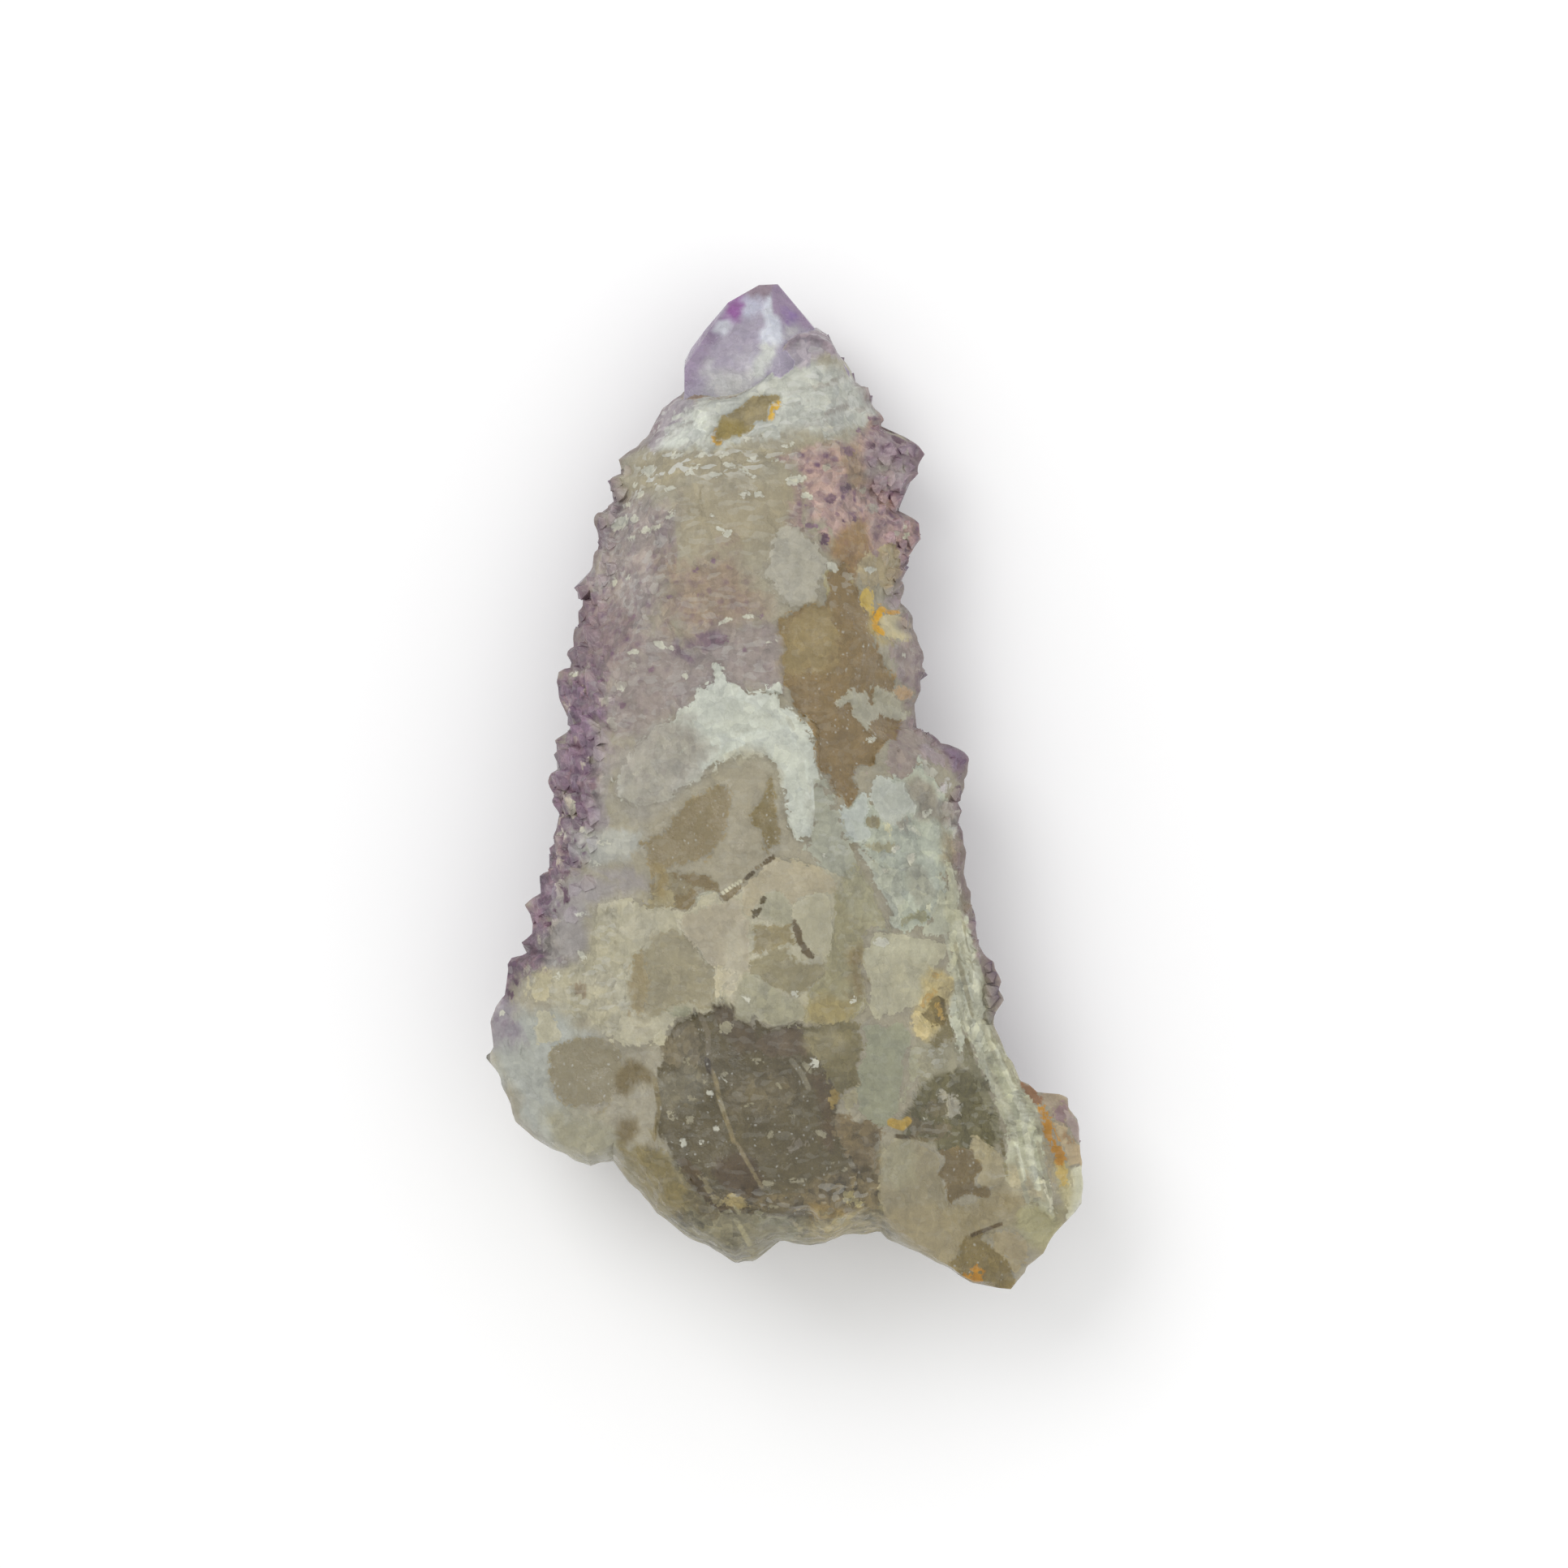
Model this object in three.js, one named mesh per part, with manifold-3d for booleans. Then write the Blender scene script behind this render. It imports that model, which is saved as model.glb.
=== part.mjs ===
// A cactus quartz cluster, also called spirit quartz: one tapering host crystal, broken open along one
// long side, with its other sides under a crust of small amethyst points. It was grown as one piece.
// It lies on its back with the broken side up. Millimetres, +Z up, +Y towards the termination.
import * as THREE from "three";
import { ConvexGeometry } from "three/addons/geometries/ConvexGeometry.js";
import { mergeVertices } from "three/addons/utils/BufferGeometryUtils.js";
import Module from "manifold-3d";

// The host crystal's outline seen from above, as three open lines of [x, y]
const LEFT_EDGE = [
  [-7.5, 29.7], [-9.1, 28.4], [-9.9, 26.5], [-11.7, 24.1], [-12.6, 21.7], [-13.3, 19.3], [-13.8, 16.3],
  [-14.7, 13.3], [-15.3, 10.2], [-15.7, 6.6], [-15.9, 3.6], [-16.4, 0.6], [-16.4, -2.4], [-16.9, -5.5],
  [-17.8, -8.2], [-18.4, -10.9], [-19.8, -13.6], [-20.2, -15.7], [-21.3, -17.4], [-21.7, -20.0],
];
const RIGHT_EDGE = [
  [5.7, 29.7], [6.3, 28.4], [6.9, 26.5], [7.6, 24.4], [8.0, 21.7], [8.3, 19.3], [8.5, 16.3], [8.5, 13.9],
  [8.9, 11.7], [9.7, 9.6], [9.9, 7.8], [9.4, 6.0], [9.7, 4.2], [11.1, 2.7], [12.6, 1.2], [12.8, -1.8],
  [12.9, -4.9], [13.4, -7.9], [14.1, -10.9], [14.7, -13.3], [15.5, -15.4], [15.5, -17.7], [16.4, -20.0],
  [17.3, -22.0], [19.3, -22.9], [20.9, -23.9], [21.7, -26.6], [22.1, -29.0], [22.0, -30.9],
];
const BASE_EDGE = [
  [-21.7, -20.0], [-20.5, -22.7], [-19.9, -24.7], [-18.6, -26.0], [-16.5, -27.2], [-14.6, -28.4],
  [-12.6, -27.8], [-11.5, -29.4], [-9.3, -31.7], [-7.1, -33.5], [-5.5, -34.3], [-3.7, -35.5],
  [-2.2, -35.2], [-0.5, -34.0], [2.8, -34.1], [4.5, -33.3], [7.0, -33.1], [9.6, -34.5], [12.3, -35.7],
  [14.1, -37.0], [16.8, -37.3], [17.9, -35.5], [19.3, -34.8], [20.5, -32.6], [22.0, -30.9],
];

// Heights along the host, as [y, value], from the termination to the broken base
const MID_HEIGHT = [[30, 7.4], [18, 8.8], [0, 10.4], [-16, 11.8], [-30, 12.4]];
const FRONT_RISE = [[30, 5.2], [18, 7.4], [0, 8.8], [-16, 10.4], [-30, 10.8]];
const FLOOR_GAP = 1.5; // between the host's underside and the surface it lies on
const GRID_ACROSS = 20; // even numbers, because the underside's mesh is twice as coarse
const GRID_ALONG = 38;
const BASE_WALL = 5; // how far in from the broken base the wall reaches full height
const TIP_SLOPE = 4;
const BASE_CHIPS = 1.8; // how deep the broken base is notched

// Flat breaks that bound the host: a point of each and its rise per millimetre along X and Y
const FRONT_BREAKS = [
  { name: "left foot", at: [-14, -20, 20.6], rise: [0.62, 0.15] },
  { name: "left flank", at: [-11.5, -5, 19.0], rise: [0.65, 0.02] },
  { name: "upper left flank", at: [-8.5, 12, 16.8], rise: [0.5, -0.08] },
  { name: "upper right flank", at: [5, 14, 17.2], rise: [-0.7, -0.06] },
  { name: "right flank", at: [11.8, -12, 21.2], rise: [-1.3, -0.15] },
  { name: "side lobe", at: [18.5, -27, 18.6], rise: [-0.9, 0.15] },
  { name: "base left", at: [-8, -28.5, 21.0], rise: [0.25, 0.7] },
  { name: "base middle", at: [3, -30, 21.8], rise: [-0.1, 0.6] },
  { name: "base right", at: [14, -32, 19.6], rise: [-0.35, 0.5] },
  { name: "below the termination", at: [-1, 26, 14.4], rise: [0.05, -0.42] },
];
const UNDER_BREAKS = [
  { name: "under the left foot", at: [-12, -24, 2.2], rise: [-0.4, -0.5] },
  { name: "under the base", at: [3, -30, 2.8], rise: [0.1, -0.7] },
  { name: "under the side lobe", at: [16, -27, 3.4], rise: [0.5, -0.2] },
];

// The termination of the host crystal
const TIP = { centre: [-1.5, 28.0, 7.6], radius: 6.9, shoulder: 31.6, apexLeft: -2.1, apexRight: -0.5, apex: 37.5 };

// Ledges, flakes and hollows of the broken side: an outline and how far it stands up or sinks in
const LEDGES = [
  { name: "brown band", lift: -0.9, outline: [[3.2, 18.6], [6, 19.4], [5.6, 14.6], [7.1, 9.8], [3.9, 6.4],
    [5.8, 3.1], [4.5, -1.1], [2.4, 1.5], [0.5, 7.1], [-0.3, 12], [3.4, 13.8]] },
  { name: "pale oval", lift: 0.5, outline: [[-2.9, 16.6], [-1, 18.9], [1.8, 18.9], [3.2, 16], [2.2, 13.4], [-1.2, 14.2]] },
  { name: "milky cushion", lift: 1.0, outline: [[-5.9, 7.5], [-0.2, 7.2], [2.2, 3.5], [2.3, -2.1], [0.6, -3.4],
    [-1.1, 1.4], [-5, 1.6], [-9.3, -2.3], [-12.9, 1], [-9.7, 4.1]] },
  { name: "left window", lift: -0.4, outline: [[-3.7, -0.4], [-5.4, 0], [-7.9, -2], [-10.1, -6], [-8.5, -9.1],
    [-5.3, -7.6], [-5.7, -5.7]] },
  { name: "middle sheet", lift: 0.8, outline: [[-13.8, -8.8], [-5.7, -7.9], [-0.8, -6.3], [3.6, -7.2], [5.8, -11],
    [6.1, -16], [2.4, -17.4], [-4.1, -16.1], [-9.3, -19.1], [-13.4, -18.4]] },
  { name: "tongue flake", lift: 1.3, outline: [[-0.4, -5.5], [3.3, -7.8], [3.4, -12], [2.4, -12.6], [-1.1, -7.3]] },
  { name: "dark hollow", lift: -1.5, outline: [[-8.8, -19.5], [-6.3, -16.6], [-4.1, -16.2], [2.4, -17.9],
    [3.9, -25.4], [7.1, -29.5], [5, -32.3], [-3.9, -31.3], [-8.3, -27.6], [-9.4, -23]] },
  { name: "grey flake", lift: 0.6, outline: [[5.7, -17.7], [8.7, -17.7], [9.5, -22.7], [7.7, -24.8], [4.8, -22.6]] },
  { name: "warm flake", lift: 0.8, outline: [[6.6, -10.8], [11.1, -11.5], [12.8, -14.5], [9.1, -17.4], [6.3, -17.2]] },
  { name: "iron pit", lift: -1.0, outline: [[10.3, -16.2], [12, -15.3], [12.8, -18], [11, -19.2]] },
  { name: "side ridge", lift: 1.7, outline: [[12.1, -5.5], [14.4, -11.5], [15.6, -17.5], [18.7, -24.3], [20.5, -30.2],
    [18.4, -32], [15.1, -21.8], [11.8, -12]] },
  { name: "grey swirl", lift: -0.7, outline: [[8.9, -23.7], [12.9, -21.2], [16.2, -25.8], [14.5, -27.8], [8.8, -25.8]] },
  { name: "low flake", lift: 0.6, outline: [[7.1, -27.3], [11.2, -27.2], [12.9, -31.3], [16.1, -26.7], [18.2, -31.9],
    [12.9, -35.5], [8.7, -33.8]] },
];
const LEDGE_RAMP = 0.9; // the width of a ledge's step

// The crust of small crystals: spacing and radius at the termination and at the base
const CRUST = { tip: { spacing: 3.1, radius: 1.7 }, base: { spacing: 4.7, radius: 2.6 }, lean: 0.42, to: -28 };
const PYRAMID = 1.2; // a crystal's pointed part is this many radii long
const ROOT = 1.5; // how many radii a crystal reaches down below its shoulder
const BARE_BASE = 5.5; // no small crystals this close to the broken base

// How far the crust laps over the edges onto the broken side, as [y, width]
const LEFT_LAP = [[30, 1.2], [24, 3.2], [14, 3.4], [4, 2.6], [0, 4], [-8, 4.2], [-14, 2.2], [-19, 0.6], [-30, 0]];
const RIGHT_LAP = [[30, 2.4], [26, 6], [18, 6], [14, 1.6], [6, 1], [2, 3.6], [-3, 2.4], [-6, 0.8], [-19, 0.8], [-23, 0]];

// Larger crystals that show on the outline: where the point is, its heading seen from above in degrees
// (0 is +X, 90 is +Y), its radius and its height above the outline's own height
const EDGE_CRYSTALS = [
  { point: [10.3, 24.6], heading: 12, radius: 2.9, above: 1.0 },
  { point: [9.7, 22.9], heading: -8, radius: 1.6, above: 0.2 },
  { point: [10.2, 18.8], heading: 4, radius: 2.2, above: 0.8 },
  { point: [13.5, 2.4], heading: 38, radius: 2.6, above: 0.6 },
  { point: [13.3, -1.4], heading: 8, radius: 1.6, above: 0.4 },
  { point: [10.7, 8.3], heading: -6, radius: 1.8, above: 0.5 },
  { point: [9.4, 12.8], heading: 20, radius: 1.5, above: 0.4 },
  { point: [16.3, -15.8], heading: -4, radius: 2.3, above: 0.0 },
  { point: [15.0, -12.6], heading: 20, radius: 1.6, above: 0.3 },
  { point: [20.6, -23.0], heading: 62, radius: 1.9, above: 0.6 },
  { point: [18.9, -22.6], heading: 84, radius: 1.3, above: 1.4 },
  { point: [22.2, -26.4], heading: 20, radius: 1.8, above: 0.2 },
  { point: [7.6, 27.5], heading: 34, radius: 1.5, above: 0.6 },
  { point: [6.6, 29.6], heading: 42, radius: 1.5, above: 0.8 },
  { point: [3.5, 33.9], heading: 66, radius: 2.7, above: 1.2 },
  { point: [5.3, 31.1], heading: 50, radius: 1.8, above: 0.4 },
  { point: [-12.3, 24.4], heading: 142, radius: 1.3, above: 0.4 },
  { point: [-13.2, 22.8], heading: 164, radius: 1.4, above: 0.3 },
  { point: [-14.2, 20.0], heading: 172, radius: 1.7, above: 0.3 },
  { point: [-15.7, 14.8], heading: 182, radius: 1.8, above: 0.2 },
  { point: [-16.9, 7.6], heading: 172, radius: 2.5, above: 0.4 },
  { point: [-17.2, 3.4], heading: 160, radius: 1.5, above: 0.2 },
  { point: [-17.6, 0.4], heading: 172, radius: 1.7, above: 0.4 },
  { point: [-17.2, -3.2], heading: 178, radius: 1.5, above: 0.2 },
  { point: [-18.0, -6.8], heading: 158, radius: 1.6, above: 0.4 },
  { point: [-19.1, -9.0], heading: 174, radius: 1.7, above: 0.2 },
  { point: [-19.5, -11.6], heading: 170, radius: 1.6, above: 0.2 },
  { point: [-20.5, -13.3], heading: 152, radius: 2.1, above: 0.4 },
  { point: [-21.8, -17.3], heading: 160, radius: 1.8, above: 0.0 },
  { point: [-22.25, -19.8], heading: 178, radius: 1.4, above: 0.0 },
];

// A worn, flat crystal under the heaviest part, which the cluster rests on among the others
const REST_CRYSTAL = { at: [-1.4, -6.5], radius: 3.4, top: 3.5, bottom: -1 };

const SIDES = 6;
const FINEST = 0.005; // vertices sit on a lattice this fine, so that no two are almost at one place

function hash(i, j, k = 0) {
  const wave = Math.sin(i * 127.1 + j * 311.7 + k * 74.7) * 43758.5453;
  return wave - Math.floor(wave);
}

function mix(a, b, share) {
  return a + (b - a) * share;
}

function clamp(value, low, high) {
  return Math.min(high, Math.max(low, value));
}

// The value at key in a list of [key, value], whose keys rise or fall
function look(list, key) {
  const rising = list[list.length - 1][0] > list[0][0] ? 1 : -1;
  for (let i = 1; i < list.length; i++) {
    const [before, after] = [list[i - 1], list[i]];
    if ((key - after[0]) * rising <= 0)
      return mix(before[1], after[1], clamp((key - before[0]) / (after[0] - before[0]), 0, 1));
  }
  return list[list.length - 1][1];
}

// The point at a fraction of a line's length
function along(line, fraction) {
  const lengths = line.slice(1).map((p, i) => Math.hypot(p[0] - line[i][0], p[1] - line[i][1]));
  let left = fraction * lengths.reduce((a, b) => a + b, 0);
  for (let i = 0; i < lengths.length; i++) {
    if (left <= lengths[i] || i === lengths.length - 1) {
      const share = Math.min(1, left / lengths[i]);
      return [mix(line[i][0], line[i + 1][0], share), mix(line[i][1], line[i + 1][1], share)];
    }
    left -= lengths[i];
  }
}

// Signed distance to an outline, positive inside
function inside(outline, x, y) {
  let nearest = Infinity;
  let within = false;
  outline.forEach(([x1, y1], i) => {
    const [x2, y2] = outline[(i + 1) % outline.length];
    const share = clamp(((x - x1) * (x2 - x1) + (y - y1) * (y2 - y1)) / ((x2 - x1) ** 2 + (y2 - y1) ** 2), 0, 1);
    nearest = Math.min(nearest, Math.hypot(x - mix(x1, x2, share), y - mix(y1, y2, share)));
    if (y1 > y !== y2 > y && x < x1 + ((y - y1) * (x2 - x1)) / (y2 - y1)) within = !within;
  });
  return within ? nearest : -nearest;
}

// 0 at an edge, rising to 1 at the full depth; a rounded one starts upright
function shoulder(distance, depth, power, rounded = false) {
  const share = 1 - (1 - clamp(distance / depth, 0, 1)) ** power;
  return rounded ? Math.sqrt(share) : share;
}

function breakHeight(face, x, y) {
  return face.at[2] + face.rise[0] * (x - face.at[0]) + face.rise[1] * (y - face.at[1]);
}

// Broad waves that keep the surfaces from looking machined
function swell(x, y) {
  const long = Math.sin(0.33 * x + 1.9 * Math.sin(0.13 * y + 0.6)) * Math.sin(0.21 * y + 0.9);
  const short = Math.sin(0.74 * x - 0.52 * y + 2.1) + Math.sin(0.95 * y + 0.61 * x + 0.4);
  return 0.45 * long + 0.16 * short;
}

function ledgeLift(x, y) {
  let lift = 0;
  for (const ledge of LEDGES) {
    const share = clamp(inside(ledge.outline, x, y) / LEDGE_RAMP + 0.5, 0, 1);
    lift = mix(lift, ledge.lift, share);
  }
  return lift;
}

// The host's outline seen from above: across runs from 0 at the left edge to 1 at the right, and down
// from 0 below the termination to 1 at the broken base
function plan(across, down) {
  const [left, right] = [along(LEFT_EDGE, down), along(RIGHT_EDGE, down)];
  const x = mix(left[0], right[0], across);
  const chord = mix(left[1], right[1], across);
  const lowLeft = LEFT_EDGE[LEFT_EDGE.length - 1];
  const lowRight = RIGHT_EDGE[RIGHT_EDGE.length - 1];
  const baseChord = mix(lowLeft[1], lowRight[1], across);
  const baseX = mix(lowLeft[0], lowRight[0], across);
  const pull = clamp((down - 0.62) / 0.38, 0, 1) ** 1.4;
  return [x, chord + pull * (look(BASE_EDGE, baseX) - baseChord), right[0] - left[0]];
}

// Notches with sharp ridges between them, 0 to 1
function chips(x, phase) {
  const saw = (length, shift) => Math.abs((((x / length + shift) % 1) + 1) % 1 - 0.5) * 2;
  return 0.6 * saw(9.7, phase) + 0.4 * saw(4.3, phase * 2.3 + 0.2);
}

// A point of the host's surface, on the broken side (front) or on the underside
function hostPoint(across, down, front) {
  let [x, y, width] = plan(across, down);
  const toBase = y - plan(across, 1)[1];
  const inWall = clamp(toBase / BASE_WALL, 0, 1);
  y += BASE_CHIPS * chips(x, front ? 0.15 : 0.62) * Math.min(inWall * 4, (1 - inWall) * 1.4, 1);
  const fromTip = plan(across, 0)[1] - y;
  const ends = shoulder(toBase, BASE_WALL, 2, true) * shoulder(fromTip, TIP_SLOPE, 2);
  const toSide = Math.min(across, 1 - across) * width;
  const mid = look(MID_HEIGHT, y);
  if (front) {
    const flank = shoulder(toSide, 0.3 * width, 2) * ends;
    const inner = clamp(toSide / 3, 0, 1) * clamp(toBase / 2.5, 0, 1) * clamp(fromTip / 4, 0, 1);
    const broken = Math.min(mid + look(FRONT_RISE, y) * flank, ...FRONT_BREAKS.map((face) => breakHeight(face, x, y)));
    return new THREE.Vector3(x, y, Math.max(mid, broken) + (ledgeLift(x, y) + swell(x, y)) * inner);
  }
  const belly = mid - (mid - FLOOR_GAP) * shoulder(toSide, 0.26 * width, 2, true) * ends;
  const broken = Math.max(belly, ...UNDER_BREAKS.map((face) => breakHeight(face, x, y)));
  return new THREE.Vector3(x, y, Math.min(mid, broken));
}

// The host as a closed pillow: the broken side and the coarser underside meet along the outline
function hostGeometry() {
  const positions = [];
  const indices = [];
  const spread = (share) => mix(share, 0.5 - 0.5 * Math.cos(Math.PI * share), 0.5);
  const at = (i, j, front) => {
    const rim = i === 0 || j === 0 || i === GRID_ACROSS || j === GRID_ALONG;
    return j * (GRID_ACROSS + 1) + i + (front || rim ? 0 : (GRID_ACROSS + 1) * (GRID_ALONG + 1));
  };
  for (const front of [true, false])
    for (let j = 0; j <= GRID_ALONG; j++)
      for (let i = 0; i <= GRID_ACROSS; i++) positions.push(...hostPoint(spread(i / GRID_ACROSS), spread(j / GRID_ALONG), front).toArray());
  for (let j = 0; j < GRID_ALONG; j++)
    for (let i = 0; i < GRID_ACROSS; i++) {
      const [a, b, c, d] = [at(i, j, true), at(i + 1, j, true), at(i + 1, j + 1, true), at(i, j + 1, true)];
      indices.push(a, d, c, a, c, b);
    }
  for (let j = 0; j < GRID_ALONG; j += 2)
    for (let i = 0; i < GRID_ACROSS; i += 2) {
      const border = [at(i, j, false)];
      if (j === 0) border.push(at(i + 1, j, false));
      border.push(at(i + 2, j, false));
      if (i + 2 === GRID_ACROSS) border.push(at(i + 2, j + 1, false));
      border.push(at(i + 2, j + 2, false));
      if (j + 2 === GRID_ALONG) border.push(at(i + 1, j + 2, false));
      border.push(at(i, j + 2, false));
      if (i === 0) border.push(at(i, j + 1, false));
      const centre = at(i + 1, j + 1, false);
      if (border.length === 4) indices.push(border[0], border[1], border[2], border[0], border[2], border[3]);
      else border.forEach((corner, k) => indices.push(centre, corner, border[(k + 1) % border.length]));
    }
  const geometry = new THREE.BufferGeometry();
  geometry.setAttribute("position", new THREE.Float32BufferAttribute(positions, 3));
  geometry.setIndex(indices);
  return geometry;
}

// The host's own six-sided point, chisel-shaped, with a corner of the prism turned up
function tipGeometry() {
  const points = [];
  for (let k = 0; k < SIDES; k++) {
    const angle = THREE.MathUtils.degToRad(96 + (360 / SIDES) * k);
    const [x, z] = [TIP.centre[0] + TIP.radius * Math.cos(angle), TIP.centre[2] + TIP.radius * 0.94 * Math.sin(angle)];
    points.push(new THREE.Vector3(x, TIP.shoulder + (hash(k, 3) - 0.5), z));
    points.push(new THREE.Vector3(x, TIP.centre[1] - 4, z));
  }
  points.push(new THREE.Vector3(TIP.apexLeft, TIP.apex - 0.2, TIP.centre[2] + 0.5));
  points.push(new THREE.Vector3(TIP.apexRight, TIP.apex, TIP.centre[2] - 0.4));
  return new ConvexGeometry(points);
}

// A small six-sided crystal with its point at apex, looking along direction, its faces uneven. Its root
// narrows to a point, or is a six-sided column of the length given
function crystalGeometry(apex, direction, radius, seed, column = 0) {
  const axis = direction.clone().normalize();
  const turn = new THREE.Quaternion().setFromUnitVectors(new THREE.Vector3(0, 0, 1), axis);
  const positions = [...apex.toArray()];
  const ring = (drop, size) => {
    for (let k = 0; k < SIDES; k++) {
      const angle = (Math.PI * 2 * (k + hash(seed, 1))) / SIDES;
      const reach = radius * size * (0.88 + 0.24 * hash(seed, k, 2));
      const corner = new THREE.Vector3(reach * Math.cos(angle), reach * Math.sin(angle), -drop);
      positions.push(...corner.applyQuaternion(turn).add(apex).toArray());
    }
  };
  ring(PYRAMID * radius, 1);
  if (column > 0) ring((PYRAMID + column) * radius, 0.9);
  const foot = apex.clone().addScaledVector(axis, -(PYRAMID + ROOT) * radius);
  positions.push(...foot.toArray());
  const last = column > 0 ? 1 + SIDES : 1;
  const indices = [];
  for (let k = 0; k < SIDES; k++) {
    const next = (k + 1) % SIDES;
    indices.push(0, 1 + k, 1 + next);
    if (column > 0)
      indices.push(1 + k, 1 + SIDES + k, 1 + SIDES + next, 1 + k, 1 + SIDES + next, 1 + next);
    indices.push(last + k, last + SIDES, last + next);
  }
  const geometry = new THREE.BufferGeometry();
  geometry.setAttribute("position", new THREE.Float32BufferAttribute(positions, 3));
  geometry.setIndex(indices);
  return geometry;
}

// A place on the ring round the host: 0 to 1 crosses the underside from left to right, and the ring goes
// on below 0 and above 1 onto the broken side
function ringPoint(place, down) {
  if (place < 0) return hostPoint(-place, down, true);
  if (place > 1) return hostPoint(2 - place, down, true);
  return hostPoint(place, down, false);
}

function ringNormal(place, down) {
  const step = 0.02;
  const sideways = ringPoint(place + step, down).sub(ringPoint(place - step, down));
  const back = ringPoint(place, Math.max(down - step, 0)).sub(ringPoint(place, Math.min(down + step, 1)));
  return back.cross(sideways).normalize();
}

// Places evenly spaced along the ring at one level, with a jitter that repeats for the same row
function ringPlaces(row, down, low, high, spacing) {
  const steps = 80;
  const walked = [[0, low]];
  for (let i = 1; i <= steps; i++) {
    const [before, after] = [mix(low, high, (i - 1) / steps), mix(low, high, i / steps)];
    walked.push([walked[i - 1][0] + ringPoint(before, down).distanceTo(ringPoint(after, down)), after]);
  }
  const total = walked[steps][0];
  const count = Math.max(4, Math.round(total / spacing));
  const places = [];
  for (let column = 0; column < count; column++) {
    const shift = (row % 2) * 0.5 + 0.2 + (hash(row, column, 5) - 0.5) * 0.4;
    places.push(look(walked, clamp((column + shift) / count, 0, 1) * total));
  }
  return places;
}

// The crust: rows of crystals round the host, leaning towards its termination
function crustGeometries() {
  const found = [];
  const hostLength = plan(0.5, 0)[1] - plan(0.5, 1)[1];
  let fromTip = 0.6;
  for (let row = 0; fromTip < hostLength; row++) {
    const aged = clamp(fromTip / hostLength, 0, 1);
    const spacing = mix(CRUST.tip.spacing, CRUST.base.spacing, aged);
    const down = fromTip / hostLength;
    const [, midY, width] = plan(0.5, down);
    const low = -look(LEFT_LAP, midY) / width;
    const high = 1 + look(RIGHT_LAP, midY) / width;
    ringPlaces(row, down, low, high, spacing).forEach((place, column) => {
      const level = clamp(down + ((hash(row, column, 6) - 0.5) * 0.5 * spacing) / hostLength, 0.01, 0.99);
      const seat = ringPoint(place, level);
      const toBase = seat.y - plan(clamp(place, 0, 1), 1)[1];
      if (toBase < BARE_BASE || seat.y < CRUST.to) return;
      const radius = mix(CRUST.tip.radius, CRUST.base.radius, aged) * (0.78 + 0.5 * hash(row, column, 7));
      const direction = ringNormal(place, level);
      direction.y += CRUST.lean;
      direction.x += (hash(row, column, 8) - 0.5) * 0.5;
      direction.normalize();
      const apex = seat.addScaledVector(direction, radius * (0.6 + 0.3 * hash(row, column, 9)));
      found.push(crystalGeometry(apex, direction, radius, row * 100 + column));
    });
    fromTip += spacing * 0.88;
  }
  return found;
}

function edgeGeometries() {
  return EDGE_CRYSTALS.map(({ point, heading, radius, above }, i) => {
    const angle = THREE.MathUtils.degToRad(heading);
    const apex = new THREE.Vector3(point[0], point[1], look(MID_HEIGHT, point[1]) + above);
    return crystalGeometry(apex, new THREE.Vector3(Math.cos(angle), Math.sin(angle), 0.12), radius, 7000 + i, 0.8);
  });
}

// A column that stands down to the surface, with a flat six-sided end
function restGeometry() {
  const points = [];
  for (let k = 0; k < SIDES; k++) {
    const angle = (Math.PI * 2 * k) / SIDES;
    for (const z of [REST_CRYSTAL.bottom, REST_CRYSTAL.top])
      points.push(
        new THREE.Vector3(
          REST_CRYSTAL.at[0] + REST_CRYSTAL.radius * Math.cos(angle),
          REST_CRYSTAL.at[1] + REST_CRYSTAL.radius * 0.85 * Math.sin(angle),
          z,
        ),
      );
  }
  return new ConvexGeometry(points);
}

// What lies below the surface that the cluster rests on, cut away because those points are worn flat
function wornGeometry() {
  return new THREE.BoxGeometry(120, 160, 20).translate(0, 0, -10);
}

function solid(wasm, geometry) {
  const bare = geometry.clone();
  bare.deleteAttribute("normal");
  bare.deleteAttribute("uv");
  const merged = mergeVertices(bare, 1e-4);
  return new wasm.Manifold(
    new wasm.Mesh({
      numProp: 3,
      vertProperties: new Float32Array(merged.attributes.position.array),
      triVerts: new Uint32Array(merged.index.array),
    }),
  );
}

// The joined solid's geometry on the finest lattice, without the triangles that collapse on it
function geometryOf(manifold) {
  const { vertProperties, triVerts } = manifold.getMesh();
  const rounded = new THREE.BufferGeometry();
  const snapped = Float32Array.from(vertProperties, (value) => Math.round(value / FINEST) * FINEST);
  rounded.setAttribute("position", new THREE.BufferAttribute(snapped, 3));
  rounded.setIndex(new THREE.BufferAttribute(triVerts, 1));
  const geometry = mergeVertices(rounded, FINEST / 5);
  const kept = [];
  for (let i = 0; i < triVerts.length; i += 3) {
    const [a, b, c] = geometry.index.array.slice(i, i + 3);
    if (a !== b && b !== c && c !== a) kept.push(a, b, c);
  }
  geometry.setIndex(kept);
  return geometry;
}

// Sets the origin at the middle of the object's length and width, on the surface it lies on
function centred(geometry) {
  geometry.computeBoundingBox();
  const middle = geometry.boundingBox.getCenter(new THREE.Vector3());
  const onLattice = (value) => Math.round(value / FINEST) * FINEST;
  geometry.translate(-onLattice(middle.x), -onLattice(middle.y), 0);
  return geometry;
}

const wasm = await Module();
wasm.setup();

const grown = [hostGeometry(), tipGeometry(), restGeometry(), ...crustGeometries(), ...edgeGeometries()];
let cluster = solid(wasm, grown[0]);
for (const geometry of grown.slice(1)) cluster = cluster.add(solid(wasm, geometry));
cluster = cluster.subtract(solid(wasm, wornGeometry()));

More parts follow.
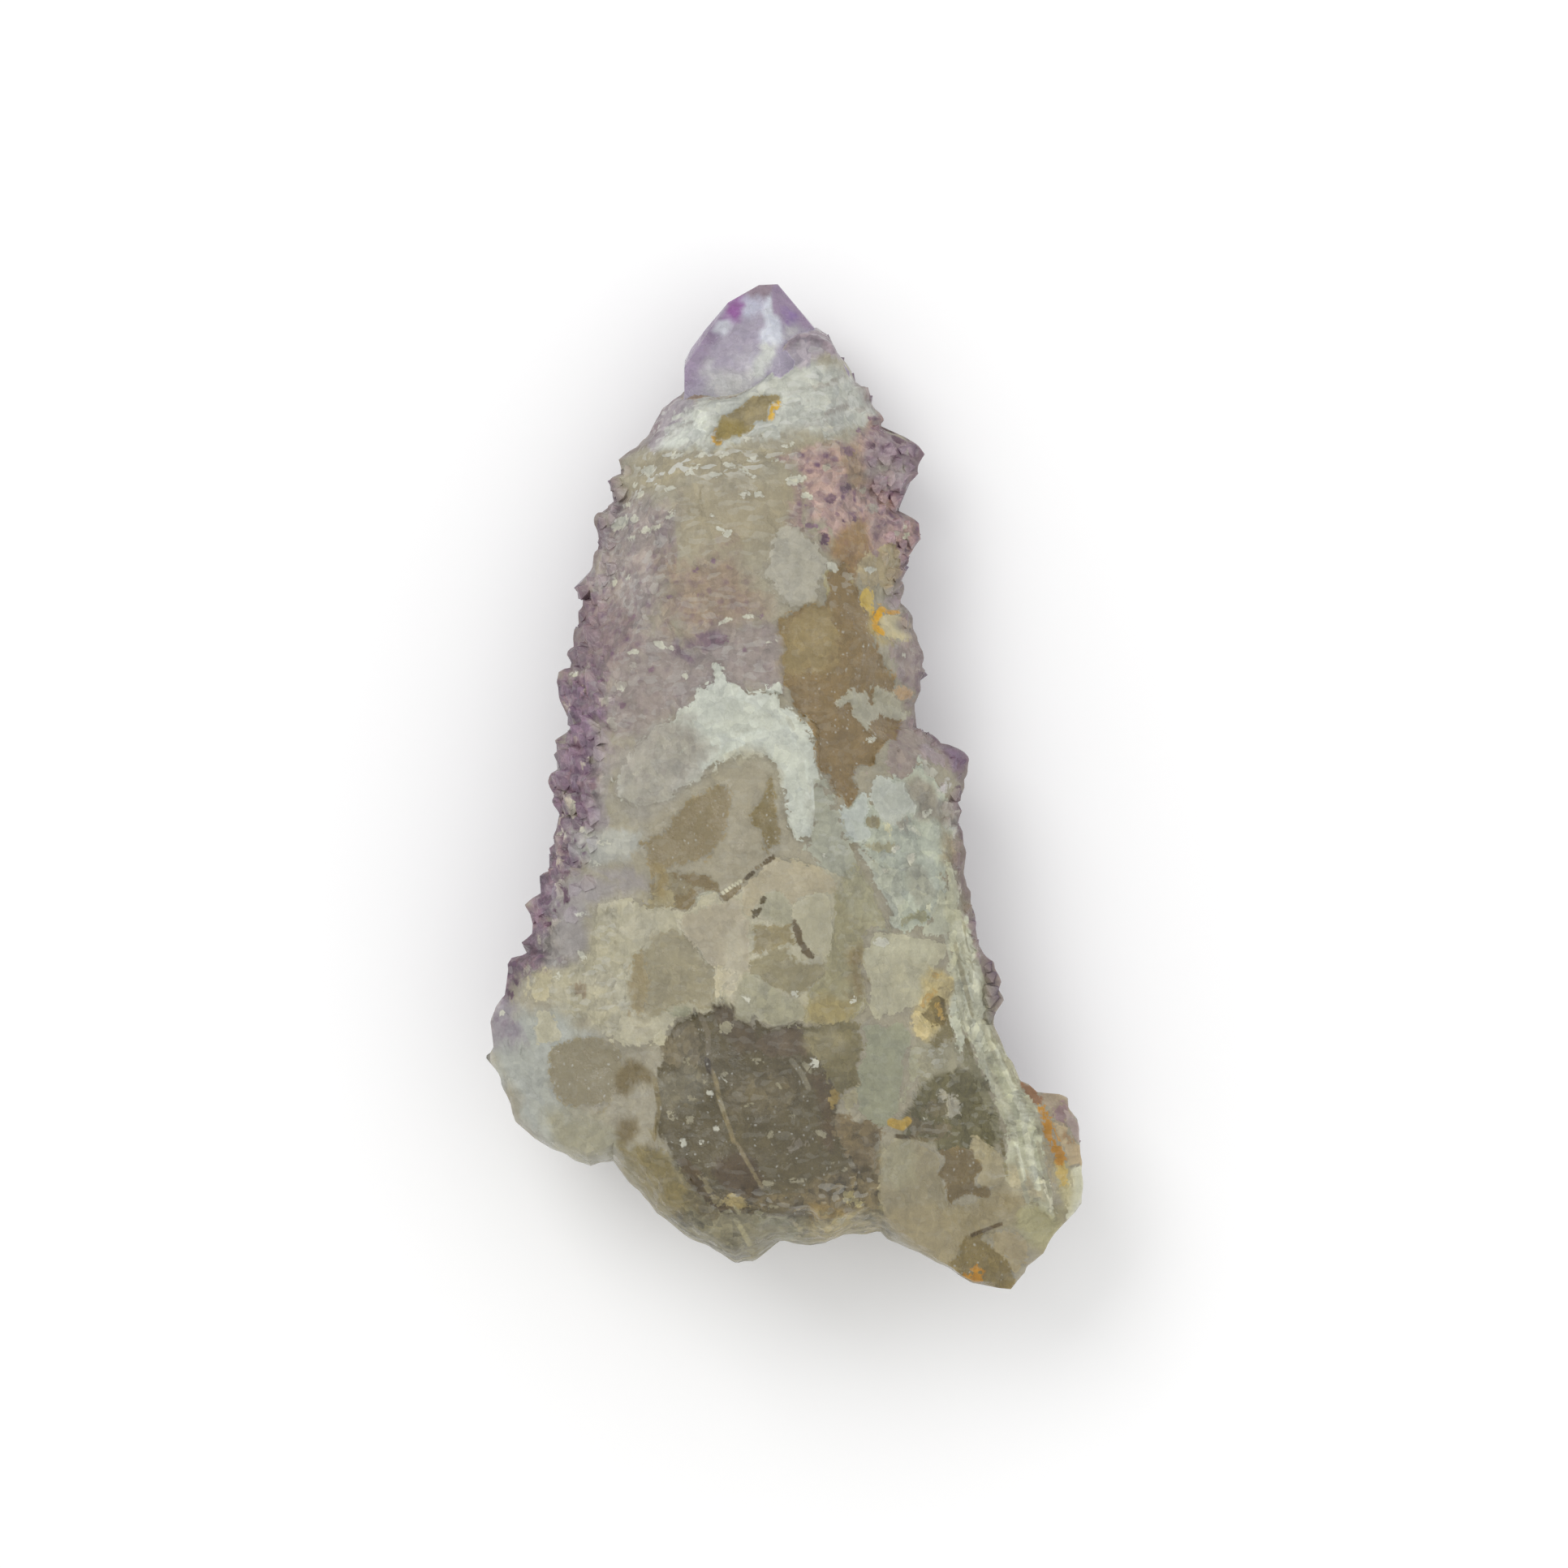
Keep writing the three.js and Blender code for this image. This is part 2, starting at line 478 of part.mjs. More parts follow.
const quartz = new THREE.MeshStandardMaterial({ color: 0xa59aa0, roughness: 0.35, metalness: 0 });
const mesh = new THREE.Mesh(centred(geometryOf(cluster)), quartz);
mesh.name = "quartz_cluster";

const group = new THREE.Group();
group.add(mesh);
export default group;
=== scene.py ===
"""A cactus quartz cluster lying on its back, broken side up, on a pale floor, seen from straight above.

The cluster is one fused mesh: a dense host crystal, its termination and a druse of small points. Lengths
are in millimetres in the outlines' own frame until a mesh is made: +X right, +Y towards the termination,
+Z up. The colours are painted from outlined patches, and the shaders add what is finer than the mesh.
"""

import math

import bmesh
import bpy
import numpy as np
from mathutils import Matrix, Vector, kdtree


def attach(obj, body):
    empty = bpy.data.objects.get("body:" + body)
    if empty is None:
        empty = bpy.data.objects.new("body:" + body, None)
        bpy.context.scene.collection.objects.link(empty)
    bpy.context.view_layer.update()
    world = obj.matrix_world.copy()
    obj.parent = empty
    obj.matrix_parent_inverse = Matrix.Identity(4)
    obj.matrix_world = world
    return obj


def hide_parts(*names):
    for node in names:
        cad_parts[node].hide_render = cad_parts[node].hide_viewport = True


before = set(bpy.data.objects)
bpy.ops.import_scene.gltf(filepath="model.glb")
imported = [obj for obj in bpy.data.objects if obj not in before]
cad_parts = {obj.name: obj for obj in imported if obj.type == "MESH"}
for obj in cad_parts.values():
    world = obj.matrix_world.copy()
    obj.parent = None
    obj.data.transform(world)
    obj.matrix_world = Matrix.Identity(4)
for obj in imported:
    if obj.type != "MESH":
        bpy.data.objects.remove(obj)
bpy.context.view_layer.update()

MM = 0.001
MIDDLE = (-0.025, 0.17)  # the middle of the object in the outlines' own frame
NODE = "quartz_cluster"

# The host crystal's outline seen from above, as four open lines of (x, y)
LEFT_EDGE = [
    (-7.5, 29.7), (-9.1, 28.4), (-9.9, 26.5), (-11.7, 24.1), (-12.6, 21.7), (-13.3, 19.3), (-13.8, 16.3),
    (-14.7, 13.3), (-15.3, 10.2), (-15.7, 6.6), (-15.9, 3.6), (-16.4, 0.6), (-16.4, -2.4), (-16.9, -5.5),
    (-17.8, -8.2), (-18.4, -10.9), (-19.8, -13.6), (-20.2, -15.7), (-21.3, -17.4), (-21.7, -20.0),
]
RIGHT_EDGE = [
    (5.7, 29.7), (6.3, 28.4), (6.9, 26.5), (7.6, 24.4), (8.0, 21.7), (8.3, 19.3), (8.5, 16.3),
    (8.5, 13.9), (8.9, 11.7), (9.7, 9.6), (9.9, 7.8), (9.4, 6.0), (9.7, 4.2), (11.1, 2.7), (12.6, 1.2),
    (12.8, -1.8), (12.9, -4.9), (13.4, -7.9), (14.1, -10.9), (14.7, -13.3), (15.5, -15.4), (15.5, -17.7),
    (16.4, -20.0), (17.3, -22.0), (19.3, -22.9), (20.9, -23.9), (21.7, -26.6), (22.1, -29.0),
    (22.0, -30.9),
]
BASE_EDGE = [
    (-21.7, -20.0), (-20.5, -22.7), (-19.9, -24.7), (-18.6, -26.0), (-16.5, -27.2), (-14.6, -28.4),
    (-12.6, -27.8), (-11.5, -29.4), (-9.3, -31.7), (-7.1, -33.5), (-5.5, -34.3), (-3.7, -35.5),
    (-2.2, -35.2), (-0.5, -34.0), (2.8, -34.1), (4.5, -33.3), (7.0, -33.1), (9.6, -34.5), (12.3, -35.7),
    (14.1, -37.0), (16.8, -37.3), (17.9, -35.5), (19.3, -34.8), (20.5, -32.6), (22.0, -30.9),
]
TOP_EDGE = [
    (-7.5, 29.4), (-6.2, 29.8), (-5.0, 29.3), (-3.0, 29.9), (-1.8, 30.7), (-0.5, 32.3), (0.3, 33.8),
    (1.2, 34.3), (2.4, 34.3), (3.3, 33.8), (3.8, 32.4), (5.0, 31.1), (5.7, 29.7),
]
TOP_REACH = 0.1

# The teeth of the rim, left and right, which the smooth edges above are moved out to
LEFT_TEETH = [
    (-7.6, 29.7), (-8.4, 28.9), (-9.4, 28.3), (-9.9, 27.0), (-10.4, 25.8), (-10.7, 25.3), (-12.0, 24.6),
    (-12.3, 24.4), (-12.3, 23.2), (-13.2, 22.9), (-12.8, 21.4), (-13.3, 21.0), (-13.2, 20.6),
    (-13.9, 20.4), (-14.1, 19.4), (-14.0, 17.7), (-14.3, 17.4), (-14.1, 16.4), (-15.1, 15.4),
    (-15.7, 14.7), (-15.1, 14.0), (-15.1, 13.4), (-15.4, 13.1), (-15.4, 12.1), (-15.8, 11.8),
    (-15.5, 10.4), (-15.9, 10.2), (-16.1, 9.7), (-15.8, 9.1), (-15.9, 8.7), (-16.8, 8.3), (-17.0, 7.6),
    (-16.8, 6.8), (-16.0, 4.6), (-16.3, 4.0), (-17.2, 3.3), (-16.8, 2.9), (-17.3, 2.4), (-16.8, 1.5),
    (-17.4, 1.0), (-17.6, 0.4), (-17.2, -0.8), (-17.4, -1.2), (-16.8, -2.1), (-17.0, -3.3), (-17.4, -3.9),
    (-17.2, -4.1), (-17.7, -4.7), (-17.5, -5.5), (-17.7, -6.3), (-18.3, -6.6), (-18.1, -7.9),
    (-19.2, -8.9), (-18.7, -9.8), (-18.8, -10.9), (-19.4, -11.5), (-18.9, -12.0), (-19.1, -12.4),
    (-20.0, -12.6), (-20.5, -13.1), (-20.8, -15.8), (-21.6, -16.8), (-21.8, -18.6), (-21.6, -19.6),
    (-22.2, -19.9), (-22.0, -20.6),
]
RIGHT_TEETH = [
    (5.7, 29.9), (6.3, 29.7), (6.6, 29.1), (6.5, 28.7), (7.3, 27.9), (7.6, 27.3), (7.3, 26.9),
    (7.4, 26.6), (8.5, 26.3), (9.9, 25.6), (10.4, 24.8), (9.8, 23.6), (9.9, 23.4), (9.1, 22.4),
    (9.2, 22.1), (8.5, 20.5), (9.0, 20.2), (9.9, 19.5), (10.2, 18.5), (9.4, 17.0), (9.5, 16.5),
    (8.8, 15.5), (9.0, 15.0), (8.6, 13.7), (9.0, 13.5), (9.4, 12.8), (9.4, 12.1), (9.7, 10.7),
    (10.4, 10.0), (10.5, 9.5), (10.3, 9.0), (10.7, 8.6), (10.2, 7.8), (10.2, 7.0), (9.5, 6.2), (9.7, 5.4),
    (9.7, 4.5), (10.8, 4.1), (11.6, 3.1), (13.3, 2.7), (13.7, 2.2), (13.2, 0.5), (13.3, -0.3),
    (13.0, -1.3), (13.4, -1.9), (13.1, -2.7), (13.4, -3.5), (13.3, -4.4), (13.5, -4.8), (13.2, -6.5),
    (13.5, -7.6), (13.8, -7.9), (14.3, -9.7), (14.7, -12.3), (15.6, -13.1), (16.2, -14.6), (16.0, -15.2),
    (16.3, -16.1), (15.7, -17.0), (15.7, -17.6), (17.0, -20.8), (17.5, -22.0), (18.1, -22.2),
    (18.7, -22.7), (20.1, -22.9), (20.9, -23.3), (21.0, -24.1), (21.6, -24.7), (21.9, -25.9),
    (22.2, -29.5), (22.1, -30.9),
]
TEETH_FADE = 3.0

# How the plan is drawn to the base: where the pull begins down the host, and its power
PULL_FROM, PULL_OVER, PULL_POWER = 0.62, 0.38, 1.4

# Heights along the host, as (y, value), from the termination to the broken base
MID_HEIGHT = [(30, 7.4), (18, 8.8), (0, 10.4), (-16, 11.8), (-30, 12.4)]
FRONT_RISE = [(30, 5.2), (18, 7.4), (0, 8.8), (-16, 10.4), (-30, 10.8)]
FLOOR_GAP = 1.5
BASE_WALL = 5
TIP_SLOPE = 1.4
BASE_CHIPS = 1.8
CHIP_STARTS = {True: 0.15, False: 0.62}  # where the chips begin, on the broken side and below
FLANK_SHARE = 0.3  # of the width that the broken side's flank takes up, and the underside's
BELLY_SHARE = 0.26
SWELL_MARGINS = (3, 2.5, 1.5)  # from the sides, the base and the termination
RELIEF_MARGIN = 0.7
WANDER, WANDER_SIZE = 0.22, 1.8  # how far the dense mesh's points stray, and in what lumps

# Flat breaks that bound the host: a point of each and its rise per millimetre along X and Y
FRONT_BREAKS = [
    ((-14, -20, 20.6), (0.62, 0.15)),
    ((-11.5, -5, 19.0), (0.65, 0.02)),
    ((-8.5, 12, 16.8), (0.5, -0.08)),
    ((5, 14, 17.2), (-0.7, -0.06)),
    ((11.8, -12, 21.2), (-1.3, -0.15)),
    ((18.5, -27, 18.6), (-0.9, 0.15)),
    ((-8, -28.5, 21.0), (0.25, 0.7)),
    ((3, -30, 21.8), (-0.1, 0.6)),
    ((14, -32, 19.6), (-0.35, 0.5)),
    ((-1, 26, 14.4), (0.05, -0.42)),
]
UNDER_BREAKS = [
    ((-12, -24, 2.2), (-0.4, -0.5)),
    ((3, -30, 2.8), (0.1, -0.7)),
    ((16, -27, 3.4), (0.5, -0.2)),
]

# The host's own termination: the corners of its six-sided prism as (x, z), from the front round by the
# left, the height of each shoulder, and the corners of its chisel-shaped point
TIP_SECTION = [(-0.3, 12.0), (-7.45, 9.4), (-7.45, 4.3), (-1.3, 1.7), (4.85, 4.3), (4.85, 9.4)]
TIP_SHOULDERS = [31.7, 31.2, 31.9, 31.2, 30.4, 30.9]
TIP_FOOT = 24.0
TIP_APEXES = [
    (-1.9, 37.4, 8.2), (-0.5, 37.5, 7.4), (-5.9, 34.1, 7.6), (-6.95, 32.7, 7.4), (-4.2, 36.1, 8.0),
    (2.3, 34.2, 7.4),
]

# A crystal's pyramid and buried root, and how far its join reaches, in its own radii
PYRAMID = 1.0
ROOT = 1.5
REACH = 1.75
COLUMN_FOOT = 0.9  # a column's foot as a share of its head
CORNER_LEAST, CORNER_SPREAD = 0.88, 0.24

# Where the druse ends: above the broken base, along the host, and at the side lobe's pale face
BARE_BASE = 5.5
CRUST_END = -28
BARE_LOBE = (15, -19)
BARE_LOBE_DEPTH = 5.5
LEAN = 0.42
FIRST_ROW = 0.6
ROW_SHARE = 0.88  # the distance between rows as a share of the spacing in them
COLUMN_START, COLUMN_JITTER = 0.2, 0.4  # along a row, in spacings, and a crystal's level across it
LEVEL_JITTER = 0.5
HEADING_JITTER = 0.5
SIZE_LEAST, SIZE_SPREAD = 0.78, 0.5
STAND_LEAST, STAND_SPREAD = 0.6, 0.3  # how far the points stand out, in their own radii
RIM_GAP = 0.1

# The druse in generations, coarse to fine: spacing and radius at the termination and at the base, the
# width of the bare rim, and how much of the lap over the rim it covers
GENERATIONS = [
    {"seed": 0, "spacing": (3.1, 4.7), "radius": (1.7, 2.6), "rim": 1.9, "over": 0},
    {"seed": 31, "spacing": (1.9, 2.5), "radius": (1.0, 1.35), "rim": 1.1, "over": 0.6},
    {"seed": 67, "spacing": (1.25, 1.6), "radius": (0.6, 0.85), "rim": 0.6, "over": 1},
]

# How far the fine druse laps over the rim onto the broken side, as (y, width)
LAP_LEFT = [
    (26, 0.4), (18, 0.9), (10, 1.6), (3, 3.2), (-3, 2.2), (-9, 2.6), (-14, 2.2), (-18, 0.6), (-22, 0),
]
LAP_RIGHT = [
    (28, 0.6), (25, 1.8), (18, 1.4), (14, 0.4), (8, 0.7), (4, 0.7), (2, 1.8), (-1, 0.8), (-13, 0.8),
    (-17, 0),
]

# Larger crystals that show on the outline: point, heading in degrees from +X, radius, height above the rim
EDGE_CRYSTALS = [
    ((10.3, 24.7), 20, 2.7, -0.9), ((9.5, 22.9), -8, 1.4, -0.6), ((10.2, 18.8), 4, 2.2, -0.8),
    ((13.5, 2.4), 38, 2.6, -0.9), ((10.7, 8.3), -6, 1.8, -0.8), ((9.4, 12.8), 20, 1.5, -0.7),
    ((16.3, -15.8), -4, 2.0, -1.5), ((20.6, -23.0), 62, 1.9, -2.6), ((22.1, -26.4), 20, 1.8, -2.6),
    ((6.6, 29.2), 42, 1.5, -0.6), ((3.3, 33.8), 72, 2.4, -0.9), ((-13.2, 22.8), 164, 1.3, -0.6),
    ((-14.2, 20.0), 172, 1.5, -0.7), ((-15.7, 14.8), 182, 1.6, -0.7), ((-16.9, 7.6), 172, 2.5, -0.9),
    ((-17.6, 0.4), 172, 1.4, -0.6), ((-19.1, -9.0), 174, 1.5, -0.6), ((-20.5, -13.3), 152, 1.9, -0.8),
    ((-21.8, -17.3), 160, 1.6, -0.8),
]
EDGE_DIP = -0.1
EDGE_SEED = 7000
EDGE_COLUMN = 0.8
REST_CRYSTAL = {"at": (-1.4, -6.5), "radius": 3.4, "squash": 0.85, "top": 3.5, "bottom": -1}
FLOOR_SLAB = ((-60, 60), (-80, 80), (-20, 0))  # cuts the cluster flat at the floor
SIDES = 6
TIP_CUTS = 4

# The dense mesh of the host, its cells a little smaller towards its edges
CELLS_ACROSS = 176
CELLS_ALONG = 312
UNDER_STEP = 4
CROWDING_ACROSS = 0.4
CROWDING_ALONG = 0.3

# Relief that the solid is too coarse for, as height, size in millimetres and seed
SOFT_LUMPS = (0.16, 4.4, 51)
LARGE_CELLS = (0.1, 2.1, 61)
SMALL_CELLS = (0.07, 0.9, 67)
GRAIN = (0.04, 1.0, 71)
STREAK_HEIGHT = 0.14
UPPER_STREAKS = (17, 4.5, 0.9, 81)  # angle, length, width and seed
RIDGE_STREAKS = (-72, 6, 0.9, 87)
DRIFT, DRIFT_SIZE = 0.6, 3
STUD_SIZE = 1.25

# The pieces that a torn edge breaks into, as how far they move it, size and seed, and its slow drift
TORN_PIECES = [(1.1, 1.6, 11), (0.5, 0.6, 17)]
TORN_DRIFT = (0.35, 3.2, 23)


def patch(name, colour, outline, edge=0.25, lift=0.0, cover=1.0, torn=1.0, level=None, **marks):
    """A painted patch: sRGB colour, width of its edge, how far it stands up and how torn its edge is.

    The marks are how much of the shaders' detail it has: specks, flecks and painted glints, mottle, and
    smoky for clear glass.
    """
    return {
        "name": name, "colour": colour, "outline": outline, "edge": edge, "lift": lift, "cover": cover,
        "torn": torn, "level": level, "marks": marks,
    }


# Colours that fade into each other under the crisp patches
ZONES = [
    patch("streaked band", (162, 154, 135), [(-12.4, 21.1), (-10.6, 24.7), (-6.4, 25.2), (3.9, 25.9),
        (3, 23.8), (-5.2, 22.9), (-8.8, 21.7)], edge=1.5, flecks=1, mottle=0.8),
    patch("green grey", (161, 152, 132), [(-8.7, 19.9), (-7.9, 22.3), (-1, 23.4), (2.1, 22.4), (1.1, 19),
        (-3.1, 16.9), (-8.2, 16.3)], edge=3.2, torn=1.5, flecks=0.25, mottle=0.5),
    patch("mauve left", (157, 147, 147), [(-13.9, 20.9), (-11.8, 21.7), (-8.5, 21.1), (-8.5, 16.3),
        (-9.1, 11.4), (-11.2, 8.4), (-14, 6.6), (-15.8, 10.2), (-15.3, 14.5)], edge=3, torn=1.4,
        specks=0.6, flecks=0.35, mottle=1),
    patch("mauve left low", (143, 127, 130), [(-15.6, 14.4), (-13, 13.4), (-11.5, 12), (-11, 10.5),
        (-12, 9.2), (-15, 8), (-16.8, 9.5), (-16.2, 12)], edge=1.4, torn=1.4, specks=1, flecks=0.15,
        mottle=1),
    patch("brown mauve", (156, 140, 127), [(-8.8, 16.3), (-3.7, 17.2), (-2.2, 15.1), (-1, 13),
        (-3.7, 11.4), (-7.6, 10.5), (-9.1, 12.7)], edge=2.6, torn=1.4, specks=0.7, flecks=0.25,
        mottle=0.8),
    patch("purple upper right", (169, 146, 146), [(-0.5, 24.4), (1, 24.9), (2.5, 25.4), (3.7, 25.5),
        (5, 25.8), (5.5, 26.8), (5, 28), (5.6, 29.2), (5.9, 30.4), (8, 29.6), (8.6, 27.2), (11, 26),
        (11, 16.9), (7.2, 16.3), (5.8, 18), (3.1, 18.2), (2.8, 19), (1.2, 19.2), (1, 20.4), (1.6, 21),
        (1.5, 22.4), (0.3, 23.4)], edge=1.1, torn=1.3, specks=1, flecks=0.15, mottle=1.4),
    patch("lilac lobe", (161, 144, 154), [(6.2, 26.6), (8, 26.8), (11, 25.6), (10.6, 24), (9.2, 22),
        (7.4, 22.6), (6, 24.4)], edge=1.4, specks=1, mottle=1),
    patch("amber upper right", (153, 126, 91), [(3.3, 18.1), (4.2, 19), (5, 19.8), (6, 19.6), (6.3, 18.4),
        (6.2, 17.2), (5.6, 16.6), (5.2, 15), (5, 13.6), (4.4, 14.6), (4.4, 16.4), (3.6, 17.2)], edge=0.9,
        torn=0.5, specks=0.3, mottle=0.7),
    patch("brown strip", (150, 131, 116), [(4.9, 25.4), (5.6, 25.6), (5.8, 24), (5.9, 22.6), (5.2, 22.2),
        (4.8, 23.2), (4, 24)], edge=0.9, torn=0.6, specks=0.4),
    patch("lilac pale", (160, 149, 149), [(6.8, 24.4), (8, 24.2), (8.8, 23.4), (8, 22.6), (7, 22.6),
        (6.4, 23.4)], edge=1.1, torn=0.6),
    patch("lilac middle", (152, 142, 141), [(-12.4, 8.4), (-10, 10.2), (-2.2, 12.3), (0.4, 11),
        (-0.2, 7.2), (-6.3, 6.1), (-12.4, 2.7), (-14.5, 4.2)], edge=2.2, torn=1.3, specks=0.3,
        flecks=0.25, mottle=0.7),
    patch("lilac left", (160, 151, 156), [(-15, 5), (-13, 4), (-12.6, 1.5), (-13.2, -1), (-12.8, -3),
        (-14.4, -4.6), (-15.8, -4.5), (-15.2, -1.5), (-14.8, 1.5), (-15.6, 3.6)], edge=1.4, mottle=0.8,
        specks=0.2),
    patch("left teeth", (126, 107, 127), [(-15.5, 10.2), (-14.5, 9), (-14.1, 6), (-13.2, 3.3),
        (-14.2, 0.6), (-14.6, -2.4), (-15.6, -5.5), (-16.2, -8.5), (-17, -11.5), (-18, -13.6),
        (-19.7, -14.4), (-21.4, -17.5), (-23, -17), (-22.1, -13.9), (-19.7, -7.9), (-18.2, -1.8),
        (-17.3, 4.2)], edge=1.1, torn=1.5, specks=1, flecks=0.25, mottle=1.6, studs=0.6),
    patch("left foot", (171, 173, 168), [(-21.5, -17.5), (-19.7, -16), (-16.7, -16.3), (-13.9, -18.4),
        (-17, -20), (-17.1, -23), (-13.6, -25.4), (-12.4, -27.8), (-14.3, -28.7), (-18.5, -26.6),
        (-20.3, -22.4), (-22.1, -20.6)], edge=1.8, mottle=0.5),
    patch("foot warm", (158, 154, 136), [(-17.6, -24.4), (-15.6, -24), (-13.4, -24.6), (-12.2, -26.6),
        (-13, -28.4), (-15, -28.6), (-17.4, -27)], edge=1.6, torn=1),
    patch("foot lilac", (152, 146, 154), [(-22.6, -16), (-19.4, -15.6), (-19.8, -18.2), (-22.6, -19.6)],
        edge=1.4, specks=0.5),
    patch("lilac low left", (157, 151, 151), [(-16, -6.4), (-10, -5.9), (-9.5, -7.9), (-11.8, -8.5),
        (-14.5, -9.4), (-16.2, -12.4), (-17.4, -9.1)], edge=1.2, mottle=0.3),
    patch("pale left", (172, 172, 167), [(-15.8, -4.4), (-15.4, -3.6), (-14.2, -3.2), (-12, -3),
        (-10.6, -3.2), (-10.4, -4.4), (-10.8, -5), (-12, -5.6), (-14, -5.8), (-15, -4.8)], edge=0.8,
        mottle=0.6),
    patch("base grey", (133, 128, 108), [(-10, -27), (8, -27), (8, -36), (-6, -37), (-12, -30)], edge=2,
        mottle=1.4),
    patch("low beige", (154, 147, 121), [(8.1, -30.5), (11.7, -31.4), (16.5, -30.2), (22, -30.8),
        (19.6, -35), (16.5, -33), (11.1, -35.5), (8.4, -33.5)], edge=1.2, mottle=0.4),
    patch("right rim", (140, 130, 126), [(12.6, 0), (14.4, 0), (14.4, -6.7), (16.2, -13.9), (16.4, -17),
        (15.2, -16.5), (14.2, -11.9), (13.1, -6.7)], edge=0.9, specks=0.3),
]

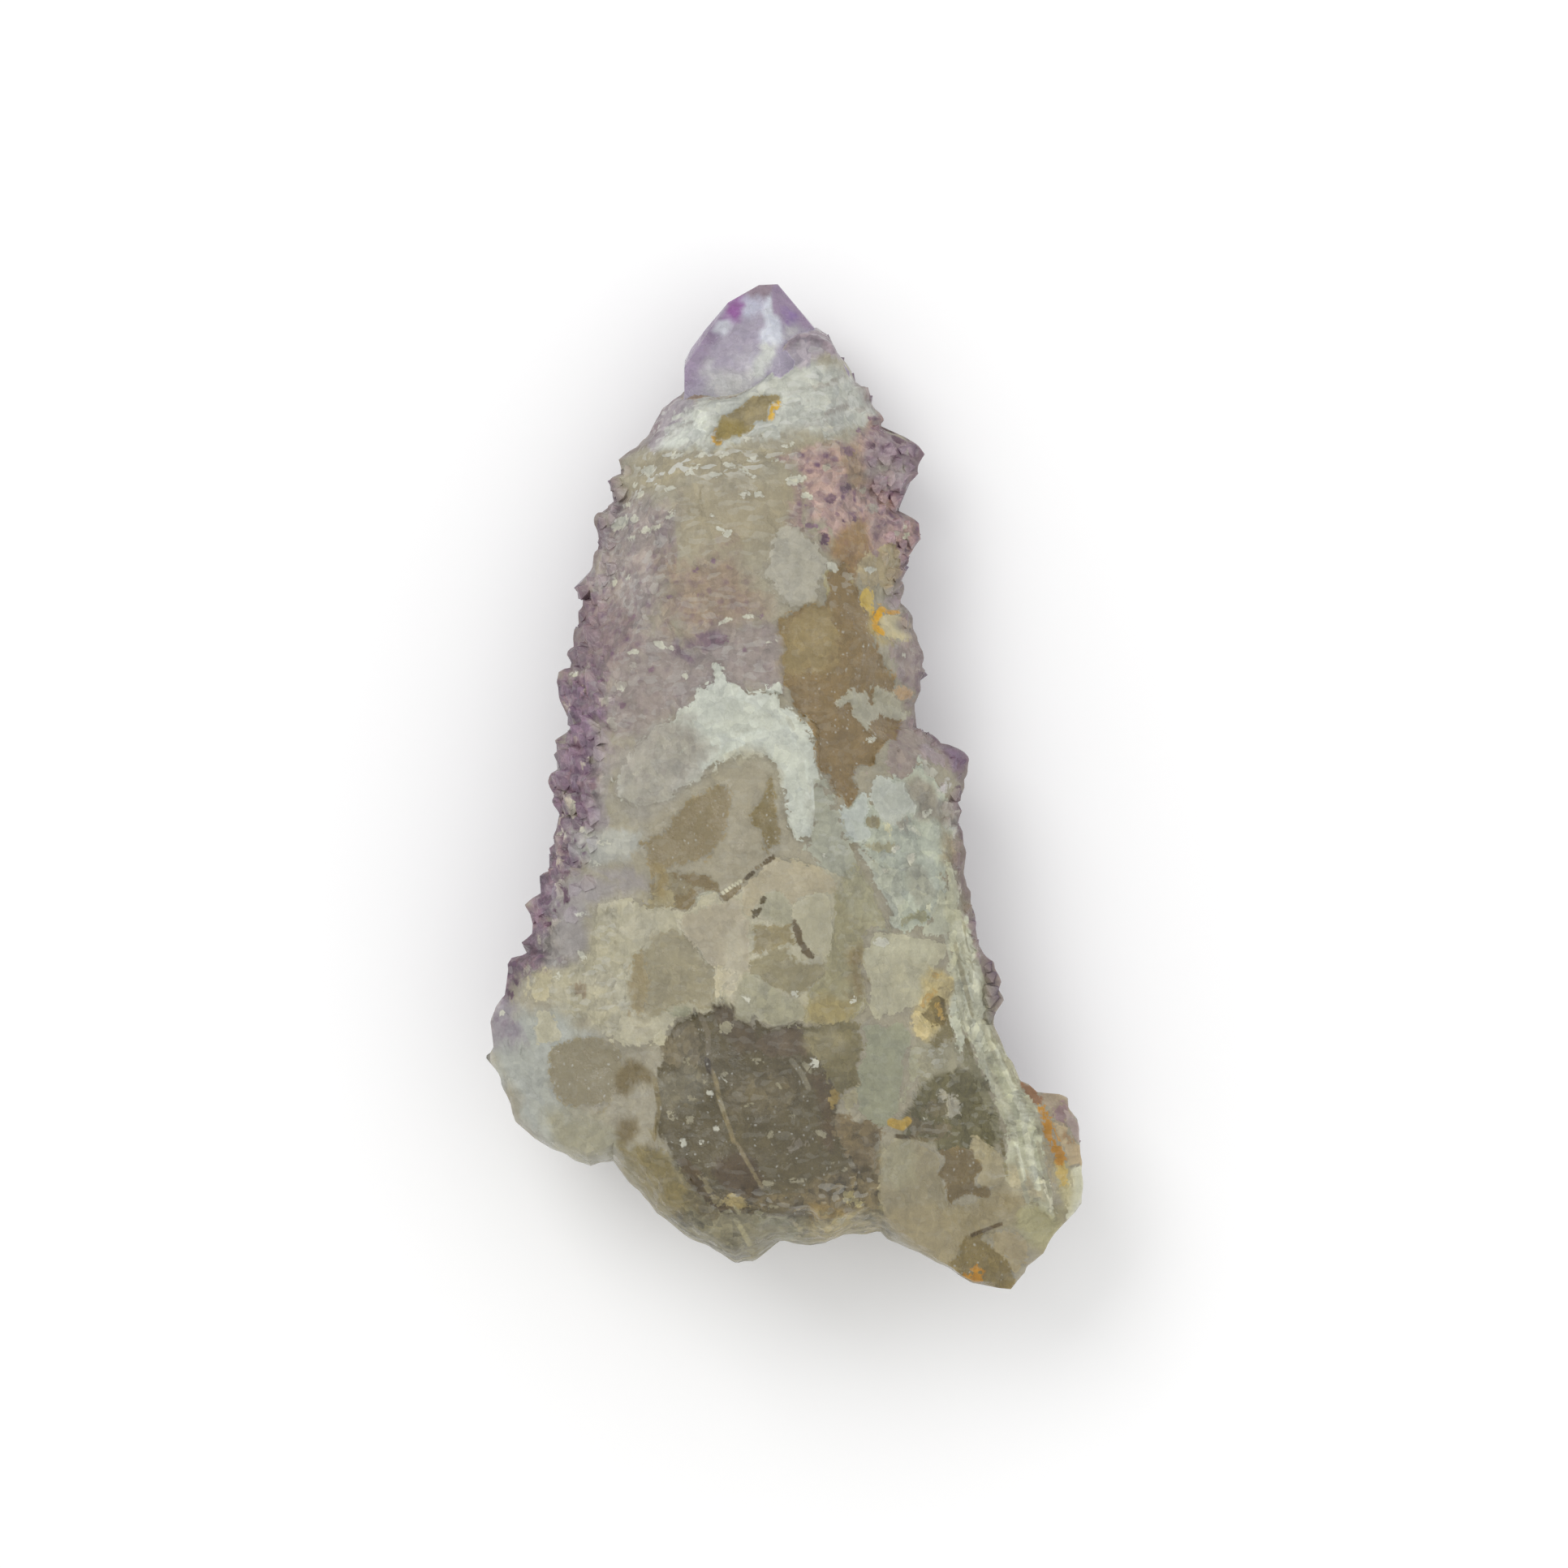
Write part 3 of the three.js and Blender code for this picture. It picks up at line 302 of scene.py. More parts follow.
# The crisp patches, in the order that they lie over each other
PATCHES = [
    patch("frost", (185, 187, 182), [(-10, 25.6), (-9.3, 28), (-7, 29.2), (-3.7, 29.7), (-1.9, 31.1),
        (0.5, 32.6), (3.3, 32), (5.6, 30.6), (6.8, 28.4), (5.8, 26.5), (2.7, 25.8), (-4, 25.2),
        (-7, 24.7)], edge=1.2, flecks=0.8, mottle=0.8, specks=0),
    patch("frost left bright", (208, 211, 204), [(-9.2, 25.4), (-8.6, 27.2), (-6.8, 28), (-5.6, 27.6),
        (-5.6, 26.2), (-7.4, 25.2)], edge=0.9, torn=0.6),
    patch("frost lilac", (163, 154, 163), [(-10.5, 28), (-8.6, 29.4), (-6.5, 29.2), (-7.4, 27.6),
        (-9.8, 25.4)], edge=1.2),
    patch("right block", (165, 157, 170), [(0.2, 32.8), (0.6, 34), (2.1, 34.8), (3.8, 34.4), (4.3, 32),
        (2.4, 31.1), (0.9, 31.4)], edge=0.6, mottle=1, flecks=0.3),
    patch("block top", (150, 137, 151), [(-0.2, 32.4), (0.2, 33.2), (0.8, 33.7), (2.2, 34), (3.2, 34),
        (4, 33), (4, 32), (3.2, 32.4), (2.8, 33.2), (1.4, 33.3), (0.6, 32.8), (0.2, 32.2)], edge=0.6,
        torn=0.6),
    # A brownish seam that is also the painted shadow under the frost's lip over the termination
    patch("brown seam and lip shadow", (140, 121, 108), [(-7.9, 29), (-7.2, 29.5), (-6.2, 29.55), (-5.4, 29.3),
        (-4.6, 29.3), (-3.2, 29.6), (-3, 30), (-2.8, 29.6), (-3.4, 29.1), (-5, 28.9), (-6.2, 28.9),
        (-7, 28.8)], edge=0.3, torn=0.1),
    patch("slot", (152, 140, 109), [(-5.2, 26.1), (-4.9, 26.9), (-4.6, 27.4), (-3.7, 27.7), (-3.1, 28.2),
        (-2.6, 28.7), (-1.9, 28.9), (-0.9, 29), (-0.2, 29.1), (-0.3, 28.7), (-1, 28.4), (-1.2, 27.7),
        (-1.4, 27.2), (-2, 27), (-2.3, 26.6), (-2.8, 26.1), (-3.8, 26.1), (-4.3, 25.8), (-5, 25.7)],
        edge=0.25, lift=-0.5, torn=0.15, flecks=0, mottle=0.6),
    patch("slot low", (148, 133, 84), [(-5.2, 26.2), (-4.6, 27), (-3.6, 27), (-2.4, 26.8), (-2.8, 26.2),
        (-4, 25.9), (-5, 25.7)], edge=0.6, torn=0.4),
    patch("slot orange", (204, 166, 62), [(-1.2, 28), (-1.1, 28.3), (-0.4, 28.8), (-0.4, 28.3),
        (-0.7, 27.9), (-0.8, 27.4), (-1.2, 27.2)], edge=0.3, torn=0.1),
    patch("slot yellow", (194, 158, 84), [(-5.3, 25.6), (-5.2, 26.6), (-4.8, 26.7), (-4.6, 26),
        (-4.8, 25.5)], edge=0.4, torn=0.4),
    patch("dark seam", (116, 94, 116), [(-7.7, 10.2), (-6.4, 11.2), (-4.9, 11.3), (-5.3, 10.5),
        (-7, 9.6)], edge=0.7, cover=0.75),
    patch("pale oval", (169, 165, 154), [(-1.5, 15.6), (-1.2, 16.4), (-0.9, 17), (-1, 18), (-0.4, 18.8),
        (0.2, 19.1), (1, 19), (1.6, 18.4), (2.2, 18), (2.5, 17.4), (2.9, 16.8), (3.2, 16.2), (3.4, 15.8),
        (2.7, 15.4), (2.8, 14.6), (2.4, 13.8), (1.2, 13.3), (0.2, 13.4), (-0.4, 14.2), (-0.9, 14.9)],
        edge=0.45, lift=0.35, torn=0.3, specks=0, mottle=0.5),
    patch("crumbs", (163, 154, 120), [(2.7, 15.6), (3.2, 15.9), (4, 16), (4.9, 15.9), (5.3, 15.4),
        (5.4, 14.2), (4.6, 13.4), (3.2, 13.4), (2.9, 14.6)], edge=0.5, torn=0.6, mottle=1, flecks=0.4),
    patch("brown band", (141, 121, 88), [(3.1, 15.6), (4.4, 16.4), (5.4, 14.6), (6.8, 12.5), (7.2, 9.8),
        (8, 7), (8.6, 5.2), (8, 3.6), (7.1, 2.5), (6.7, 1.4), (5.3, 1.3), (5.1, 0.5), (5.6, -0.2),
        (5.1, -1.1), (4.7, -1.6), (4, -0.7), (3.5, -0.4), (3.8, 0.7), (3.5, 1.4), (2.9, 1.3), (2.5, 1.6),
        (2.2, 4.3), (1.3, 5), (0.2, 7.1), (-0.1, 8.7), (0.2, 10.6), (-0.4, 12), (0.6, 13.1), (2.8, 13.3),
        (3.4, 14.2)], edge=0.3, lift=-0.7, torn=0.5, specks=0, mottle=0.5, smoky=1),
    patch("brown olive", (150, 134, 99), [(0, 8.4), (0.2, 12.4), (2.4, 13.2), (3.8, 12.6), (4.5, 10.4),
        (3.4, 8.4)], edge=1.2),
    patch("mauve right", (155, 143, 138), [(5, 1), (6.6, 1.3), (7.2, 2.5), (8.2, 4.2), (9, 5.4),
        (11.1, 4.8), (13.9, 3), (13.9, -1.8), (12.3, 0.6), (10.9, 1.2), (10, 2.1), (9.6, 0.9), (8.7, 0.3),
        (8, 0.7), (6.7, 0.8)], edge=0.4, specks=0.4, mottle=0.6),
    patch("cream upper", (167, 154, 127), [(5.3, 15.9), (5.6, 16.6), (6.2, 17.3), (7, 17.2), (7.3, 17.8),
        (8, 18.2), (8.7, 17.6), (8.7, 16.4), (8.6, 15.6), (7.8, 14.9), (7, 14.9), (6.6, 14.5),
        (5.7, 14.8)], edge=0.35, lift=0.3, torn=0.3, specks=0, mottle=0.7),
    patch("pale by stain", (190, 179, 147), [(7, 11.9), (7.1, 12.5), (7.6, 12.8), (8.2, 12.7),
        (8.8, 12.6), (9.3, 12.5), (9.5, 12), (9.3, 11.5), (9.4, 11), (9.5, 10.7), (8.8, 10.7),
        (8.2, 10.9), (7.7, 10.9), (7.3, 11.2)], edge=0.35, lift=0.3, torn=0.12),
    patch("knob grey", (172, 165, 142), [(8, 12.2), (8.5, 12.3), (8.9, 11.8), (8.6, 11.4), (8.1, 11.7)],
        edge=0.7, torn=0.3),
    patch("lilac by stain", (160, 150, 150), [(7.4, 13.6), (7.9, 14.2), (8.6, 14.3), (8.7, 13.6),
        (8.2, 13.2), (7.8, 13.2)], edge=0.5, torn=0.2),
    patch("right lilac", (152, 139, 137), [(7.8, 10.7), (8.6, 10.7), (9.4, 10.7), (10.4, 10.2),
        (10.9, 9.4), (10.8, 8.2), (10.5, 7.3), (9.9, 6.8), (9.4, 7.3), (8.8, 7.6), (8.4, 8), (8.2, 9),
        (7.8, 9.6), (7.6, 10.2)], edge=0.5, torn=0.3, specks=0.6, mottle=0.7),
    patch("right beige", (176, 150, 119), [(8.2, 7.3), (9, 7.4), (9.8, 7), (9.7, 6.4), (8.8, 6.4),
        (8.2, 6.6)], edge=0.4, torn=0.2),
    patch("pale block below", (166, 162, 145), [(6.6, 7.4), (7.2, 7.4), (7.4, 7), (8, 6.9), (8.4, 6.4),
        (9, 5.7), (9.5, 5.5), (8.4, 5.1), (7.6, 5.4), (7, 5.8), (6.6, 6.4), (6.5, 7)], edge=0.4, torn=0.2,
        lift=0.2),
    patch("ochre spot above", (162, 134, 84), [(7.9, 8.1), (8, 8.5), (8.3, 8.6), (8.4, 8.2), (8.2, 7.9)],
        edge=0.4, torn=0.1),
    patch("yellow stain", (192, 168, 94), [(5.6, 13.9), (5.7, 14.3), (6, 14.6), (6.4, 14.4), (6.6, 13.9),
        (6.8, 13.4), (6.9, 13), (6.4, 12.8), (6, 13.2), (5.7, 13.5)], edge=0.5, torn=0.15),
    patch("stain fade", (172, 156, 108), [(6.5, 12.6), (7, 12.8), (7.1, 11.4), (7.8, 10.9), (8, 10.5),
        (7.2, 10.3), (6.6, 11), (6.4, 11.8)], edge=0.7, torn=0.3),
    patch("orange stain", (200, 154, 34), [(6.7, 12.9), (7, 13.3), (7.5, 13.35), (7.7, 13.1), (7.3, 12.8),
        (7, 12.4), (7, 11.8), (7.3, 11.3), (7, 11.2), (6.7, 11.7), (6.6, 12.3)], edge=0.35, torn=0.05),
    patch("star flake", (168, 165, 150), [(3.7, 6.1), (4, 6.6), (4.6, 6.7), (4.7, 7.4), (5.2, 7.3),
        (5.3, 6.9), (5.9, 7), (6.3, 6.5), (6.1, 6.1), (6.5, 5.9), (7.1, 6.2), (7.5, 5.7), (8, 5.9),
        (8.6, 5.7), (9.1, 5.4), (9, 5), (8.2, 5), (7.5, 5.3), (7, 5.5), (6.7, 5.1), (6.3, 4.7), (6.3, 4),
        (6, 4.1), (5.8, 4.6), (5.3, 5), (5, 5.2), (5.1, 5.7), (4.8, 6.2), (4.4, 6), (4, 5.7)], edge=0.22,
        lift=0.3, torn=0.15),
    patch("cushion", (194, 197, 188), [(-6.3, 7.4), (-5.4, 7.9), (-4.9, 9), (-4.3, 8.1), (-3.2, 7.4),
        (-2.7, 7.1), (-1.1, 7.2), (-0.4, 7.6), (0, 6.1), (1.3, 5), (2.2, 4.3), (2.3, 2.5), (2.3, 0.9),
        (2, -0.2), (2.2, -2), (2.1, -3.8), (0.7, -3.9), (0.2, -2.6), (-0.2, -1.3), (-0.3, 0.3),
        (-0.7, 1.6), (-1.8, 2.3), (-3.2, 2.1), (-4.5, 1.6), (-5.8, 0.7), (-7, -0.2), (-8.5, -1.1),
        (-10.7, -1.7), (-12.8, -1.1), (-13, 0.3), (-11.9, 1.6), (-10.3, 3.4), (-8.5, 4.7), (-7, 5.9)],
        edge=0.4, lift=0.8, torn=0.5, specks=0, mottle=0.6, flecks=0.1),
    patch("cushion left", (159, 152, 148), [(-13.4, -0.8), (-12.6, 2), (-10, 4.1), (-7, 4.6), (-5.2, 2.2),
        (-7, 0), (-8.8, -1.8), (-10.8, -2.4)], edge=2.2, specks=0.15),
    patch("cushion fade", (164, 161, 152), [(-12.8, -1.6), (-13, 0.6), (-11, 2.6), (-8.6, 4.2), (-6.6, 4),
        (-5.2, 2.6), (-6.2, 0.6), (-8.2, -1.4), (-10.6, -2.4)], edge=2.2, torn=1, cover=0.8),
    patch("cushion inner", (176, 171, 153), [(-5, 2.2), (-3.4, 3), (-1.6, 2.8), (-0.4, 1.4), (0, -0.6),
        (-0.6, -2), (-1.6, 0.4), (-3.4, 1)], edge=1.1, torn=0.8, cover=0.75),
    patch("smoky fade", (160, 153, 136), [(-10.4, -5.5), (-9.6, -2.6), (-5.8, 1), (-2.2, 2), (-0.5, 0.6),
        (-1, -5.5), (-4, -7.9), (-7, -9.2), (-9.4, -8.5)], edge=1.6, mottle=0.4),
    patch("left window", (145, 132, 104), [(-5.1, 0), (-4.3, -0.2), (-3.9, -1.1), (-3.8, -2.9),
        (-4.3, -3.7), (-5.2, -4.9), (-5.9, -5.6), (-7.2, -5.9), (-8.5, -6), (-9.2, -6.4), (-9.3, -7.8),
        (-9.9, -8), (-10, -6.4), (-10.4, -5.5), (-10.5, -4.2), (-9.6, -3.7), (-8.5, -3.1), (-8.1, -2),
        (-7, -0.8), (-6.1, -0.3)], edge=0.45, lift=-0.3, torn=0.4, mottle=0.2, smoky=1),
    patch("left window foot", (144, 134, 110), [(-8.2, -6.3), (-6.6, -6.3), (-5.7, -6.5), (-5.3, -7),
        (-4.9, -7.1), (-4.8, -7.8), (-5.6, -7.6), (-6.6, -7.9), (-6.6, -8.3), (-7.2, -9), (-8, -8.8),
        (-8.6, -9.1), (-9.6, -9.1), (-10.2, -8.6), (-9.9, -7.8), (-9.4, -7.4), (-9.3, -6.6),
        (-8.8, -6.6)], edge=0.3, lift=-0.4, torn=0.2, flecks=0.2, smoky=1),
    patch("window foot top", (126, 112, 84), [(-8.2, -6.3), (-7.4, -6.5), (-6.6, -6.4), (-5.7, -6.5),
        (-5.3, -7.1), (-4.9, -7.3), (-4.9, -7.7), (-5.4, -7.6), (-6.1, -7.5), (-6.8, -7.2), (-7.4, -6.9),
        (-8, -6.8)], edge=0.3, torn=0.12),
    patch("window foot low", (130, 116, 86), [(-8.1, -8), (-7.4, -7.9), (-6.7, -7.5), (-6, -7.6),
        (-6.5, -8), (-6.6, -8.5), (-7.1, -9.1), (-7.7, -9.1), (-8.1, -8.7)], edge=0.3, torn=0.12),
    patch("window foot beige", (160, 150, 122), [(-10.2, -8), (-9.4, -7.9), (-8.3, -7.8), (-8.1, -8.6),
        (-8.6, -9.2), (-9.8, -9.2), (-10.6, -8.8)], edge=0.5, torn=0.3),
    patch("window foot brown", (148, 133, 98), [(-9.7, -5.6), (-8.8, -5.9), (-8.7, -7), (-9, -7.9),
        (-9.7, -7.9)], edge=0.6, torn=0.4),
    patch("window lip", (172, 170, 154), [(-6.1, -7.7), (-5.1, -7.7), (-4.8, -8.2), (-4.9, -8.7),
        (-5.6, -8.9), (-6.3, -8.7), (-6.8, -8.5)], edge=0.3, torn=0.2),
    patch("right window", (140, 127, 93), [(-1, 0.8), (-1.3, -0.2), (-2, -1.3), (-2.5, -2.2),
        (-2.1, -2.9), (-1.6, -3.1), (-1.6, -4.2), (-1.5, -5.2), (-0.8, -4.6), (-0.2, -4), (-0.4, -2.4),
        (-0.7, -0.6)], edge=0.3, lift=-0.4, torn=0.3, smoky=1),
    patch("right ground", (177, 182, 171), [(4.1, -1.3), (4, -2.4), (4.6, -4), (5.3, -4.2), (5.8, -5.1),
        (6.3, -6), (6.7, -7.3), (7.1, -8.2), (7.5, -9.1), (7.9, -10.2), (8.9, -10.8), (10.5, -10.4),
        (12, -8), (12.6, -6.4), (12.8, -3.3), (12.5, -1.1), (10.9, 1.2), (10, 2.1), (9.6, 0.9),
        (8.7, 0.3), (8, 0.7), (6.7, 0.8), (6.3, 0), (6.6, -1.1), (5.6, -0.4), (5.1, -1.1), (4.8, -1.6)],
        edge=0.3, lift=0.3, torn=0.4, specks=0, mottle=0.9, flecks=0.15),
    patch("right shade", (152, 147, 138), [(9, 0.2), (10, 0.8), (11, 0.4), (11.6, -0.8), (12.6, -1),
        (12.6, -3), (11, -2.6), (10, -2.6), (9.6, -2.2), (9.8, -1.6), (9.3, -0.8)], edge=0.7, torn=0.3),
    patch("right shade middle", (150, 148, 130), [(6.1, -4.3), (7, -4.1), (7.6, -4.2), (8.4, -4.1),
        (8.6, -4.6), (8.1, -4.9), (7.3, -4.9), (6.5, -4.9), (6, -4.7)], edge=0.35, torn=0.15),
    patch("right blue grey", (158, 159, 148), [(9, -5.4), (10.2, -5.8), (11, -7), (10.8, -8.4),
        (9.6, -8.4), (8.9, -7.4)], edge=1, torn=0.8),
    patch("right strip", (176, 179, 168), [(5.4, -4.4), (6, -4.6), (6.6, -5.2), (7.4, -5.9), (8.4, -6.2),
        (8.7, -7), (8.8, -8.4), (8.6, -9.4), (8.4, -10.3), (8.1, -10.4), (7.9, -9.9), (7.6, -9.2),
        (7.4, -8.5), (6.9, -7.8), (6.5, -6.9), (6.1, -6), (5.6, -5.4), (5.2, -5)], edge=0.35, torn=0.12,
        lift=0.35),
    patch("right brown rim", (150, 141, 119), [(11.6, -3), (12.4, -3.4), (13.5, -4.2), (13.6, -6.6),
        (12.6, -6.6), (11.8, -5.4), (11.5, -4.2)], edge=0.8, torn=0.4),
    patch("right dark rim", (132, 123, 105), [(11.6, -6.4), (12.6, -6), (13.6, -7), (14.2, -8),
        (14.8, -9.8), (13.4, -9.6), (12.8, -9), (12.7, -8.2), (12, -7.8)], edge=0.5, torn=0.2),
    patch("ridge arm", (180, 181, 165), [(11.2, -6.4), (11.6, -7), (11.9, -7.9), (12, -8.6), (12.6, -9.4),
        (13, -10.2), (12.4, -11), (11.4, -11.2), (10.2, -11), (10.4, -10.2), (11, -9.8), (10.7, -9),
        (11.3, -8.6), (11.4, -7.6)], edge=0.35, torn=0.2),
    patch("ridge foot shade", (142, 142, 121), [(8.6, -9.8), (9.4, -9.4), (10.4, -9.2), (10.8, -9.8),
        (10.4, -10.1), (9.4, -9.9), (8.8, -10.3)], edge=0.35, torn=0.15),
    patch("tooth lilac", (156, 143, 148), [(10, 3.1), (10.8, 3.2), (11.3, 2.7), (11.8, 2), (12.1, 1.6),
        (11.2, 1.4), (10.7, 2), (10.3, 2.4)], edge=0.4, torn=0.15),
    patch("tooth purple", (122, 102, 128), [(11.5, 3.1), (13.4, 2.9), (14, 2.2), (13.5, 1), (12.6, 0.8),
        (12.2, 1.4), (12.4, 2)], edge=0.7, torn=0.3, specks=1),
    patch("tooth pale", (175, 173, 164), [(10.1, 1.6), (10.5, 1.9), (10.8, 1.7), (11, 1.3), (11.7, 1.2),
        (11.4, 0.8), (10.9, 0.6), (10.4, 0.8), (10.2, 1.2)], edge=0.3, torn=0.15),
    patch("tooth pale low", (174, 171, 168), [(11.5, 0.2), (12.1, 0.6), (12.4, 0.4), (12.4, 0),
        (12.1, -0.5), (11.6, -0.6), (11.3, -0.3)], edge=0.3, torn=0.15),
    patch("light block", (180, 183, 176), [(6.5, 0.4), (6.9, 0.8), (7.4, 0.7), (8, 0.4), (8.4, 0.2),
        (8.9, 0.4), (9, -0.3), (9.4, -0.8), (9.8, -1.6), (9.6, -2), (9.1, -2), (8.7, -2.5), (8.2, -2.9),
        (7.6, -2.7), (7.2, -2.6), (6.9, -2.1), (6.6, -1.6), (6.3, -1), (6.3, -0.3)], edge=0.3, lift=0.35,
        torn=0.12, mottle=0.5),
    patch("light block left", (181, 186, 181), [(5.9, -0.3), (6.1, -0.7), (6.2, -1.2), (6.4, -1.8),
        (6.1, -2.3), (6, -2.8), (6.4, -3.2), (6.8, -3.3), (6.4, -3.8), (5.9, -4.1), (5.4, -4.1),
        (5, -3.9), (4.5, -3.7), (4.1, -3.2), (4, -2.4), (4.1, -1.5), (4.3, -1.3), (4.6, -1.7), (5, -1.6),
        (5.3, -1), (5.6, -0.5)], edge=0.3, lift=0.35, torn=0.12, mottle=0.5),
    patch("light piece", (184, 182, 159), [(7.3, -2.7), (7.6, -2.8), (8, -3.2), (7.9, -3.6), (7.4, -3.5)],
        edge=0.35, torn=0.15),
    patch("grey spot", (152, 150, 142), [(8.4, -2.7), (9, -2.3), (9.6, -2.4), (9, -3), (9.2, -3.6),
        (8.7, -3.5)], edge=0.4, torn=0.15),
    patch("pale tip", (182, 183, 170), [(8.9, -2.8), (9.6, -2.9), (10.2, -3.4), (10.3, -3.9), (9.9, -3.9),
        (9.3, -3.4)], edge=0.3, torn=0.1),
    patch("dark piece", (138, 132, 114), [(3.9, -4), (4.6, -3.8), (5, -4), (5.4, -4.5), (5.2, -4.9),
        (4.6, -4.9), (4.1, -4.6)], edge=0.35, torn=0.15),
    patch("small eye", (139, 133, 112), [(6.1, -2.2), (6.5, -2.1), (6.9, -2.2), (7.1, -2.6), (7.1, -2.9),
        (6.8, -3.1), (6.3, -3.1), (6, -2.7)], edge=0.3, lift=-0.4, torn=0.12),
    patch("middle ground", (165, 166, 153), [(2.2, -0.5), (3.6, -0.6), (4.2, -3.4), (5.7, -5.5),
        (7.2, -8.6), (7.9, -10.9), (6.4, -10.9), (5.7, -9), (3.3, -6.8), (1.6, -4.6), (2.3, -3)],
        edge=0.5, mottle=0.5, flecks=0.3),
    patch("sheet", (178, 173, 154), [(-14, -8.7), (-13, -8.3), (-11.4, -8.2), (-10.1, -9.1), (-7.2, -9.2),
        (-5.8, -8.2), (-5.1, -7.7), (-4.8, -8.1), (-4.2, -8.5), (-3.9, -8.2), (-3.2, -7.5), (-1.6, -6.2),
        (-0.6, -5.4), (1, -5.6), (3.6, -6.4), (4.6, -7), (5.7, -9.9), (5.8, -12.2), (5.7, -13),
        (5.9, -13.8), (6.3, -14.5), (6.2, -16.4), (5.5, -17), (4.6, -17.1), (3.5, -17.5), (1, -17.3),
        (-1, -17.7), (-1.9, -17.3), (-2.2, -16.8), (-2.4, -17.6), (-3.8, -17), (-4.5, -15.9),
        (-5.6, -16.6), (-6.2, -16.9), (-6.5, -16.5), (-7, -17), (-7.9, -17.3), (-8.8, -19),
        (-11.7, -19.4), (-13.4, -18.4), (-14.3, -15.7), (-13.9, -12.6)], edge=0.28, lift=0.6, torn=0.35,
        specks=0, mottle=0.6, flecks=0.1),
    patch("sheet left", (172, 167, 149), [(-18.6, -13.7), (-17, -13.5), (-15.2, -13), (-14.6, -11.5),
        (-14.2, -9), (-12.4, -9), (-11.6, -18.6), (-13.6, -18.2), (-15.8, -17.2), (-19.2, -15.4)],
        edge=1.2, lift=0.1, mottle=0.8, flecks=0.4),
    patch("sheet left grey", (154, 149, 149), [(-17.6, -10), (-16.6, -9.2), (-15, -9.2), (-14.4, -10.4),
        (-14.6, -12), (-15.6, -12.8), (-17.4, -13), (-18.2, -11.8)], edge=1.2, torn=0.8),
    patch("sheet middle", (151, 144, 123), [(-8.4, -10.4), (-7.1, -11.1), (-6.5, -11.9), (-5.6, -12.9),
        (-5.1, -13.4), (-5, -15.6), (-5.6, -16.4), (-7.4, -16.1), (-8.3, -16.6), (-9.5, -17.2),
        (-11, -16.4), (-11.4, -14.5), (-10.8, -12.8), (-9.6, -11.6)], edge=0.5, torn=0.7, mottle=0.5),
    patch("sheet brown band", (147, 136, 109), [(-11.2, -12.4), (-10.3, -12.2), (-10.2, -13.4),
        (-9.9, -14.5), (-10.3, -15.5), (-10.6, -16.8), (-11.4, -16.8), (-11.5, -14.5)], edge=0.5,
        torn=0.15),
    patch("sheet light band", (179, 175, 159), [(-12.4, -13.8), (-11.6, -13.4), (-11.6, -15),
        (-11.5, -16.6), (-12.2, -16.2), (-12.5, -15)], edge=0.6, torn=0.4),
    patch("sheet bright corner", (180, 175, 157), [(-13.8, -8.4), (-12.9, -8), (-11.8, -8.3), (-10.4, -9),
        (-9.4, -9.4), (-9.8, -10.6), (-11, -11.2), (-12.4, -11.4), (-13.6, -10.6)], edge=0.8, torn=0.6),
    patch("sheet light lip", (182, 177, 160), [(-8.1, -9.8), (-7.4, -10), (-6.5, -11.2), (-5.8, -12.1),
        (-5.1, -13), (-5.6, -13.1), (-6.3, -12.2), (-7, -11.2), (-7.8, -10.4)], edge=0.3, torn=0.1),
    patch("sheet low grey", (146, 146, 129), [(-8.6, -16.6), (-7.8, -16.2), (-6.8, -16.3), (-6.8, -16.8),
        (-7.6, -17.2), (-8.4, -17.1)], edge=0.5, torn=0.3),
    patch("sheet brown spot", (142, 130, 113), [(-15.4, -14.6), (-15, -14.3), (-14.8, -15), (-15, -15.5),
        (-15.5, -15.3)], edge=0.5, torn=0.15),
    patch("sheet flake", (169, 161, 144), [(-7.6, -10), (-7.2, -9.4), (-5.5, -9), (-4.8, -8.6),
        (-3.2, -8.3), (-3, -9.4), (-2.6, -10), (-2.4, -10.6), (-2.5, -11.5), (-2.7, -12.5), (-2.7, -13.6),
        (-3.2, -13.9), (-3.9, -13.7), (-4.5, -13.4), (-5.3, -13.2), (-5.9, -12.7), (-6.5, -11.8),
        (-7.1, -11.1)], edge=0.35, lift=0.65, torn=0.25, mottle=0.4),
    patch("sheet upper", (171, 162, 141), [(-2.9, -7.2), (-1.6, -6.2), (-0.6, -5.4), (1, -5.6), (2.5, -6),
        (3.3, -6.6), (4, -7.4), (4, -8), (3.4, -8), (2.6, -7.9), (1.6, -8), (1, -8.3), (0.6, -8.9),
        (0, -8.2), (-0.5, -7.8), (-1.3, -7.7), (-1.6, -8.1), (-1.6, -8.6), (-2.3, -9), (-2.4, -9.4),
        (-2.9, -9.6), (-3.1, -9), (-3.2, -8.2)], edge=0.3, lift=0.7, torn=0.25, mottle=0.4),
    patch("sheet inner", (161, 158, 140), [(-1.5, -8.1), (-0.6, -7.8), (0, -8.2), (0.6, -8.9),
        (0.7, -9.8), (0.5, -10.3), (-0.5, -10.2), (-1.2, -10), (-1.9, -9.9), (-1.6, -9.2)], edge=0.4,
        torn=0.4, mottle=0.5),
    patch("sheet shade", (151, 146, 121), [(3.5, -7.6), (4, -7.4), (4.6, -6.8), (5, -6.2), (5.5, -5.5),
        (6, -6), (6.4, -7.2), (7.1, -8.4), (7.5, -9.6), (7.8, -10.7), (6.6, -10.6), (6.1, -11.4),
        (5.8, -12.2), (5.7, -13), (5.9, -13.8), (6.3, -14.5), (6.2, -16.4), (5.5, -17), (3.5, -17.4),
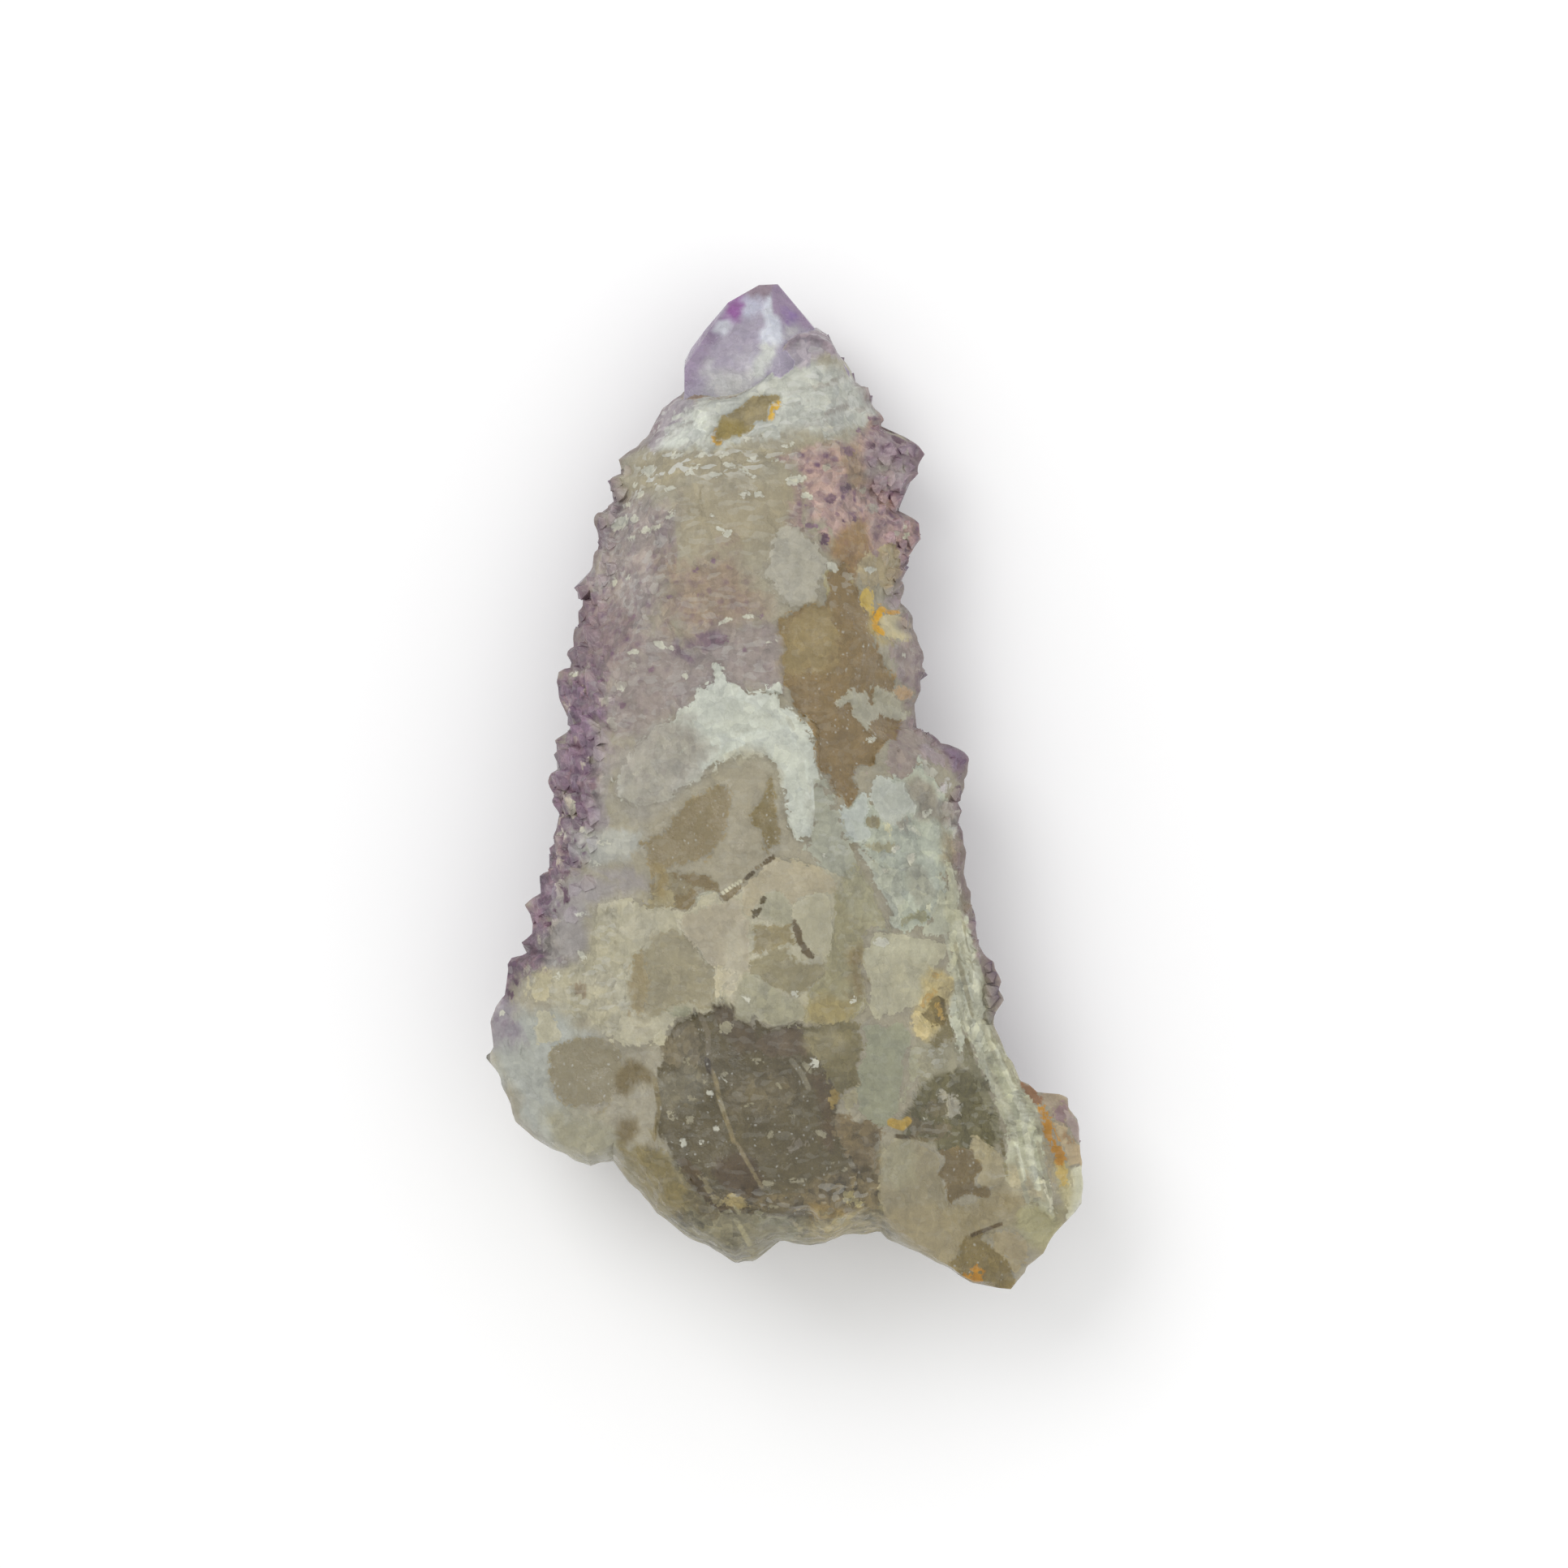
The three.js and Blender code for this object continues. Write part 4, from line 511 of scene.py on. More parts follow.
        (1.3, -17.3), (1.6, -16.6), (2.2, -15), (3.2, -13.9), (3.2, -12.4), (3.4, -11.2), (3.5, -9.2)],
        edge=0.4, torn=0.5, lift=0.35, mottle=0.7, flecks=0.15),
    patch("sheet shade light", (155, 152, 132), [(4.4, -6.8), (5.5, -5.6), (6.2, -6.6), (7.2, -8.8),
        (7.4, -10.4), (5.8, -10.2), (4.6, -9.4), (4, -8)], edge=0.8, torn=0.4),
    # Darker towards the sheet's right edge
    patch("sheet darker edge", (134, 120, 90), [(4.9, -12.5), (5.7, -11.9), (5.8, -13.8), (6.3, -14.5),
        (6.2, -16), (5, -15.8), (4.6, -14.4)], edge=1.2, torn=0.6),
    patch("sheet yellow", (158, 146, 108), [(1.2, -16.2), (2.6, -15.6), (4.2, -15.8), (5.9, -16.2),
        (5.5, -17), (3.4, -17.6), (1.8, -17.4)], edge=1, torn=0.6),
    patch("olive flake", (143, 133, 104), [(-2.4, -10.5), (-1.9, -10), (-1.2, -10.1), (-0.5, -10.2),
        (0.5, -10.3), (0.6, -10.8), (0.9, -11.6), (0.3, -11.6), (-0.6, -11.8), (-1.3, -12.2),
        (-2.1, -12.4), (-2.5, -12.1), (-2.4, -11.2)], edge=0.35, lift=0.3, torn=0.3, mottle=0.4),
    patch("green flake", (145, 138, 114), [(-1.8, -12.5), (-1.1, -12), (-0.2, -11.7), (0.3, -11.6),
        (0.6, -12.2), (1, -12.8), (1.6, -13), (2.3, -12.9), (3.2, -13.1), (3.2, -13.9), (2.2, -14.5),
        (1, -15.2), (0.4, -15.3), (-0.8, -14.8), (-1.8, -14.1), (-2.6, -13.5), (-2.6, -12.9)], edge=0.3,
        lift=0.6, torn=0.3, mottle=0.5),
    patch("grey shelf", (157, 154, 136), [(-4.5, -14.8), (-3.9, -14.3), (-3, -13.9), (-1.9, -14.1),
        (-1, -14.7), (0.3, -15.4), (1.3, -16), (1.6, -16.6), (1.1, -17.2), (0, -17.5), (-1, -17.7),
        (-1.7, -17.3), (-2.2, -16.7), (-2.4, -17.6), (-3.3, -17.1), (-3.9, -16.5), (-4.2, -16),
        (-4.5, -15.8)], edge=0.35, lift=0.5, torn=0.25, mottle=0.7),
    patch("pale lip", (181, 173, 150), [(-5.1, -13.3), (-4.2, -13.4), (-3.9, -14), (-4.3, -14.5),
        (-4.6, -14.7), (-4.6, -15.6), (-4.9, -15.9), (-5.1, -15.5)], edge=0.3, lift=0.7, torn=0.1),
    patch("sheet bright column", (184, 177, 159), [(-4.2, -10.6), (-3.3, -10), (-2.9, -12), (-3.2, -14),
        (-3.8, -16.2), (-4.6, -15), (-4.4, -12.5)], edge=0.7, torn=0.3),
    patch("sheet low beige", (164, 158, 139), [(-11.4, -17), (-10.4, -17), (-9.2, -17.6), (-8.9, -18.6),
        (-10.6, -19), (-11.8, -18.6)], edge=0.8),
    patch("tongue", (176, 171, 150), [(0.6, -8.9), (1, -8.4), (1.6, -8.1), (2.3, -7.9), (3.3, -8),
        (3.4, -8.4), (3.5, -9.2), (3.5, -10.2), (3.4, -11.2), (3.3, -12), (3.2, -12.4), (2.2, -12.2),
        (1.6, -11.8), (1.3, -11), (1.1, -10.3), (0.8, -9.9), (0.7, -9.3)], edge=0.25, lift=0.9, torn=0.15,
        mottle=0.3),
    patch("slit", (104, 92, 70), [(0.7, -9.9), (1, -10.1), (1.2, -10.6), (1.3, -11.2), (1.5, -11.7),
        (2, -12.2), (2.2, -12.7), (1.9, -12.7), (1.4, -12.2), (1, -11.6), (0.8, -10.9), (0.6, -10.4)],
        edge=0.2, torn=0.05),
    patch("notch", (88, 79, 55), [(-2.4, -9.1), (-1.9, -8.8), (-1.6, -8.6), (-1.6, -8.1), (-1.4, -8.1),
        (-1.5, -8.8), (-1.8, -9.4), (-2.2, -9.7)], edge=0.2, torn=0.05),
    patch("fork", (128, 115, 88), [(-4.9, -8.1), (-4.2, -8.65), (-3.8, -8.3), (-3.2, -7.6), (-2.8, -6.9),
        (-1.8, -6.1), (-1, -5.4), (-0.8, -5.1), (-1.6, -5.5), (-2.5, -6.3), (-3.2, -7.1), (-4.4, -7.9)],
        edge=0.2, torn=0.05),
    patch("hollow", (102, 94, 72), [(-8.9, -19.6), (-8.8, -19), (-8.4, -18), (-7.9, -17.3), (-7, -17),
        (-6.5, -16.5), (-6.2, -16.9), (-5.6, -16.6), (-5, -16.2), (-4.5, -15.9), (-4, -16.4), (-3.8, -17),
        (-3.2, -17.2), (-2.4, -17.6), (-2.2, -16.8), (-1.9, -17.3), (-1, -17.7), (0.2, -17.6), (1, -17.3),
        (1.7, -17.9), (2.6, -19), (3.4, -21.3), (3.8, -23.1), (3.9, -25.4), (5, -26.7), (6.6, -28.4),
        (7.1, -29.5), (6.8, -31.4), (5, -32.3), (2.5, -31.9), (0.4, -31.7), (-1.7, -31.9), (-3.9, -31.3),
        (-5.9, -30.3), (-7.4, -28.9), (-8.3, -27.6), (-9.1, -25.5), (-9.4, -23), (-9.2, -21.2)], edge=0.3,
        lift=-0.8, torn=0.3, mottle=0.6, flecks=0.12, smoky=1),
    patch("hollow foot", (119, 109, 90), [(7, -27.5), (7.2, -29.6), (6.8, -31), (4, -31.4), (-3.9, -31.5),
        (-6.6, -29.8), (-3, -29.4), (1, -30), (4, -27.6)], edge=1.2, mottle=1.8, flecks=0.3),
    patch("hollow round", (117, 109, 92), [(-9.2, -19.5), (-8.6, -18.2), (-7.6, -17.3), (-6.8, -17),
        (-6.2, -18.6), (-6, -20), (-7, -21.2), (-8.8, -20.5)], edge=0.35, torn=0.3, mottle=1),
    # Painted drop shadow under the sheet's lower edge, along the top of the hollow and over its own smoky
    # colour
    patch("hollow top shadow", (94, 84, 70), [(-5, -16.2), (-4.4, -16), (-4, -17), (-1.9, -17.6),
        (-1.9, -19.8), (-3.6, -19.6), (-4.4, -18.4)], edge=0.8, torn=0.6),
    patch("hollow right shadow", (101, 90, 77), [(-1.8, -17.9), (1, -17.6), (1.7, -18.8), (1.3, -19.9),
        (-1, -19.9), (-1.9, -19)], edge=0.5, torn=0.5),
    patch("hollow middle", (106, 98, 79), [(-4, -21.4), (-2.4, -20.4), (0, -20.2), (1.4, -21.8),
        (0.6, -23.2), (-2, -24.2), (-4, -23.6)], edge=1.2, torn=1, mottle=1),
    patch("hollow blue grey", (122, 117, 103), [(-7.6, -20.8), (-6.2, -20.4), (-6, -22), (-6.8, -23.6),
        (-8.6, -23), (-8.8, -21.6)], edge=1, torn=1.2, mottle=1),
    patch("hollow core", (87, 75, 60), [(-5.8, -28.3), (-4.6, -27.2), (-3.4, -26.8), (-2.3, -27.7),
        (-1.6, -28.8), (-1.5, -30), (-2.4, -30.5), (-3.6, -30), (-4.6, -29.5)], edge=0.6, torn=0.5),
    patch("hollow brown edge", (92, 79, 58), [(-8.1, -27.2), (-6.9, -27.3), (-6, -28.6), (-5, -29.7),
        (-4.3, -30.9), (-3.4, -31.3), (-3.7, -31.8), (-5, -31.2), (-6.2, -30.2), (-7.4, -28.7)], edge=0.4,
        torn=0.3),
    patch("hollow right brown", (98, 86, 70), [(2, -21.4), (2.9, -21), (3.5, -23.6), (3.7, -25.6),
        (3.8, -27), (2.4, -26.6), (2.6, -24.2)], edge=0.7, torn=0.6),
    patch("hollow bar", (122, 115, 104), [(0.2, -26.6), (1, -25.9), (2.4, -25.8), (2.4, -26.2),
        (1.2, -26.7), (0.4, -26.9)], edge=0.4, torn=0.3),
    patch("hollow tongue", (131, 122, 98), [(-6.4, -28.6), (-5.8, -28.7), (-5, -29.8), (-4.4, -30.8),
        (-4.8, -31), (-5.6, -30)], edge=0.35, torn=0.2),
    patch("pale sliver", (155, 142, 108), [(-4.7, -30.4), (-3.9, -30.1), (-3, -30.3), (-2.2, -31),
        (-3.4, -31.1), (-4.4, -30.8)], edge=0.25, torn=0.1),
    patch("ochre ground", (134, 117, 82), [(1, -31), (3.4, -30.9), (4.8, -31.4), (4.4, -32.3), (3, -33.1),
        (1.8, -32.2)], edge=0.8, torn=0.8, mottle=1.6),
    patch("base cream", (152, 144, 116), [(4.2, -29.8), (5, -29.8), (5.8, -30.6), (5.2, -30.9),
        (4.4, -30.7)], edge=0.3, torn=0.4),
    patch("base green", (141, 138, 116), [(-3.6, -31.7), (-2, -31.3), (0.4, -31.8), (1.3, -32.9),
        (0.6, -33.8), (-2, -34.6), (-2.8, -33.4)], edge=0.4, torn=0.3, lift=0.3, mottle=0.8),
    patch("base olive", (112, 104, 82), [(-7.5, -28.9), (-6.4, -30), (-5.2, -31.2), (-4, -32),
        (-5, -32.2), (-6.6, -31.6), (-7.4, -30.4)], edge=0.4, torn=0.3),
    patch("base left", (126, 121, 100), [(-4.8, -32.1), (-3.4, -32.6), (-2.4, -34.6), (-2.6, -35.9),
        (-5, -35.6), (-6.2, -34.4), (-6.6, -33)], edge=0.5, torn=0.3),
    patch("base left light", (138, 130, 104), [(-12, -27), (-10, -26.4), (-8.2, -27.2), (-7.4, -29),
        (-7.4, -30.8), (-8.4, -32), (-10.4, -31.6), (-12.4, -29)], edge=0.5, torn=0.3, mottle=0.8),
    patch("left patch", (147, 139, 118), [(-17.3, -20), (-15.9, -18.8), (-13.9, -18.4), (-12, -19.5),
        (-11.6, -21.3), (-12.1, -23), (-13.6, -23.9), (-15.8, -23.6), (-17.3, -22.3)], edge=0.5,
        lift=-0.2, torn=0.5, mottle=0.2, smoky=1),
    patch("tan below chips", (135, 124, 89), [(-12.1, -26.6), (-10, -26), (-8.2, -27.8), (-7.3, -29.9),
        (-7.5, -32), (-10, -30.2)], edge=0.8),
    patch("base tan", (150, 140, 112), [(1.4, -32), (4.5, -31.9), (7.2, -31.4), (7.5, -32.9),
        (4.5, -33.8), (1.8, -33.8)], edge=0.7),
    patch("upper chip", (118, 106, 77), [(-12.5, -22.7), (-12.5, -21.4), (-11.9, -20.5), (-11.4, -20.1),
        (-10.5, -20.5), (-9.6, -21.3), (-9.8, -22), (-10.7, -21.8), (-11.6, -22.9)], edge=0.55, lift=-0.2,
        torn=0.05),
    patch("lower chip", (122, 110, 82), [(-12.4, -25.6), (-12.1, -24.5), (-10.9, -24.5), (-10.7, -25.4),
        (-11.2, -26.2), (-12, -26.3)], edge=0.7, lift=-0.2, torn=0.05),
    patch("cream spot", (174, 170, 152), [(-18.6, -16.9), (-18.1, -16.4), (-17.3, -16.5), (-17.1, -17.2),
        (-16.8, -18), (-16.6, -18.8), (-17.2, -19), (-18.2, -18.9), (-18.6, -18.2), (-18.4, -17.4)],
        edge=0.4, lift=0.2, torn=0.2),
    patch("cream spot above", (174, 167, 144), [(-18.9, -14), (-18.2, -13.6), (-17.4, -13.8),
        (-17.2, -14.8), (-17.2, -15.7), (-18, -15.9), (-19.2, -15.8), (-19, -15)], edge=0.5, torn=0.3),
    patch("grey below hollow", (131, 126, 107), [(-5.2, -32), (-3.7, -31.2), (-0.4, -31.6), (1.1, -32.6),
        (-0.4, -34.1), (-4, -35.9), (-5.7, -33.8)], edge=0.5, lift=0.2),
    patch("olive strip", (123, 116, 90), [(1.6, -17.9), (3.4, -17.3), (5.6, -17.3), (5.9, -19),
        (5.4, -20.6), (5.3, -22.1), (4.4, -22.7), (3.5, -21.8), (2.6, -20)], edge=0.35, torn=0.3,
        mottle=0.8),
    patch("olive light", (137, 130, 106), [(2, -18), (3.6, -17.8), (4.2, -19.2), (3, -20.2),
        (2.2, -19.4)], edge=0.7, torn=0.8),
    patch("ochre spot", (150, 132, 88), [(3.3, -22.4), (3.8, -22.4), (4, -23.2), (3.6, -23.5)], edge=0.4,
        torn=0.4),
    patch("brown patch", (119, 107, 86), [(3.8, -24.2), (5.2, -24.6), (6.4, -24.8), (7, -25.6),
        (6.7, -27.2), (7.1, -28.6), (6, -28.5), (4.6, -27.4), (3.8, -26)], edge=0.5, torn=0.5, mottle=1.2),
    patch("pale triangle", (157, 151, 128), [(4.2, -22.9), (4.8, -22.4), (5.4, -22), (5.4, -23.4),
        (4.6, -23.9)], edge=0.25, torn=0.15),
    patch("dark spots", (96, 87, 68), [(5.3, -28.4), (5.8, -27.8), (6.6, -28), (6.4, -28.5),
        (5.8, -28.5)], edge=0.3, torn=0.3),
    patch("grey flake", (149, 150, 132), [(5.5, -18), (5.6, -17.5), (6.6, -17.5), (7.6, -17.6),
        (8.6, -17.3), (9.2, -17.9), (9.5, -18.8), (9, -19.6), (8.9, -20.6), (9, -21.4), (8.8, -22.3),
        (8.6, -23.2), (8.4, -24.1), (7.8, -24.8), (7, -25), (6.3, -24.6), (5.4, -23.8), (5.1, -22.6),
        (5.3, -21.8), (5.3, -20.8), (5.9, -20), (6, -18.8)], edge=0.22, lift=0.5, torn=0.3, mottle=0.5),
    patch("light streak", (160, 158, 138), [(9.3, -19.4), (10.4, -19.2), (11.2, -19.6), (11.6, -20.4),
        (10.6, -21), (10, -21.6), (9.4, -22.2), (8.8, -23.4), (8.5, -23.2), (9.1, -21.6), (9, -20.2)],
        edge=0.35, torn=0.3),
    patch("lower right ground", (156, 152, 134), [(9.6, -18.5), (13, -19), (14, -23), (15.6, -26),
        (16.6, -29), (14, -27.8), (9, -26), (8.9, -23.8), (9.6, -22)], edge=0.8, mottle=0.6, flecks=0.4),
    patch("swirl", (109, 105, 81), [(8.9, -23.7), (10.5, -21.8), (12.9, -21.2), (15, -22), (15.9, -24.1),
        (16.3, -26), (14.5, -27.8), (12.3, -27.4), (10.5, -26.6), (8.8, -25.8)], edge=0.9, lift=-0.4,
        mottle=1, flecks=0.2),
    patch("swirl shadow", (112, 104, 86), [(9, -24.2), (9.6, -24.2), (10.2, -24.8), (11.2, -25),
        (12.6, -25.2), (12, -25.8), (10.5, -26), (9.6, -25.8), (9.1, -25.4)], edge=0.5, torn=0.3),
    patch("swirl eye", (113, 107, 89), [(10.1, -24.2), (10.3, -23.6), (11.3, -23.2), (12, -23.3),
        (12.1, -24), (11.7, -24.4), (11, -24.3), (10.5, -24)], edge=0.4, torn=0.2),
    patch("swirl light", (156, 152, 141), [(11.3, -23.1), (11.6, -22.7), (12.6, -22.8), (13.1, -23.6),
        (12.9, -24.4), (12, -24.7), (12.2, -24), (12, -23.3)], edge=0.4, torn=0.3),
    patch("low flake", (150, 142, 121), [(7.1, -27.4), (7.6, -26.6), (8.2, -26), (9.2, -26), (9.9, -25.9),
        (10.4, -26.4), (10.9, -27), (11.7, -27.5), (11.4, -28.6), (11.7, -29.4), (12.2, -31), (14, -30.8),
        (15.1, -30), (16.6, -29), (17.4, -28.5), (18.2, -31.9), (15.9, -33.2), (12.9, -35.5),
        (10.5, -34.8), (8.7, -33.8), (7.5, -32), (7, -29.6)], edge=0.25, lift=0.4, torn=0.35, mottle=0.5),
    patch("low flake light", (155, 150, 130), [(7.3, -26.8), (8.4, -26.2), (9.4, -26.2), (9.6, -27.6),
        (9.4, -29.2), (8.4, -29.8), (7.4, -29.2), (7.1, -28.2)], edge=0.8, torn=0.5),
    patch("low flake pale", (164, 155, 131), [(13.7, -27.4), (14, -26.1), (14.8, -26.4), (15.1, -26.9),
        (16.2, -27), (16.3, -28), (16.6, -29), (16.2, -29.6), (15.2, -29.9), (14.2, -29.8), (14.2, -29),
        (14.7, -28.4), (14.4, -27.7)], edge=0.25, torn=0.3, lift=0.5),
    patch("low band", (157, 146, 119), [(7.6, -32), (8.2, -31.2), (10, -31.2), (12, -31.3), (14, -30.9),
        (16, -30), (18, -30.2), (18.4, -31), (17, -31.8), (16.2, -32.4), (14.6, -33), (13.6, -33.6),
        (13, -34.4), (12.4, -35.2), (10.4, -35.2), (9.3, -34), (8.6, -33.2)], edge=0.8, torn=0.5),
    patch("brown flake", (124, 110, 82), [(11.4, -28.9), (11.5, -28.3), (11.9, -27.9), (11.9, -27.5),
        (11.3, -27), (12.6, -26.8), (13.9, -27), (14, -27.6), (14.6, -28.1), (14.7, -28.5), (14.2, -29),
        (14.2, -29.7), (15.3, -29.8), (15.3, -30.6), (14.7, -30.6), (14, -30.2), (13.2, -30.4),
        (12.7, -30.6), (12.3, -31.1), (12, -30.4), (11.9, -29.2)], edge=0.22, lift=-0.1, torn=0.15,
        smoky=1),
    patch("warm flake", (176, 172, 152), [(5.8, -12.2), (5.7, -13), (5.9, -13.8), (6.3, -14.5),
        (6.2, -15.3), (6.1, -16.2), (6.3, -17), (7, -17.3), (7.6, -17), (8.3, -16.9), (9, -17),
        (9.1, -16.6), (10, -16.3), (10.2, -15.7), (10.8, -15), (10.9, -14), (11.2, -13.4), (12, -12.8),
        (12.3, -11.8), (11.2, -11.4), (9.5, -11.2), (7.8, -10.8), (6.7, -10.7), (6.2, -11.4)], edge=0.22,
        lift=0.5, torn=0.25, mottle=0.5),
    patch("warm flake light", (186, 183, 163), [(6.2, -11.2), (8, -11), (10, -11.4), (11.2, -12),
        (10.6, -12.8), (8.6, -12.6), (7, -12.8), (6.2, -13.2)], edge=0.8, torn=0.6),
    patch("ridge", (173, 173, 156), [(12.1, -5.5), (13, -7.5), (13.3, -9.6), (13.8, -11.4), (14, -13.6),
        (14.6, -14.8), (15, -16.4), (15.4, -18), (16, -19.6), (17, -21.4), (17.6, -22.6), (18.2, -23.4),
        (18.9, -24.6), (18.9, -26), (19.2, -28), (19.8, -30.4), (20.4, -32.2), (20, -32.6), (19, -31.4),
        (17.8, -30.5), (16.8, -29.4), (16.4, -28), (16.6, -26.4), (16.2, -24.8), (15.6, -23.3),
        (15, -21.8), (14.4, -20.3), (13.8, -19), (13.4, -17.5), (13, -18.6), (13, -20.1), (12.5, -17.3),
        (12.1, -15.5), (12.3, -12.9), (11.9, -10.3)], edge=0.4, lift=0.3, torn=0.25, mottle=1.1),
    patch("ridge bright", (180, 181, 162), [(15.6, -20.9), (16.4, -20.9), (17.2, -21.8), (17.7, -22.7),
        (18.4, -23.3), (18.9, -23.9), (18.6, -24.8), (19, -26), (19.3, -27.6), (19.1, -28.8),
        (18.3, -28.2), (17.2, -26.6), (16.9, -25.6), (16.8, -24.2), (16.4, -22.9), (15.9, -21.9)],
        edge=0.7, torn=0.15),
    patch("ridge low", (174, 166, 143), [(16.6, -28), (17.6, -28), (18.6, -28.8), (19.2, -29.6),
        (19.6, -31), (18.6, -30.8), (17.4, -30.6), (16.6, -29.8)], edge=0.8, torn=0.4),
    patch("lobe shade", (158, 148, 126), [(19.3, -26.4), (19.7, -26.8), (20.1, -28.2), (20.3, -29.4),
        (19.9, -29.7), (19.6, -28.8), (19.3, -27.6)], edge=0.5, torn=0.1),
    patch("lobe pale streak", (194, 191, 174), [(19.1, -28.7), (19.5, -29), (19.9, -30.1), (20.1, -31.4),
        (19.7, -31.7), (19.5, -30.6), (19.2, -29.8)], edge=0.35, torn=0.1),
    patch("lobe olive", (164, 159, 128), [(17.4, -31.2), (18.6, -31), (19.6, -31.7), (20.6, -32.3),
        (20.6, -33.2), (19.8, -34.2), (18.4, -34), (17.2, -32.8)], edge=0.7, torn=0.3),
    patch("ridge upper bright", (188, 189, 176), [(12.9, -12.4), (13.5, -12.2), (13.9, -13.8),
        (14.3, -15.4), (14.6, -17.4), (15, -19.4), (14.4, -20), (13.9, -18.6), (13.5, -16.6),
        (13.1, -14.6)], edge=0.5, torn=0.15),
    patch("ridge left bright", (186, 188, 175), [(12.1, -15.4), (12.6, -15.2), (12.9, -17), (13.3, -18.8),
        (13.1, -20.2), (12.8, -19.2), (12.5, -17.6)], edge=0.4, torn=0.12),
    patch("ridge grey", (150, 148, 132), [(14.6, -14.2), (15.2, -16), (15.5, -18), (16.4, -19.8),
        (16.9, -20.9), (16.2, -20.8), (15.4, -19.6), (14.9, -18), (14.5, -16)], edge=0.6, torn=0.2),
    patch("iron halo", (184, 171, 134), [(10.1, -14.6), (10.8, -13.6), (11.6, -13.4), (12.6, -14.2),
        (12.5, -15), (12.2, -15.6), (12, -17), (11.6, -18.4), (10.6, -19), (9.8, -18.6), (9.3, -18),
        (9.1, -17), (9.6, -16.2), (10.2, -15.4)], edge=0.6, torn=0.5, mottle=1),
    patch("iron cream", (188, 174, 137), [(9.2, -16.8), (9.8, -16.6), (10.1, -17.3), (10.5, -17.8),
        (10.9, -18.2), (10.6, -18.8), (10, -18.8), (9.6, -18.2)], edge=0.35, torn=0.12),
    patch("iron orange", (168, 144, 98), [(9.9, -16.4), (10.4, -15.6), (11, -15.1), (11.6, -14.9),
        (11.2, -15.4), (10.7, -15.9), (10.2, -16.5)], edge=0.4, torn=0.12),
    patch("iron spot", (170, 146, 98), [(10.8, -14.2), (11, -13.8), (11.5, -13.7), (11.4, -14.1),
        (11, -14.3)], edge=0.35, torn=0.1),
    patch("iron pit", (118, 107, 77), [(10.2, -16.9), (10.7, -16.3), (10.9, -15.8), (11.4, -15.5),
        (11.9, -15.9), (12, -16.6), (12.1, -17.4), (11.8, -17.9), (11.2, -17.6), (10.8, -17.8),
        (10.7, -17.2)], edge=0.3, torn=0.12, lift=-0.3, mottle=1.6),
    patch("iron pit low", (124, 116, 89), [(11.1, -18.4), (11.6, -17.8), (12.2, -17.6), (12.7, -18.2),
        (12.5, -18.7), (11.9, -18.9), (11.3, -19.4), (10.8, -19.3), (10.7, -18.9)], edge=0.35, torn=0.12),
    patch("iron gold", (146, 124, 78), [(11.3, -16.2), (11.6, -16.1), (11.8, -16.9), (11.7, -17.4),
        (11.4, -17)], edge=0.3, torn=0.05),
    patch("ridge shadow", (126, 123, 103), [(13.3, -19), (13.9, -20), (14.6, -21.2), (15.2, -22.8),
        (15.8, -24.2), (16.3, -26), (16.4, -27.4), (16.1, -27.6), (15.6, -25.6), (15, -23.6),
        (14.2, -21.6), (13.4, -20.2)], edge=0.4, torn=0.15),
    patch("side lobe", (160, 147, 131), [(18.9, -23.2), (19.2, -22.5), (20.2, -22.4), (21.2, -23),
        (21.4, -24.2), (21.2, -25.1), (20.6, -25.3), (20.1, -24.7), (19.7, -23.9), (19.3, -23.6)],
        edge=0.45, torn=0.12, specks=0.4),
    patch("lobe dark edge", (140, 119, 124), [(20.2, -23.9), (20.9, -23.6), (21.1, -24.3), (20.8, -24.9),
        (20.2, -24.6)], edge=0.5, torn=0.2),
    patch("lobe lilac edge", (158, 144, 142), [(21, -24.1), (21.7, -24.5), (22.1, -25.6), (22.2, -26.6),
        (21.7, -26.4), (21.2, -25.6), (21, -25)], edge=0.4, torn=0.1),
    patch("side lobe brown", (138, 106, 82), [(17.3, -22), (17.9, -21.8), (18.5, -22.2), (18.9, -22.9),
        (19.1, -23.7), (18.6, -23.6), (18.1, -23.2), (17.7, -22.6)], edge=0.3, torn=0.06),
    patch("side lobe pale", (192, 190, 170), [(21.3, -28.4), (22.1, -28), (22.6, -29.4), (22.4, -31),
        (21.6, -32.6), (21, -32), (21.1, -30.8), (21.2, -29.6)], edge=0.5, torn=0.12),
    patch("side lobe beige", (178, 161, 134), [(20, -25), (20.9, -25.3), (21.3, -26.3), (22.3, -26.7),
        (22.3, -27.9), (21.2, -28.2), (20.8, -27.2), (20.4, -26.2)], edge=0.5, torn=0.12),
    patch("lobe brown piece", (150, 126, 98), [(20.9, -25.6), (21.5, -26), (21.6, -26.5), (21.2, -26.6),
        (20.8, -26.1)], edge=0.3, torn=0.08),
    patch("side lobe yellow", (184, 176, 143), [(20.2, -28.3), (21, -28.1), (21.4, -29.2), (21.3, -31.5),
        (20.7, -31.2), (20.3, -29.7)], edge=0.7, torn=0.2),
    patch("orange streak", (172, 126, 44), [(18.9, -23.7), (19.4, -23.8), (19.8, -24.8), (20.1, -25.9),
        (20.5, -26.9), (20.8, -27.7), (20.6, -28.2), (20.2, -27.8), (19.8, -26.8), (19.4, -25.6),
        (19.1, -24.6)], edge=0.4, torn=0.05),
    patch("streak end", (182, 160, 100), [(20.2, -27.6), (20.8, -27.6), (21, -28.8), (20.7, -29.6),
        (20.3, -28.8)], edge=0.5, torn=0.1),
    patch("tail", (133, 119, 82), [(12, -35.4), (12.7, -35), (13.1, -34.1), (13.5, -33.4), (14.2, -33.1),
        (15.2, -33), (14.6, -33.6), (15.8, -34.4), (16.6, -35.1), (16.9, -35.8), (17.1, -36.8),
